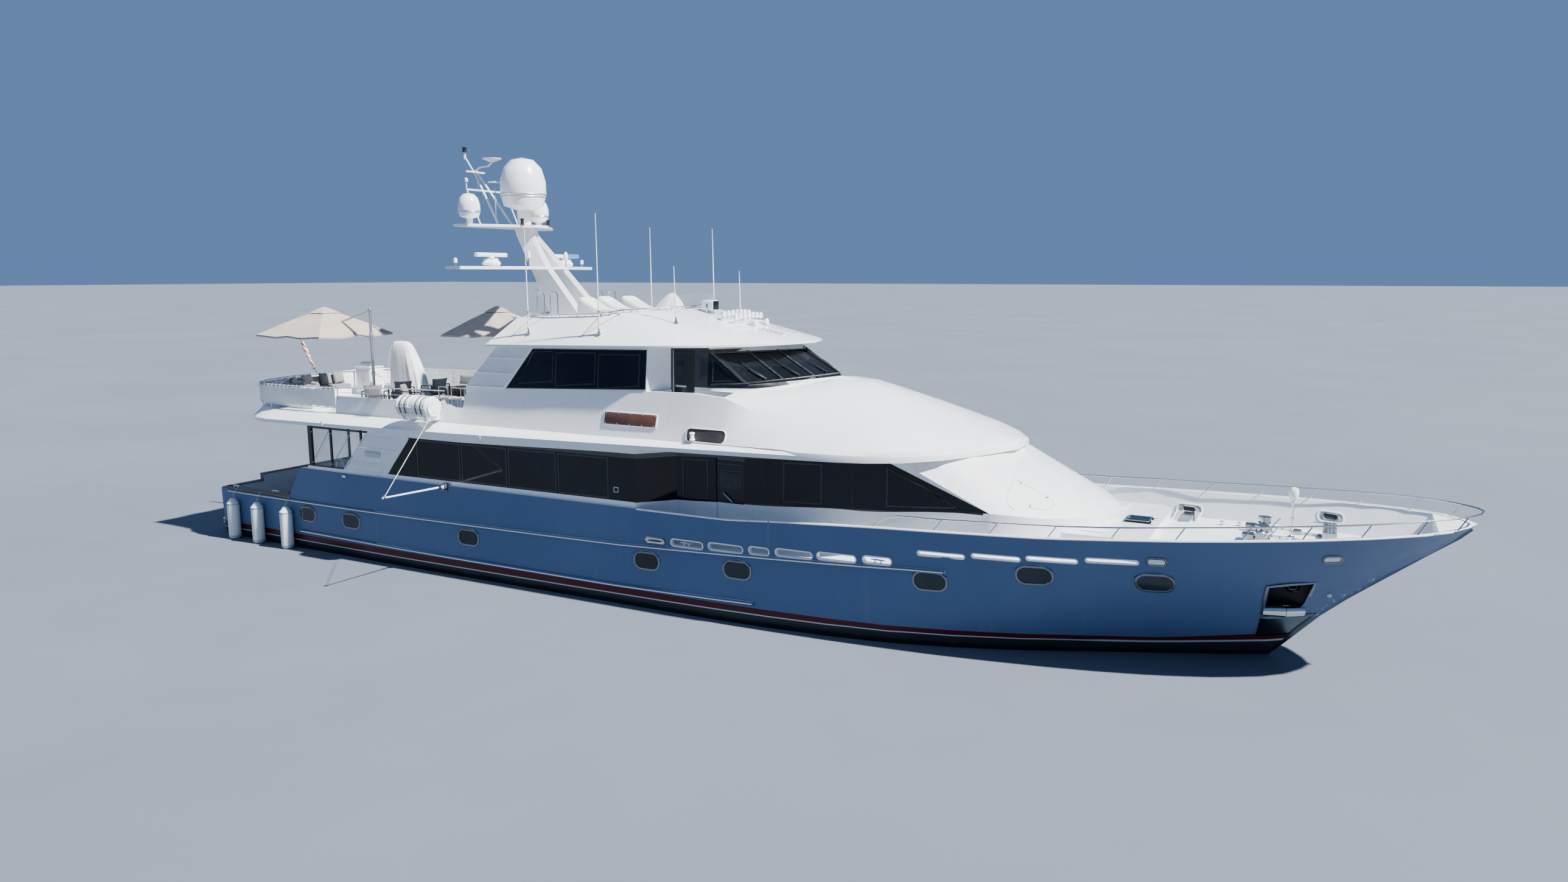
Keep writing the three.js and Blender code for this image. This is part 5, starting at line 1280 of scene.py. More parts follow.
def make_nameplate():
    plate, border, bolts = Build(), Build(), Build()
    x0, x1, z0, z1 = -2.73, -1.01, 4.91, 5.23
    for side in SIDES:
        for part, grow, far in ((plate, 0.0, 0.028), (border, 0.022, 0.020)):
            part.skin([[on_upper(x, z, side, lift) for x, z in (
                (x0 - grow + inset, z0 - grow + inset), (x1 + grow - inset, z0 - grow + inset),
                (x1 + grow - inset, z1 + grow - inset), (x0 - grow + inset, z1 + grow - inset))]
                for lift, inset in ((-0.01, 0), (far, 0), (far + 0.006, 0.012))])
        for x in (x0 + 0.05, x0 + 0.45, (x0 + x1) / 2, x1 - 0.45, x1 - 0.05):
            for z in (z0 + 0.03, z1 - 0.03):
                bolts.lathe([(0.014, -0.004), (0.014, 0.008), (0.008, 0.013), (0.0, 0.014)],
                            on_upper(x, z, side, 0.032), (0, side, 0.1), 8)
    plate.done("nameplates", plaque_wood)
    border.done("nameplate_borders", smooth_white)
    bolts.done("nameplate_bolts", steel)


def make_side_lights():
    recess, rim, lamp = Build(), Build(), Build()
    x, z, width, height = 0.60, 4.80, 1.18, 0.32
    for side in SIDES:
        recess.skin([[on_upper(x + dx * share, z + dz * share, side, lift) for dx,
                      dz in stadium(width, height, 0.11)] for share,
                     lift in ((1, -0.008), (1, 0.012), (0.75, 0.012), (0.5, 0.012), (0.25, 0.012),
                              (0.03, 0.012))], caps=False)
        loops = ((0.0, 0.004), (0.004, 0.026), (0.05, 0.024), (0.06, -0.004))
        rim.skin([[on_upper(x + dx, z + dz, side, lift) for dx,
                   dz in stadium(width + g, height + g, 0.11 + g / 2)] for g, lift in loops], caps=False)
        foot = on_upper(x - 0.36, z - 0.13, side, 0.060)
        lamp.lathe([(0.075, 0.0), (0.075, 0.03), (0.055, 0.045), (0.055, 0.16), (0.075, 0.175), (0.075, 0.2),
                    (0.03, 0.22)], foot, (0, 0, 1), 14)
    recess.done("side_light_recesses", rubber_and_painted_shade)
    rim.done("side_light_rims", smooth_white)
    lamp.done("side_lights", lamp_lens)


def make_lounge_frames():
    part = Build()
    for side in SIDES:
        for x0, x1 in ((-5.95, -4.75), (-4.60, -3.25), (-3.10, -1.76)):
            lean = 0.50 if x0 < -5 else 0.0
            picture_frame(part, [(x0, 5.86), (x1, 5.98), (x1, 6.80), (x0 + lean, 6.76)], side, UPPER_SKIN,
                          0.035, 0.008)
        for line in (((-6.36, 5.70), (-1.52, 5.89)), ((-5.44, 6.86), (-1.52, 6.945))):
            part.tube([on_upper(x, z, side, 0.004) for x, z in [*along_knots(line, 6), line[1]]], 0.014, 6)
    part.done("lounge_window_frames", black_paint)


SCREEN_CORNERS = [(200, 2490, -200, 2460), (1200, 2170, 150, 2430), (2040, 1400, 750, 1600),
                  (2760, 700, 1250, 800), (3260, 0, 1620, 0)]


def screen_corner(k, z, side, out=0.0):
    x0, y0, x1, y1 = (v / 1000 for v in SCREEN_CORNERS[k])
    share = (z - 6.05) / 0.95
    x, y = x0 + (x1 - x0) * share, y0 + (y1 - y0) * share
    outward = Vector(((0.0, 1.0), (0.6, 0.8), (0.8, 0.6), (0.9, 0.45), (1.0, 0.0))[k]) * out
    return Vector((x + outward.x, side * (y + outward.y), z + out * 0.35))


def make_windscreen_frames():
    part = Build()
    for side in SIDES:
        for k, low in ((1, 6.09), (2, 6.16), (3, 6.22)):
            offsets = [Vector(d) for d in ((0.045, -side * 0.035, -0.01), (0.03, side * 0.01, 0.022),
                                           (-0.03, side * 0.05, 0.018), (-0.05, side * 0.03, -0.02))]
            part.skin([[screen_corner(k, z, side, 0.004) + d for d in offsets] for z in steps(low, 6.92, 5)])
        part.tube([screen_corner(k, z, side, 0.014 if k else 0.01) for k,
                   z in enumerate((6.04, 6.10, 6.17, 6.23, 6.27))], 0.026, 8)
        part.tube([screen_corner(k, 6.90, side, 0.012) for k in range(5)], 0.024, 8)
    part.tube([screen_corner(4, z, 1, 0.016) for z in steps(6.28, 6.90, 4)], 0.026, 8)
    for side in SIDES:
        picture_frame(part, [(0.26, 6.15), (0.86, 6.17), (0.30, 6.68), (0.26, 6.70)], side, UPPER_SKIN, 0.03,
                      0.008)
    part.done("windscreen_frames", black_paint)


def on_screen(k, side, share, z, lift):
    """A point on windscreen pane k, a share of the way to the next corner."""
    return screen_corner(k, z, side, lift).lerp(screen_corner(k + 1, z, side, lift), share)


def make_wipers():
    part = Build()
    for side in SIDES:
        for k, low in ((1, 6.20), (2, 6.26), (3, 6.32)):
            pivot = on_screen(k, side, 0.55, low, 0.03)
            elbow = on_screen(k, side, 0.45, low + 0.26, 0.055)
            part.lathe([(0.03, -0.02), (0.03, 0.02), (0.015, 0.035)], pivot, (0.8, side * 0.3, 0.5), 8)
            part.tube([pivot, pivot.lerp(elbow, 0.5) + Vector((0.01, 0, 0.012)), elbow], 0.011, 6)
            part.tube([on_screen(k, side, share, low + up, lift) for share, up,
                       lift in ((0.50, 0.03, 0.045), (0.47, 0.25, 0.043), (0.44, 0.50, 0.045))], 0.009, 6)
            part.tube([on_screen(k, side, 0.60, low, 0.03), elbow], 0.007, 6)
    part.done("windscreen_wipers", black_paint)


def make_blinds():
    part = Build()
    for side in SIDES:
        for k in (1, 2, 3):
            part.slab([on_screen(k, side, share, z, -0.10) for share,
                       z in ((0.10, 6.60), (0.90, 6.60), (0.90, 6.80), (0.10, 6.80))], (-0.01, 0, -0.006))
    part.done("wheelhouse_blinds", blind_cloth, bevel=0.003)


# Hardtop: rail, whips, searchlight, lamps, vents and covered loungers

def on_roof(x, y, lift=0.0):
    point = roof.top(x, y)
    return Vector((x, y, point.z + lift))


WHIP_RADIUS = 0.021


def whip(part, foot, top):
    foot, top = Vector(foot), Vector(top)
    part.tube([foot.lerp(top, s) for s in (0.0, 0.12, 0.121, 0.5, 1.0)],
              [WHIP_RADIUS * share for share in (1.35, 1.3, 1, 0.8, 0.4)], 8)


def make_whips():
    poles, metal = Build(), Build()
    for x, y, top, lean in ((-5.73, -2.84, 10.3, -0.03), (-3.2, -2.84, 10.65, -0.03),
                            (-1.19, -2.0, 9.21, -0.05), (-5.30, 2.84, 10.52, -0.03),
                            (-2.86, 2.84, 10.43, -0.06), (-0.27, 0.0, 9.08, -0.04)):
        foot = on_roof(x, y, 0.02)
        whip(poles, foot, (x + lean, y, top))
        metal.lathe([(0.07, -0.03), (0.07, 0.01), (0.04, 0.03), (0.03, 0.10), (0.035, 0.12), (0.03, 0.14)],
                    foot, (0, 0, 1), 10)
        if abs(y) > 2.5:
            collar = foot + Vector((0, 0, 0.62))
            inward = -0.55 if y > 0 else 0.55
            for dx in (-0.30, 0.30):
                root = on_roof(x + dx, y + inward, 0.0)
                metal.tube([collar, root], 0.012, 6)
                metal.lathe([(0.035, -0.02), (0.035, 0.012), (0.015, 0.02)], root, (0, 0, 1), 8)
            metal.lathe([(0.036, -0.03), (0.036, 0.03)], collar, (0, 0, 1), 10)
    poles.done("whip_aerials", spar_white)
    metal.done("aerial_mounts", steel)


def make_searchlight():
    body, face, metal = Build(), Build(), Build()
    foot = on_roof(-1.15, -0.25)
    x, y, z = foot.x, foot.y, 8.10
    metal.lathe([(0.11, -0.02), (0.11, 0.03), (0.07, 0.06), (0.07, z - foot.z - 0.18)], foot, (0, 0, 1), 14)
    body.block((x - 0.20, y - 0.17, z - 0.15), (x + 0.20, y + 0.17, z + 0.15), 0.045)
    face.block((x + 0.19, y - 0.145, z - 0.125), (x + 0.213, y + 0.145, z + 0.125), 0.006)
    for dy in (-0.19, 0.18):
        metal.block((x - 0.03, y + dy, z - 0.18), (x + 0.03, y + dy + 0.012, z + 0.04), 0.004)
    body.done("searchlight_housing", smooth_white)
    face.done("searchlight_face", tinted)
    metal.done("searchlight_stand", steel)


def make_lamp_cluster():
    shells, lenses = Build(), Build()
    for row, x in enumerate((-0.42, -0.02)):
        for y in (-0.72, -0.48, -0.24, 0.0, 0.24, 0.48, 0.72):
            foot = on_roof(x, y)
            z = foot.z + 0.17 + 0.02 * row
            shells.tube([foot, (x, y, z - 0.06)], 0.014, 6)
            shells.lathe([(0.015, -0.085), (0.05, -0.07), (0.078, -0.03), (0.088, 0.02), (0.092, 0.045),
                          (0.085, 0.045)], (x, y, z), (1, 0, 0.1), 14)
            lenses.lathe([(0.082, 0.03), (0.07, 0.042), (0.0, 0.05)], (x, y, z), (1, 0, 0.1), 12)
        shells.tube([on_roof(x, y, 0.035) for y in steps(-0.85, 0.85, 6)], 0.018, 8)
    for y in (-0.33, 0.33):
        horn = on_roof(0.28, y, 0.06)
        shells.lathe([(0.03, -0.28), (0.03, -0.1), (0.045, 0.0), (0.07, 0.10), (0.10, 0.16), (0.093, 0.16)],
                     horn, (1, 0, 0.12), 14)
    shells.done("roof_lamps_and_horns", smooth_white)
    lenses.done("roof_lamp_lenses", lamp_lens)


def make_roof_vents():
    frame_part, dark = Build(), Build()
    x0, x1 = 0.62, 1.35
    for side in SIDES:
        y0, y1 = side * 0.42 - 0.10, side * 0.42 + 0.10
        frame_part.skin([[on_roof(x, y, lift) for x, y in (
            (x0 - grow, y0 - grow), (x1 + grow, y0 - grow), (x1 + grow, y1 + grow), (x0 - grow, y1 + grow))]
            for grow, lift in ((0.03, -0.006), (0.028, 0.014), (0.0, 0.016), (0.0, 0.004))], caps=False)
        for k in range(5):
            dark.skin([[on_roof(0.68 + 0.14 * k, y, 0.002) + Vector(d)
                        for d in ((-0.05, 0, 0.0), (0.04, 0, 0.0), (0.05, 0, 0.012), (-0.04, 0, 0.008))]
                       for y in (y0 + 0.01, y1 - 0.01)])
    frame_part.done("roof_vent_frames", smooth_white)
    dark.done("roof_vent_slats", dull_steel)


def make_roof_rail():
    """A low rail round the sunken sundeck with closely set feet."""
    part = Build()
    path = [(-6.75, 2.20), (-5.6, 2.36), (-4.3, 2.40), (-3.2, 2.34), (-2.45, 2.03), (-1.93, 1.36),
            (-1.66, 0.64), (-1.58, 0.0)]
    path = [(x, -y) for x, y in path] + path[-2::-1]
    dense = [*along_knots(path), path[-1]]
    points = [on_roof(x, y, 0.075) for x, y in dense]
    smooth = [points[0]] + [(a + b + c) / 3 for a, b, c in zip(points, points[1:], points[2:])] + [points[-1]]
    part.tube(smooth, 0.019, 8)
    for k in range(1, len(smooth) - 1):
        part.tube([on_roof(*dense[k], -0.01), smooth[k]], 0.010, 6)
    for side in SIDES:
        for x in (-6.55, -6.05):
            foot = on_roof(x, side * 1.45)
            part.tube([foot + Vector((dx, 0, dz)) for dx, dz in (
                (0, 0), (0, 0.62), (0.06, 0.70), (0.22, 0.70), (0.28, 0.62), (0.28, 0))], 0.02, 8)
    part.done("sundeck_rail", steel)


def draped_cover(name, outline, foot, seed):
    """A loose cloth that hangs to foot over a long object; outline gives its x, y, half width and top."""
    part = Build()
    rng = random.Random(seed)
    phases = [rng.uniform(0, 6.28) for _ in range(4)]
    rings = []
    across, fold, flare = 12, 0.02, 0.03
    for x, y, half, top in outline:
        ring = []
        for n in range(-across, across + 1):
            t = n / across
            share = abs(t)
            if share < 0.5:
                u = share / 0.5
                yy = math.copysign(half * (0.94 * u), t)
                z = top - 0.03 * (1 - u) * math.sin(phases[0] + 3 * x) ** 2 - 0.035 * u ** 6
            else:
                u = (share - 0.5) / 0.5
                ripple = fold * u * math.sin(13 * x + phases[1]
                                             + (1 if t > 0 else 2.4)) + fold * 0.6 * u * math.sin(29 * x
                                                                                                  + phases[2])
                yy = math.copysign(half * (0.94 + 0.06 * min(u * 4, 1)) + flare * u + ripple, t)
                z = top - 0.035 - (top - 0.035 - foot) * u
            ring.append(Vector((x, y + yy, z)))
        rings.append(ring)
    part.skin(rings, closed=False, caps=False)
    return part.done(name, white_cloth, smooth=70)


LOUNGERS = [(-5.10, -1.05), (-5.22, 0.0), (-5.0, 0.95)]
LOUNGER_PROFILE = [(0.00, 0.10), (0.03, 0.60), (0.10, 0.74), (0.22, 0.70), (0.45, 0.58), (0.70, 0.44),
                   (0.95, 0.38), (1.25, 0.36), (1.50, 0.35), (1.56, 0.30), (1.60, 0.06)]


def make_loungers():
    bases = Build()
    for k, (x, y) in enumerate(LOUNGERS):
        outline = [(x + dx, y, 0.34, 7.58 + h) for dx, h in LOUNGER_PROFILE]
        cover = draped_cover(f"lounger_cover_{k + 1}", outline, 7.60, 11 + k)
        for dx in (0.15, 1.40):
            for dy in (-0.26, 0.26):
                bases.tube([(x + dx, y + dy, SUNDECK), (x + dx, y + dy, 7.88)], 0.018, 8)
        for dy in (-0.28, 0.28):
            bases.tube([(x + dx, y + dy, z) for dx, z in ((0.05, 8.24), (0.22, 8.22), (0.72, 7.96),
                                                          (1.48, 7.88))], 0.016, 8)
    bases.done("lounger_frames", dull_steel)
    part = Build()
    part.lathe([(0.22, 0), (0.22, 0.02), (0.035, 0.05), (0.03, 0.52), (0.24, 0.56), (0.24, 0.58)],
               (-2.70, 0.0, SUNDECK))
    part.done("sundeck_table", dull_steel)
    tent = Build()
    tent.skin([[Vector((-2.60 - 0.18 * (8.44 - z) / 0.82 + radius * 1.22 * math.cos(a), radius * math.sin(a),
                        z)) for a in turns(48)
                for radius in (r + wave * (math.sin(7 * a) + 0.5 * math.sin(13 * a + 1)),)] for z, r,
               wave in ((8.44, 0.03, 0.0), (8.42, 0.07, 0.0), (8.33, 0.16, 0.006), (8.16, 0.285, 0.012),
                        (7.98, 0.385, 0.02), (7.80, 0.48, 0.03), (7.62, 0.57, 0.035))], caps=False)
    tent.bm.faces.new([v for v in tent.bm.verts if v.co.z > 8.435])
    cover = tent.done("table_cover", white_cloth, smooth=70)


# Mast fittings

def make_mast_details():
    white, metal, dark = Build(), Build(), Build()
    for side in SIDES:
        white.lathe([(0.20, 0.0), (0.27, 0.04), (0.29, 0.10), (0.25, 0.17), (0.17, 0.22), (0.10, 0.235)],
                    (-8.05, side * 1.75, 9.225), (0, 0, 1), 20)
        metal.tube([(-8.3, side * 3.0, 9.23), (-8.3, side * 3.0, 9.36)], 0.03, 8)
        metal.tube([(-7.3, side * 0.9, 9.23), (-7.3, side * 0.9, 9.50)], 0.02, 8)
        white.lathe([(0.06, 0.0), (0.06, 0.10), (0.04, 0.14), (0.0, 0.15)], (-8.3, side * 3.0, 9.33),
                    (0, 0, 1), 12)
        white.lathe([(0.07, 0.0), (0.075, 0.05), (0.06, 0.16), (0.03, 0.22), (0.0, 0.23)],
                    (-7.3, side * 0.9, 9.48), (0, 0, 1), 12)
        dark.lathe([(0.07, 0.0), (0.07, 0.02), (0.05, 0.03), (0.05, 0.16), (0.07, 0.17), (0.07, 0.19)],
                   (-7.75, side * 0.62, 10.522), (0, 0, 1), 12)
        white.tube([(-9.73, side * 0.9, 11.68), (-9.73, side * 0.9, 11.90)], 0.018, 8)
        white.lathe([(0.05, 0.0), (0.06, 0.03), (0.06, 0.10), (0.0, 0.14)], (-9.73, side * 0.9, 11.88),
                    (0, 0, 1), 10)
        metal.tube([(-9.73, side * 0.4, 11.66), (-9.73, side * 0.4, 12.02)], 0.014, 8)
    dark.lathe([(0.09, 0.0), (0.09, 0.025), (0.065, 0.035), (0.065, 0.13), (0.085, 0.14), (0.09, 0.155),
                (0.05, 0.16)], (-10.6, 0, 12.92), (0, 0, 1), 14)
    white.tube([(-10.18, 0, 12.30), (-9.95, 0.0, 12.42), (-9.62, 0, 12.44), (-9.45, 0, 12.55)], 0.03, 8)
    white.lathe([(0.05, 0.0), (0.12, 0.03), (0.30, 0.10), (0.31, 0.13), (0.0, 0.15)], (-9.45, 0.0, 12.55),
                (0, 0, 1), 20)
    white.block((-9.10, -0.62, 11.86), (-8.80, -0.30, 11.89), 0.01)
    metal.tube([(-8.95, -0.46, z) for z in (MAST_PLATFORM, 11.86)], 0.018, 8)
    for side in SIDES:
        metal.tube([(-10.25, side * 0.36, 12.28), (-10.25, side * 0.36, 11.25)], 0.02, 8)
    for x, z in ((-7.75, 9.0), (-7.30, 8.5)):
        metal.tube([(x, -0.48, z), (x, -0.70, z + 0.02)], 0.016, 6)
    white.done("mast_fittings", smooth_white)
    metal.done("mast_brackets", steel)
    dark.done("mast_lanterns", black_paint)


def make_dome_bands():
    part = Build()
    for x, y, radius, height, stem in ((-8.2, 0, 0.72, 1.64, 0.48), (-8.98, 1.62, 0.34, 0.78, 0.17),
                                       (-8.98, -1.62, 0.34, 0.78, 0.17)):
        z, thick = MAST_PLATFORM + stem + height * 0.30, 0.012 if radius > 0.5 else 0.008
        for dz, wide in ((0.0, radius + 0.007), (-0.05 * height, radius * 0.968 + 0.004)):
            part.tube(level_ring(x, y, z + dz, wide, 40), thick, 6, loop=True)
    part.done("dome_bands", dull_steel)


def make_scanner_trim():
    for side, name in NAMED_SIDES:
        y = side * 1.75
        part = Build()
        part.block((-8.135, y - 0.655, 9.515), (-7.965, y + 0.655, 9.640), 0.045)
        part.lathe([(0.11, 0.0), (0.10, 0.03), (0.085, 0.05)], (-8.05, y, 9.478), (0, 0, 1), 16)
        part.done(f"scanner_shell_{name}", smooth_white, f"radar_scanner_{name}")
        if side > 0:
            half = Build()
            half.skin([[Vector((-8.05 + dx, along, 9.578 + dz)) for dx,
                        dz in ((-0.092, -0.055), (-0.092, 0.06), (-0.07, 0.072), (0.07, 0.072), (0.092, 0.06),
                               (0.092, -0.055))] for along in steps(y - 0.02, y + 0.668, 6)], closed=False,
                      caps=False)
            sleeve = half.done("scanner_half_cover", blue_cover, "radar_scanner_port")


# Boat deck: rails, dodger cloth and the furled ensign

AFT_RAIL = [(-8.65, 3.33, 5.52), (-10.5, 3.35, 5.49), (-13.2, 3.38, 5.39), (-15.3, 3.39, 5.36),
            (-16.5, 3.38, 5.36), (-17.1, 3.28, 5.36), (-17.6, 2.80, 5.36), (-18.0, 2.0, 5.36),
            (-18.27, 1.0, 5.36), (-18.35, 0, 5.36)]


def smooth_path(knots, per_span=6):
    """Catmull-Rom points through knots."""
    points = [Vector(k) for k in knots]
    path = []
    for k in range(len(points) - 1):
        a = points[max(k - 1, 0)]
        b, c = points[k], points[k + 1]
        d = points[min(k + 2, len(points) - 1)]
        for n in range(per_span):
            t = n / per_span
            path.append(0.5 * ((2 * b) + (c - a) * t + (2 * a - 5 * b + 4 * c - d) * t * t
                               + (3 * b - a - 3 * c + d) * t ** 3))
    path.append(points[-1])
    return path


def lengths(path):
    total = [0.0]
    for a, b in zip(path, path[1:]):
        total.append(total[-1] + (b - a).length)
    return total


def even_path(path, step):
    """The same route with points at even spacing."""
    total = lengths(path)
    count = max(int(total[-1] / step), 2)
    out, k = [], 0
    for n in range(count + 1):
        want = total[-1] * n / count
        while k < len(total) - 2 and total[k + 1] < want:
            k += 1
        share = (want - total[k]) / max(total[k + 1] - total[k], 1e-6)
        out.append(path[k].lerp(path[k + 1], min(share, 1)))
    return out


def outward_of(path, k):
    along = path[min(k + 1, len(path) - 1)] - path[max(k - 1, 0)]
    out = Vector((along.y, -along.x, 0)).normalized()
    return -out if out.dot(path[k] - Vector((-12.0, 0, path[k].z))) < 0 else out


DODGER_FOOT = 4.76
ROUTE = even_path(smooth_path([(x, -y, z) for x, y, z in AFT_RAIL] + AFT_RAIL[-2::-1], 5), 0.10)


def make_dodger():
    """The weather cloth on the part of the rail that carries it, its lacing and the rail at its foot."""
    run = [k for k, p in enumerate(ROUTE) if p.x < -13.25 or (p.y > 0 and p.x < -9.75)]
    rows = 7
    part = Build()
    columns = []
    for k in run:
        point = ROUTE[k]
        out = outward_of(ROUTE, k)
        foot = DODGER_FOOT if point.x < -13.2 else 5.10
        column = []
        for n in range(rows + 1):
            t = n / rows
            z = foot + (point.z - 0.045 - foot) * t
            scallop = 0.012 * math.sin(k * 0.1 / 0.2 * math.pi) if n in (0, rows) else 0.0
            belly = 0.018 * math.sin(math.pi * t) * math.sin(k * 0.21 + 0.5) + 0.006 * math.sin(k * 0.9 + 5
                                                                                                * t)
            column.append(Vector((point.x, point.y, z - (scallop if n == rows else -scallop))) + out
                          * (0.034 + belly))
        columns.append(column)
    part.skin(columns, closed=False, caps=False)
    cloth = part.done("dodger_cloth", white_cloth, smooth=70)
    lacing = Build()
    for k in run[::2]:
        point, out = ROUTE[k], outward_of(ROUTE, k)
        edge = point + Vector((0, 0, -0.085)) + out * 0.040
        loop = [edge, point + out * 0.032 + Vector((0, 0, -0.01)), point + Vector((0, 0, 0.026)),
                point - out * 0.030, point + Vector((0, 0, -0.05)) - out * 0.01,
                edge + Vector((0, 0, -0.015)) - out * 0.012]
        lacing.tube(loop, 0.0055, 5)
    lacing.done("dodger_lacing", rope)
    lower = Build()
    low_run = [ROUTE[k] for k in run if ROUTE[k].x < -13.2]
    lower.tube([Vector((p.x, p.y, 4.725)) for p in low_run[::2]], 0.016, 8)
    lower.done("dodger_foot_rail", steel)


def make_mid_rails():
    part = Build()
    part.tube(smooth_path([(-8.75, -3.34, 5.30), (-10.5, -3.35, 5.29), (-13.15, -3.37, 5.24)], 8), 0.011, 6)
    for side in SIDES:
        for x in (-9.8, -11.9, -13.25):
            coaming = upper.top(x, side * 3.37)
            part.lathe([(0.045, 0.0), (0.045, 0.01), (0.02, 0.02)],
                       (x, side * 3.37, coaming.z if coaming else 5.1), (0, 0, 1), 12)
    part.done("boat_deck_mid_rails", steel)


def make_ensign():
    foot, head = Vector((-18.345, 0, 5.36)), Vector((-19.07, 0, 6.56))
    axis = (head - foot).normalized()
    across = axis.cross(Vector((0, 1, 0))).normalized()
    side = axis.cross(across)
    part = Build()
    rows = []
    for t in steps(0.16, 0.955, 26):
        row = []
        for turn in steps(0.0, 2.35, 44):
            angle = turn * 2 * math.pi + 1.9 * t
            radius = 0.026 + 0.014 * turn + 0.013 * math.sin(9 * t + 2 * angle) + 0.010 * math.sin(17 * t
                                                                                                   + angle)
            row.append(foot.lerp(head, t) + across * radius * math.cos(angle) + side * radius
                       * math.sin(angle))
        rows.append(row)
    part.skin(rows, closed=False, caps=False)
    look = Look("ensign_cloth", (0.6, 0.05, 0.06), 0.85, Sheen_Weight=0.2)
    x, z = look.axes()["X"], look.axes()["Z"]
    around = look.times(look.axes()["Y"], 5.0)
    line = look.plus(look.times(look.plus(z, look.times(x, 0.6)), 7.0), around)
    wobble = look.plus(line, look.ramp(look.noise(6, 3), 0.2, 0.8, 0, 0.5))
    band = look.between(look.math("FRACT", wobble), 0.08, 0.52, 0.05)
    look.color(look.mix(band, (0.70, 0.68, 0.66), (0.42, 0.025, 0.035)))
    look.rough(look.noise(30, 3), 0.75, 0.92)
    look.bump(look.noise(24, 4), 0.4, 0.01)
    flag = part.done("ensign_furled", look.material, slot="canvas", smooth=70)
    ties = Build()
    for t in (0.17, 0.42, 0.68, 0.94):
        centre = foot.lerp(head, t)
        ties.tube(ring_about(centre, across, side, 0.078, 14), 0.007, 6, loop=True)
    ties.done("ensign_ties", rope)
    truck = Build()
    truck.lathe([(0.022, -0.02), (0.028, 0.0), (0.020, 0.022), (0.0, 0.028)], head - axis * 0.012, axis, 12)
    truck.done("staff_truck", steel)


# Umbrella canopies: cloth over seven ribs, with a vent cap and a slit for the arm

def make_umbrella(name, centre, pole_angle, edge_z):
    side_length, rise, reach, segments = 3.10, 0.85, 2.18, 96
    apex = edge_z + rise
    centre = Vector((*centre, 0))
    turn = Matrix.Rotation(pole_angle, 3, "Z")

    def reach_at(angle):
        """How far the square canopy reaches at an angle; its edges are slightly hollow."""
        local = abs(((angle + math.pi / 4) % (math.pi / 2)) - math.pi / 4)
        return 0.492 * side_length / math.cos(local) * (1 - 0.012 * math.sin(4 * local) ** 2)

    def level(share, angle):
        rib = (angle * 4 / math.pi) % 1.0
        sag = 0.045 * math.sin(math.pi * rib) ** 2 * share ** 1.3
        return apex - rise * share ** 1.15 - sag + 0.012 * share

    def spot(angle, share, z, slit=0.0):
        radius = reach_at(angle) * share
        point = Vector((math.cos(angle), math.sin(angle), 0)) * radius
        if slit and radius > 0.24 * side_length:
            point.y = slit
        return centre + turn @ point + Vector((0, 0, z))

    rings = [[spot(angle, share, level(share, angle), {0: 0.055, segments: -0.055}.get(k, 0.0))
              for k in range(segments + 1) for angle in (2 * math.pi * k / segments,)]
             for share in (0.03, 0.12, 0.24, 0.36, 0.48, 0.60, 0.72, 0.84, 0.94, 1.0)]
    rings.append([p + Vector((0, 0, -0.055)) for p in rings[-1]])
    part = Build()
    part.skin(rings, closed=False, caps=False)
    part.weld(1e-4)
    cloth = part.done(f"{name}_cloth", taupe_cloth, smooth=20)
    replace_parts(cloth, f"{name}_canopy")
    cap = Build()
    cap.skin([[spot(angle, share, apex - rise * share ** 1.15 + lift) for angle in turns(48)]
              for share, lift in ((0.02, 0.075), (0.08, 0.066), (0.16, 0.050), (0.235, 0.026))], caps=False)
    cap.bm.faces.new(list(cap.bm.verts)[47::-1])
    vent = cap.done(f"{name}_vent_cap", taupe_cloth, smooth=25)
    ribs = Build()
    for k in range(1, 8):
        angle = math.pi / 4 * k
        line = [spot(angle, share, level(share, angle) - 0.030) for share in (0.05, 0.3, 0.6, 0.985)]
        ribs.tube(line, 0.011, 6)
        ribs.tube([centre + Vector((0, 0, apex - 0.52)), line[1].lerp(line[2], 0.3)], 0.008, 6)
        ribs.lathe([(0.016, -0.01), (0.016, 0.02), (0.0, 0.03)], line[-1], line[-1] - line[-2], 8)
    hub = centre + Vector((0, 0, apex - 0.10))
    for radius, drop in ((0.07, 0.0), (0.06, -0.42)):
        ribs.lathe([(0.02, -0.03), (radius, -0.02), (radius, 0.02), (0.02, 0.03)], hub + Vector((0, 0, drop)),
                   (0, 0, 1), 14)
    ribs.done(f"{name}_ribs", dull_steel)
    pole = centre + turn @ Vector((reach, 0, 0))
    fittings = Build()
    for z, radius, tall in ((4.63, 0.085, 0.22), (5.62, 0.062, 0.16), (apex - 0.98, 0.066, 0.20),
                            (apex - 0.04, 0.060, 0.09)):
        fittings.lathe([(radius * 0.9, 0.0), (radius, 0.015), (radius, tall - 0.015), (radius * 0.9, tall)],
                       (pole.x, pole.y, z), (0, 0, 1), 16)
    crank = ((0.05, 0, 0), (0.12, 0, 0), (0.14, 0.02, -0.02), (0.14, 0.14, -0.10), (0.17, 0.15, -0.10),
             (0.24, 0.15, -0.10))
    fittings.tube([Vector((pole.x, pole.y, 5.70)) + turn @ Vector(p) for p in crank], 0.011, 6)
    for k in range(4):
        angle = pole_angle + math.pi / 4 + math.pi / 2 * k
        away = Vector((math.cos(angle), math.sin(angle), 0))
        start = Vector((pole.x, pole.y, 4.635))
        fittings.tube([start + away * 0.05, start + away * 0.42], 0.024, 6)
    fittings.done(f"{name}_fittings", dull_steel)


# White cover over the deck crane

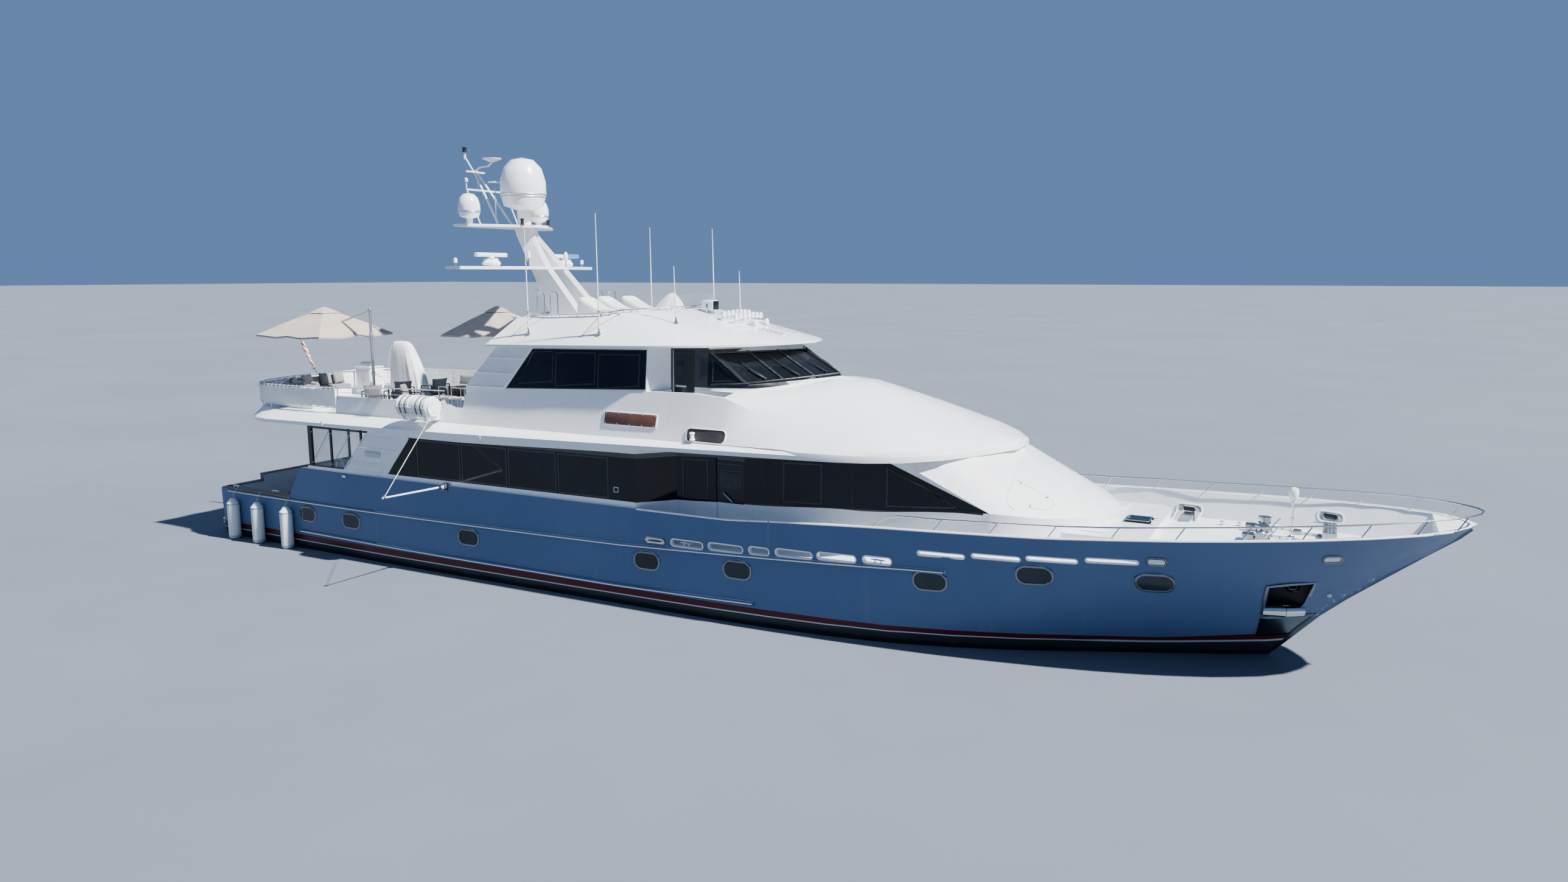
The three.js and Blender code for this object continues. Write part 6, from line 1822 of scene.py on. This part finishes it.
def make_crane_cover():
    sections = [(6.585, -15.26, -14.72, 0.06), (6.56, -15.33, -14.64, 0.115), (6.47, -15.37, -14.54, 0.18),
                (6.25, -15.41, -14.42, 0.26), (5.95, -15.44, -14.27, 0.305), (5.60, -15.46, -14.12, 0.345),
                (5.25, -15.47, -14.00, 0.375), (4.95, -15.48, -13.94, 0.39), (4.70, -15.48, -13.90, 0.40),
                (4.575, -15.48, -13.885, 0.405)]
    part = Build()
    rings = []
    sides, power = 88, 0.62
    for z, aft, fore, half in sections:
        ring = []
        drop = (6.585 - z) / 2.0
        for a in turns(sides):
            c, s = math.cos(a), math.sin(a)
            u = math.copysign(abs(c) ** power, c)
            v = math.copysign(abs(s) ** power, s)
            fold = (0.018 * math.sin(11 * a + 1.3 * drop) + 0.011 * math.sin(23 * a + 2.1)
                    + 0.008 * math.sin(5 * a + 4 * drop))
            grow = 1 + fold * min(drop * 1.6, 1.0) * 1.6 - 0.03
            x = (aft + fore) / 2 + (fore - aft) / 2 * u * grow
            y = 1.0 + half * v * (grow + 0.01 * math.sin(3 * z + 4 * a))
            ring.append(Vector((x, y, z)))
        rings.append(ring)
    part.skin(rings, caps=False)
    part.bm.verts.ensure_lookup_table()
    crown = [part.bm.verts[k] for k in range(sides)]
    peak = part.bm.verts.new((-14.99, 1.0, 6.60))
    for k in range(sides):
        part.bm.faces.new((crown[k], crown[(k + 1) % sides], peak))
    cover = part.done("crane_cover_cloth", white_cloth, smooth=75)
    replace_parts(cover, "crane_cover")
    column = Build()
    column.lathe([(0.26, 0.0), (0.26, 0.03), (0.17, 0.06), (0.15, 1.5), (0.19, 1.55), (0.19, 1.68),
                  (0.08, 1.72)], (-15.02, 1.0, BOAT_DECK), (0, 0, 1), 20)
    column.done("crane_column", smooth_white)
    seams = Build()
    for side in SIDES:
        seams.tube([(aft + 0.07, 1.0 + side * half * 0.93, z) for z, aft, _, half in sections[2:]], 0.008, 5)
    seams.done("crane_cover_seams", rope)


# Settee round the stern: a moulded base, seat and back cushions and loose pillows

def make_settee():
    base = Build()
    far = [(-14.90, -3.04), (-16.58, -3.04), (-17.73, -1.89), (-17.88, 0.49)]
    near = [(-14.90, -2.30), (-16.54, -2.30), (-17.00, -1.72), (-17.12, 0.49)]
    base.slab([(*p, BOAT_DECK) for p in far + near[::-1]], (0, 0, 0.29))
    back = [(-14.90, -2.86), (-16.52, -2.86), (-17.60, -1.82), (-17.74, 0.49)]
    base.slab([(*p, 4.85) for p in far + back[::-1]], (0, 0, 0.42))
    settee = base.done("settee_base", smooth_white, bevel=0.02)
    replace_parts(settee, "stern_settee")
    number = 0
    for (x0, y0), (x1, y1), count in zip(far, far[1:], (2, 2, 3)):
        heading = math.atan2(y1 - y0, x1 - x0)
        inward = Vector((-math.sin(heading), math.cos(heading), 0))
        if inward.dot(Vector((-15.5, 0.0, 0)) - Vector((x0, y0, 0))) < 0:
            inward = -inward
        span = math.hypot(x1 - x0, y1 - y0)
        cut = 0.30 if count == 2 and abs(y1 - y0) > 0.5 else 0.0
        for k in range(count):
            share = (k + 0.5) / count
            spot = Vector((x0 + (x1 - x0) * share, y0 + (y1 - y0) * share, 0))
            size = (span - cut) / count - 0.03
            number += 1
            seat = spot + inward * 0.46
            cushion(f"settee_seat_cushion_{number}", (seat.x, seat.y, 4.925), (size, 0.56, 0.125), heading,
                    crown=0.028)
            rest = spot + inward * 0.235
            cushion_back(f"settee_back_cushion_{number}", (rest.x, rest.y, 5.14), size - 0.02, heading,
                         inward)
    for k, (x, y, heading, shade) in enumerate(((-15.2, -2.62, 1.35, 0), (-16.0, -2.62, 1.75, 1),
                                                (-17.05, -2.0, 0.7, 0), (-17.38, -1.2, 0.12, 1),
                                                (-17.42, -0.4, -0.10, 0), (-17.44, 0.18, 0.05, 0))):
        pillow(f"settee_pillow_{k + 1}", (x, y, 5.235), (0.48, 0.46, 0.19), heading, math.radians(-16),
               grey_cloth if shade == 0 else pale_grey_cloth)


def cushion_back(name, place, size, heading, inward):
    part = Build()
    rings = []
    for share, level in ((0.03, -0.5), (0.6, -0.5), (0.93, -0.47), (0.985, -0.40), (1.0, -0.2), (1.0, 0.2),
                         (0.985, 0.40), (0.93, 0.47), (0.6, 0.5), (0.03, 0.5)):
        ring = []
        for across, up in stadium(size * share, 0.40 * share, 0.07 * share, 4):
            bulge = 0.022 * (1 - min(abs(share), 1) ** 2) * (1 if level > 0 else -1)
            dip = 1 - 0.03 * (1 - (2 * up / 0.40) ** 2 if abs(up) < 0.2 else 0)
            ring.append(Vector((across * dip, level * 0.15 + bulge, up)))
        rings.append(ring)
    part.skin(rings)
    lean = 0.12 if inward.dot(Matrix.Rotation(heading, 3, "Z") @ Vector((0, 1, 0))) > 0 else -0.12
    padded_piece(part, name, turned(place, heading, lean, "X"), grey_cloth, 60)


# Loose furniture forward of the settee

def make_deck_chairs():
    frame_part = Build()
    chairs = [(-13.25, -0.75, 2.6), (-12.9, 0.45, 2.9), (-13.1, -2.0, 2.2), (-12.0, -1.4, 0.6)]
    for k, (x, y, heading) in enumerate(chairs):
        place = turned((x, y, BOAT_DECK), heading, 0.0, "X")
        for sx in (-0.30, 0.30):
            for sy in (-0.33, 0.33):
                frame_part.tube([place @ Vector((sx, sy, z)) for z in (0, 0.30)], 0.018, 8)
        for sy in (-0.35, 0.35):
            frame_part.tube([place @ Vector((sx, sy, z)) for sx, z in (
                (-0.33, 0.28), (-0.36, 0.62), (0.26, 0.58), (0.31, 0.53), (0.31, 0.26))], 0.022, 8)
        frame_part.tube([place @ Vector((sx, sy, 0.27)) for sx, sy in (
            (-0.33, -0.35), (0.31, -0.35), (0.31, 0.35), (-0.33, 0.35))], 0.02, 8, loop=True)
        cushion(f"chair_seat_{k + 1}", place @ Vector((0.0, 0.0, 0.36)), (0.62, 0.62, 0.13), heading)
        pillow(f"chair_back_{k + 1}", place @ Vector((-0.29, 0.0, 0.63)), (0.60, 0.44, 0.17), heading,
               math.radians(-14))
    frame_part.done("deck_chair_frames", black_paint)
    sofa = Build()
    sofa.block((-13.9, 1.90, BOAT_DECK), (-11.7, 2.75, 4.80), 0.03)
    sofa.done("deck_sofa_base", black_paint)
    for k, x in enumerate((-13.35, -12.25)):
        cushion(f"sofa_seat_cushion_{k + 1}", (x, 2.30, 4.875), (1.06, 0.72, 0.13))
        pillow(f"sofa_back_cushion_{k + 1}", (x, 2.60, 5.10), (1.0, 0.46, 0.2), math.radians(90),
               math.radians(14))
    table = Build()
    table.block((-12.75, -0.95, 4.93), (-11.95, -0.15, 4.965), 0.012)
    for dx in (-0.33, 0.33):
        for dy in (-0.33, 0.33):
            table.tube([(-12.35 + dx, -0.55 + dy, z) for z in (BOAT_DECK, 4.94)], 0.02, 8)
    table.done("deck_table", black_paint)
    dining = Build()
    dining.block((-10.6, -1.1, 5.27), (-8.9, 0.0, 5.31), 0.015)
    dining.done("dining_table_top", teak_plain)
    legs = Build()
    for x in (-10.3, -9.2):
        legs.lathe([(0.22, 0.0), (0.22, 0.02), (0.045, 0.05), (0.04, 0.66), (0.16, 0.70)],
                   (x, -0.55, BOAT_DECK), (0, 0, 1), 16)
    for x in (-10.3, -9.75, -9.2):
        for y, face in ((-1.55, 1), (0.45, -1)):
            for dx in (-0.20, 0.20):
                for dy in (-0.20, 0.20):
                    legs.tube([(x + dx, y + dy, z) for z in (BOAT_DECK, 5.02 if dy * face > 0 else 5.42)],
                              0.013, 6)
            legs.tube([(x - 0.20, y - face * 0.20, 5.40), (x, y - face * 0.235, 5.42),
                       (x + 0.20, y - face * 0.20, 5.40)], 0.013, 6)
    legs.done("dining_frames", dull_steel)
    for k, x in enumerate((-10.3, -9.75, -9.2)):
        for n, y in enumerate((-1.55, 0.45)):
            cushion(f"dining_seat_{2 * k + n + 1}", (x, y, 5.045), (0.44, 0.44, 0.055), crown=0.014,
                    material=pale_grey_cloth)


def make_grill():
    part, dark, metal = Build(), Build(), Build()
    part.block((-17.36, 0.87, 5.555), (-16.55, 1.53, 5.60), 0.015)
    for x in (-17.14, -16.77):
        part.block((x - 0.165, 0.885, 4.66), (x + 0.165, 0.90, 5.46), 0.006)
    dark.skin([[Vector((x, 1.2 - 0.24 * math.cos(a), 5.60 + 0.17 * math.sin(a)))
                for a in steps(0, math.pi, 10)] for x in steps(-17.22, -16.69, 6)])
    metal.tube([(-17.10, 0.94, 5.63), (-17.10, 0.90, 5.64), (-16.80, 0.90, 5.64), (-16.80, 0.94, 5.63)],
               0.012, 6)
    for x in (-17.02, -16.89):
        metal.tube([(x, 0.885, 5.2), (x, 0.86, 5.2), (x, 0.86, 5.0), (x, 0.885, 5.0)], 0.009, 6)
    part.done("grill_cabinet_doors_and_top", smooth_white)
    dark.done("grill_lid", dull_steel)
    metal.done("grill_handles", steel)


# Life rafts: moulded ribs, straps and cradles

def make_raft_details():
    ribs, straps, cradles = Build(), Build(), Build()
    z = 5.06
    for side in SIDES:
        y = side * 3.79
        for x in (-9.86, -9.62, -9.42, -9.18, -8.98, -8.74):
            ribs.tube(upright_ring(x, y, z, 0.322, 28), 0.016, 6, loop=True)
        ribs.tube([(x, y + side * 0.326, z) for x in (-9.88, -8.72)], 0.014, 6)
        for x in (-9.72, -9.52, -9.08, -8.88):
            straps.skin([[Vector((x + dx, y + radius * math.cos(a), z + radius * math.sin(a)))
                          for dx, radius in ((-0.02, 0.338), (-0.02, 0.344), (0.02, 0.344), (0.02, 0.338))]
                         for a in steps(math.radians(-35), math.radians(215), 18)])
        for x in (-9.72, -8.88):
            for bar, thick in ((((3.42, 4.66), (3.60, 4.70), (3.98, 4.72), (4.09, 4.84)), 0.018),
                               (((3.44, 4.98), (3.46, 4.80), (3.60, 4.70)), 0.018),
                               (((3.98, 4.72), (3.86, 4.60)), 0.014)):
                cradles.tube([(x, side * out, up) for out, up in bar], thick, 8)
        cradles.tube([(-9.72, side * 4.09, 4.84), (-8.88, side * 4.09, 4.84)], 0.016, 8)
    ribs.done("life_raft_ribs", smooth_white)
    straps.done("life_raft_straps", webbing)
    cradles.done("life_raft_cradles", steel)


# Tender boom: topping stay, tip fitting and heel collar

def make_boom_gear():
    tip = Vector((-8.22, -6.24, 2.81))
    top = Vector((-8.64, -3.86, 4.90))
    part = Build()
    part.tube([top.lerp(tip, s) for s in steps(0, 1, 24)], 0.010, 6)
    stay = part.done("boom_stay", rope, None)
    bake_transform(stay)
    eye = Build()
    eye.lathe([(0.034, 0.0), (0.040, 0.02), (0.040, 0.07), (0.028, 0.09), (0.0, 0.095)],
              (-8.22, -6.215, 2.809), (0, -1, 0.035), 14)
    eye.tube(upright_ring(-8.22, -6.25, 2.86, 0.035, 12), 0.008, 6, loop=True)
    eye.done("boom_tip_fitting", steel, "tender_boom")
    collar = Build()
    collar.lathe([(0.040, 0.0), (0.044, 0.01), (0.044, 0.10), (0.036, 0.12)], (-8.22, -4.12, 2.735),
                 (0, -1, 0.035), 14)
    collar.done("boom_heel_collar", steel, "tender_boom")
    pad = Build()
    pad.lathe([(0.03, -0.02), (0.03, 0.012), (0.015, 0.022)], top + Vector((0, 0.02, 0.01)), (0, -1, 0.2), 10)
    pad.done("boom_stay_pad", steel)
    guides = Build()
    point = on_hull(-12.6, 2.62, -1)
    guides.block((-12.66, point.y - 0.03, 2.60), (-12.50, point.y + 0.01, 2.68), 0.008)
    guides.done("boom_rest_chock", steel)


# Fender lanyards, taut from the cap to each fender, with end rings

def make_fender_gear():
    lines, ends = Build(), Build()
    for x, fender in ((-18.15, "fender_aft"), (-16.85, "fender_middle"), (-15.35, "fender_fore")):
        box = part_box(fender)
        y = (box[0][1] + box[1][1]) / 2
        head = Vector((x, y, 1.40))
        inner = Vector((x, y + 0.30, 1.705))
        lines.tube([head, Vector((x, y + 0.06, 1.55)), Vector((x, y + 0.17, 1.70)), inner], 0.009, 6)
        for z, sign in ((1.385, 1), (-0.085, -1)):
            ends.lathe([(0.074, -0.03 * sign), (0.062, 0.0), (0.035, 0.022 * sign), (0.0, 0.024 * sign)],
                       (x, y, z), (0, 0, 1), 14)
        for z in (0.10, 1.20):
            ends.tube(level_ring(x, y, z, 0.203, 24), 0.006, 6, loop=True)
    lines.done("fender_lanyards", rope)
    ends.done("fender_end_caps", rubber_and_painted_shade)


# Foredeck gear: windlass gypsies with chain, cleat recesses, hatch frame, locker seams

FORE_SKIN = Surface("hull", "foredeck_platform")


def deck_point(x, y):
    return Vector((x, y, FORE_SKIN.top(x, y).z))


LINK, WIRE = 0.11, 0.013


def chain(part, path):
    points = even_path([Vector(p) for p in path], LINK * 0.72)
    for k, (a, b) in enumerate(zip(points, points[1:])):
        along = (b - a).normalized()
        across = along.orthogonal().normalized()
        if k % 2:
            across = along.cross(across)
        part.tube([(a + b) / 2 + along * math.cos(t) * LINK * 0.5 + across * math.sin(t) * LINK * 0.27
                   for t in turns(8)], WIRE, 5, loop=True)


def make_windlass_details():
    metal, chains = Build(), Build()
    for side in SIDES:
        x, y = 13.9, side * 0.5
        base = deck_point(x, y + side * 0.30).z
        metal.lathe([(0.13, 0.0), (0.15, 0.03), (0.11, 0.07), (0.11, 0.10), (0.15, 0.14), (0.14, 0.16)],
                    (x, y, base + 0.10), (0, 0, 1), 20)
        metal.tube([(x, y, base + 0.22), (x, y + side * 0.28, base + 0.22)], 0.05, 12)
        metal.lathe([(0.10, 0.0), (0.115, 0.02), (0.075, 0.05), (0.075, 0.11), (0.115, 0.14), (0.10, 0.16)],
                    (x, y + side * 0.22, base + 0.22), (0, side, 0), 16)
        metal.block((x - 0.42, y - 0.12, base), (x - 0.16, y + 0.12, base + 0.20), 0.02)
        metal.tube([(x + 0.1, y - 0.2, base + 0.10), (x + 0.32, y - 0.2, base + 0.40),
                    (x + 0.36, y - 0.2, base + 0.43)], 0.014, 8)
        route = [(x + 0.14, y - side * 0.02, base + 0.17)]
        for k in range(1, 6):
            xx = x + 0.14 + 0.22 * k
            yy = y - side * 0.02
            route.append((xx, yy, max(deck_point(xx, yy).z + 0.035, base + 0.17 - 0.03 * k)))
        chain(chains, route)
        end = Vector(route[-1])
        metal.lathe([(0.10, -0.01), (0.10, 0.02), (0.07, 0.035), (0.055, 0.02)], deck_point(end.x, end.y),
                    (0, 0, 1), 16)
        stopper = deck_point(x + 0.72, y)
        for y0, y1 in ((-0.09, -0.04), (0.04, 0.09)):
            metal.block(stopper + Vector((-0.09, y0, 0)), stopper + Vector((0.09, y1, 0.12)), 0.01)
    metal.done("windlass_fittings", cast_steel)
    chains.done("anchor_chains_on_deck", dull_steel)


NICHES = ((11.95, 2.79, 0.60, 0.20), (15.30, 3.12, 0.52, 0.18))


def inner_bulwark(x, z, side, lift=0.0):
    """A point on the inside of the forward bulwark."""
    return hull.tree.ray_cast(Vector((x, side * 1.3, z)), Vector((0, side, 0)))[0] - Vector((0, side * lift,
                                                                                             0))


def make_bulwark_recesses():
    """Shallow niches in the bulwark with an oval fairlead and a bollard."""
    rims, backs, bright, dark = Build(), Build(), Build(), Build()
    for side in SIDES:
        inward = Vector((0, -side, 0))
        for x, z, width, height in NICHES:
            def ring(wide, high, corner, lift, up=0.0):
                return [inner_bulwark(x + dx, z + up + dz, side, lift) for dx,
                        dz in stadium(wide, high, corner)]
            rims.skin([ring(width + grow, height + grow, (height + grow) * 0.4, lift) for grow, lift in (
                (0.09, -0.004), (0.085, 0.018), (0.03, 0.026), (0.0, 0.020), (-0.01, 0.004))], caps=False)
            # The niche backs are white, drawn grey as painted shade.
            backs.skin([ring((width - 0.01) * share, (height - 0.01) * share, height * 0.38 * share, lift)
                        for share, lift in ((1.0, 0.003), (0.98, 0.006), (0.5, 0.006), (0.04, 0.006))],
                       caps=False)
            bright.skin([ring(0.30 + grow, 0.10 + grow, 0.049 + grow / 2, lift, 0.015) for grow, lift in (
                (0.07, 0.004), (0.06, 0.03), (0.03, 0.042), (0.0, 0.034), (-0.01, 0.006))], caps=False)
            # Dark sheets in the fairlead holes: painted shade.
            dark.skin([ring(0.29 * share, 0.09 * share, 0.044 * share, 0.008, 0.015)
                       for share in (1.0, 0.5, 0.05)], caps=False)
            foot = inner_bulwark(x, z - height / 2 - 0.05, side)
            post = Vector((x - 0.28, foot.y - side * 0.16, foot.z - 0.06))
            for dx in (0.0, 0.16):
                bright.tube([post + Vector((dx, 0, -0.03)), post + Vector((dx, 0, 0.10))], 0.026, 10)
            bright.tube([post + Vector((dx, 0, 0.085)) for dx in (-0.09, -0.02, 0.18, 0.25)],
                        [0.012, 0.022, 0.022, 0.012], 10)
            bright.tube([foot + inward * 0.02, foot + inward * 0.05], 0.02, 8)
    rims.done("bulwark_niche_rims", smooth_white)
    backs.done("bulwark_niche_backs", seam_and_niche_shade_grey)
    bright.done("bulwark_fairleads", steel)
    dark.done("bulwark_fairlead_throats", rubber_and_painted_shade)


def make_foredeck_trim():
    white, metal, dark = Build(), Build(), Build()
    for low, high in (((10.74, -0.36), (11.46, -0.31)), ((10.74, 0.31), (11.46, 0.36)),
                      ((10.74, -0.31), (10.79, 0.31))):
        metal.box((*low, FOREDECK), (*high, 2.965))
    for side in SIDES:
        white.at_side(side, (9.95, 10.6), (1.05, 1.75), (FOREDECK, 2.968), 0.006)
        for y in (0.5, 1.1, 1.7):
            dark.lathe([(0.045, -0.01), (0.045, 0.006), (0.03, 0.010), (0.0, 0.010)], (11.60, side * y, 2.78),
                       (1, 0, 0), 12)
        for x in (12.9, 13.3):
            metal.lathe([(0.07, 0.0), (0.07, 0.015), (0.03, 0.02), (0.03, 0.08), (0.06, 0.09), (0.06, 0.10)],
                        deck_point(x, side * 1.2), (0, 0, 1), 14)
    white.done("foredeck_locker_lids", smooth_white, bevel=0.003)
    metal.done("foredeck_metalwork", steel, bevel=0.003)
    dark.done("foredeck_step_lights", lamp_lens)
    handle = Build()
    handle.tube([(10.86, -0.10, 3.006), (10.86, -0.10, 3.026), (10.86, 0.10, 3.026), (10.86, 0.10, 3.006)],
                0.008, 6)
    for low, high in (((10.80, -0.30), (11.38, -0.26)), ((10.80, 0.26), (11.38, 0.30)),
                      ((10.80, -0.26), (10.84, 0.26)), ((11.34, -0.26), (11.38, 0.26))):
        handle.box((*low, 3.001), (*high, 3.010))
    handle.done("foredeck_hatch_frame", steel, "foredeck_hatch", bevel=0.002)


def make_light_stand():
    stand = Build()
    x, top, deck = 14.5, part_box("bow_light_pole")[1][2], deck_point(14.5, 0).z
    stand.lathe([(0.09, -0.01), (0.09, 0.012), (0.045, 0.03), (0.030, 0.05), (0.030, 0.40), (0.046, 0.41),
                 (0.046, 0.47), (0.030, 0.48), (0.026, top - 0.31 - deck), (0.07, top - 0.26 - deck),
                 (0.07, top - 0.05 - deck), (0.0, top - 0.03 - deck)], (x, 0, deck), (0, 0, 1), 20)
    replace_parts(stand.done("bow_light_stand", steel), "bow_light_pole")
    part = Build()
    rings = []
    for drop, r in ((-0.004, 0.02), (0.008, 0.052), (0.04, 0.085), (0.10, 0.106), (0.17, 0.108),
                    (0.23, 0.100), (0.28, 0.076), (0.32, 0.042), (0.355, 0.050)):
        ring = []
        for a in turns(48):
            wrinkle = 1 + 0.05 * math.sin(6 * a + 20 * drop) + 0.03 * math.sin(11 * a)
            ring.append(Vector((x + r * wrinkle * math.cos(a), r * wrinkle * math.sin(a), top - drop)))
        rings.append(ring)
    part.skin(rings, caps=False)
    part.bm.verts.ensure_lookup_table()
    part.bm.faces.new([part.bm.verts[k] for k in range(48)])
    cover = part.done("bow_light_cover", white_cloth, smooth=70)
    tie = Build()
    tie.tube(level_ring(x, 0, top - 0.32, 0.050, 14), 0.007, 6, loop=True)
    tie.done("bow_light_cover_tie", rope)


for make in (
    make_rub_rails, make_portholes, make_port_liners, make_fairleads, make_port_cleats, make_pocket_frame,
    make_scuff_plates, make_stem, make_hawses, make_caps, make_saloon_frames, make_door_fittings,
    make_louvres, make_enclosure, make_aft_deck_furniture, make_cockpit_gear, make_transom,
    make_trunk_details, make_nameplate, make_side_lights, make_lounge_frames, make_windscreen_frames,
    make_wipers, make_blinds, make_whips, make_searchlight, make_lamp_cluster, make_roof_vents,
    make_roof_rail, make_loungers, make_mast_details, make_dome_bands, make_scanner_trim, make_dodger,
    make_mid_rails, make_ensign,
):
    make()
make_umbrella("umbrella_aft", (-15.6, -1.75), 0.0, 6.97)
make_umbrella("umbrella_fore", (-10.5, 1.1), math.pi / 6, 7.0)
for make in (
    make_crane_cover, make_settee, make_deck_chairs, make_grill, make_raft_details, make_boom_gear,
    make_fender_gear, make_windlass_details, make_bulwark_recesses, make_foredeck_trim, make_light_stand,
):
    make()
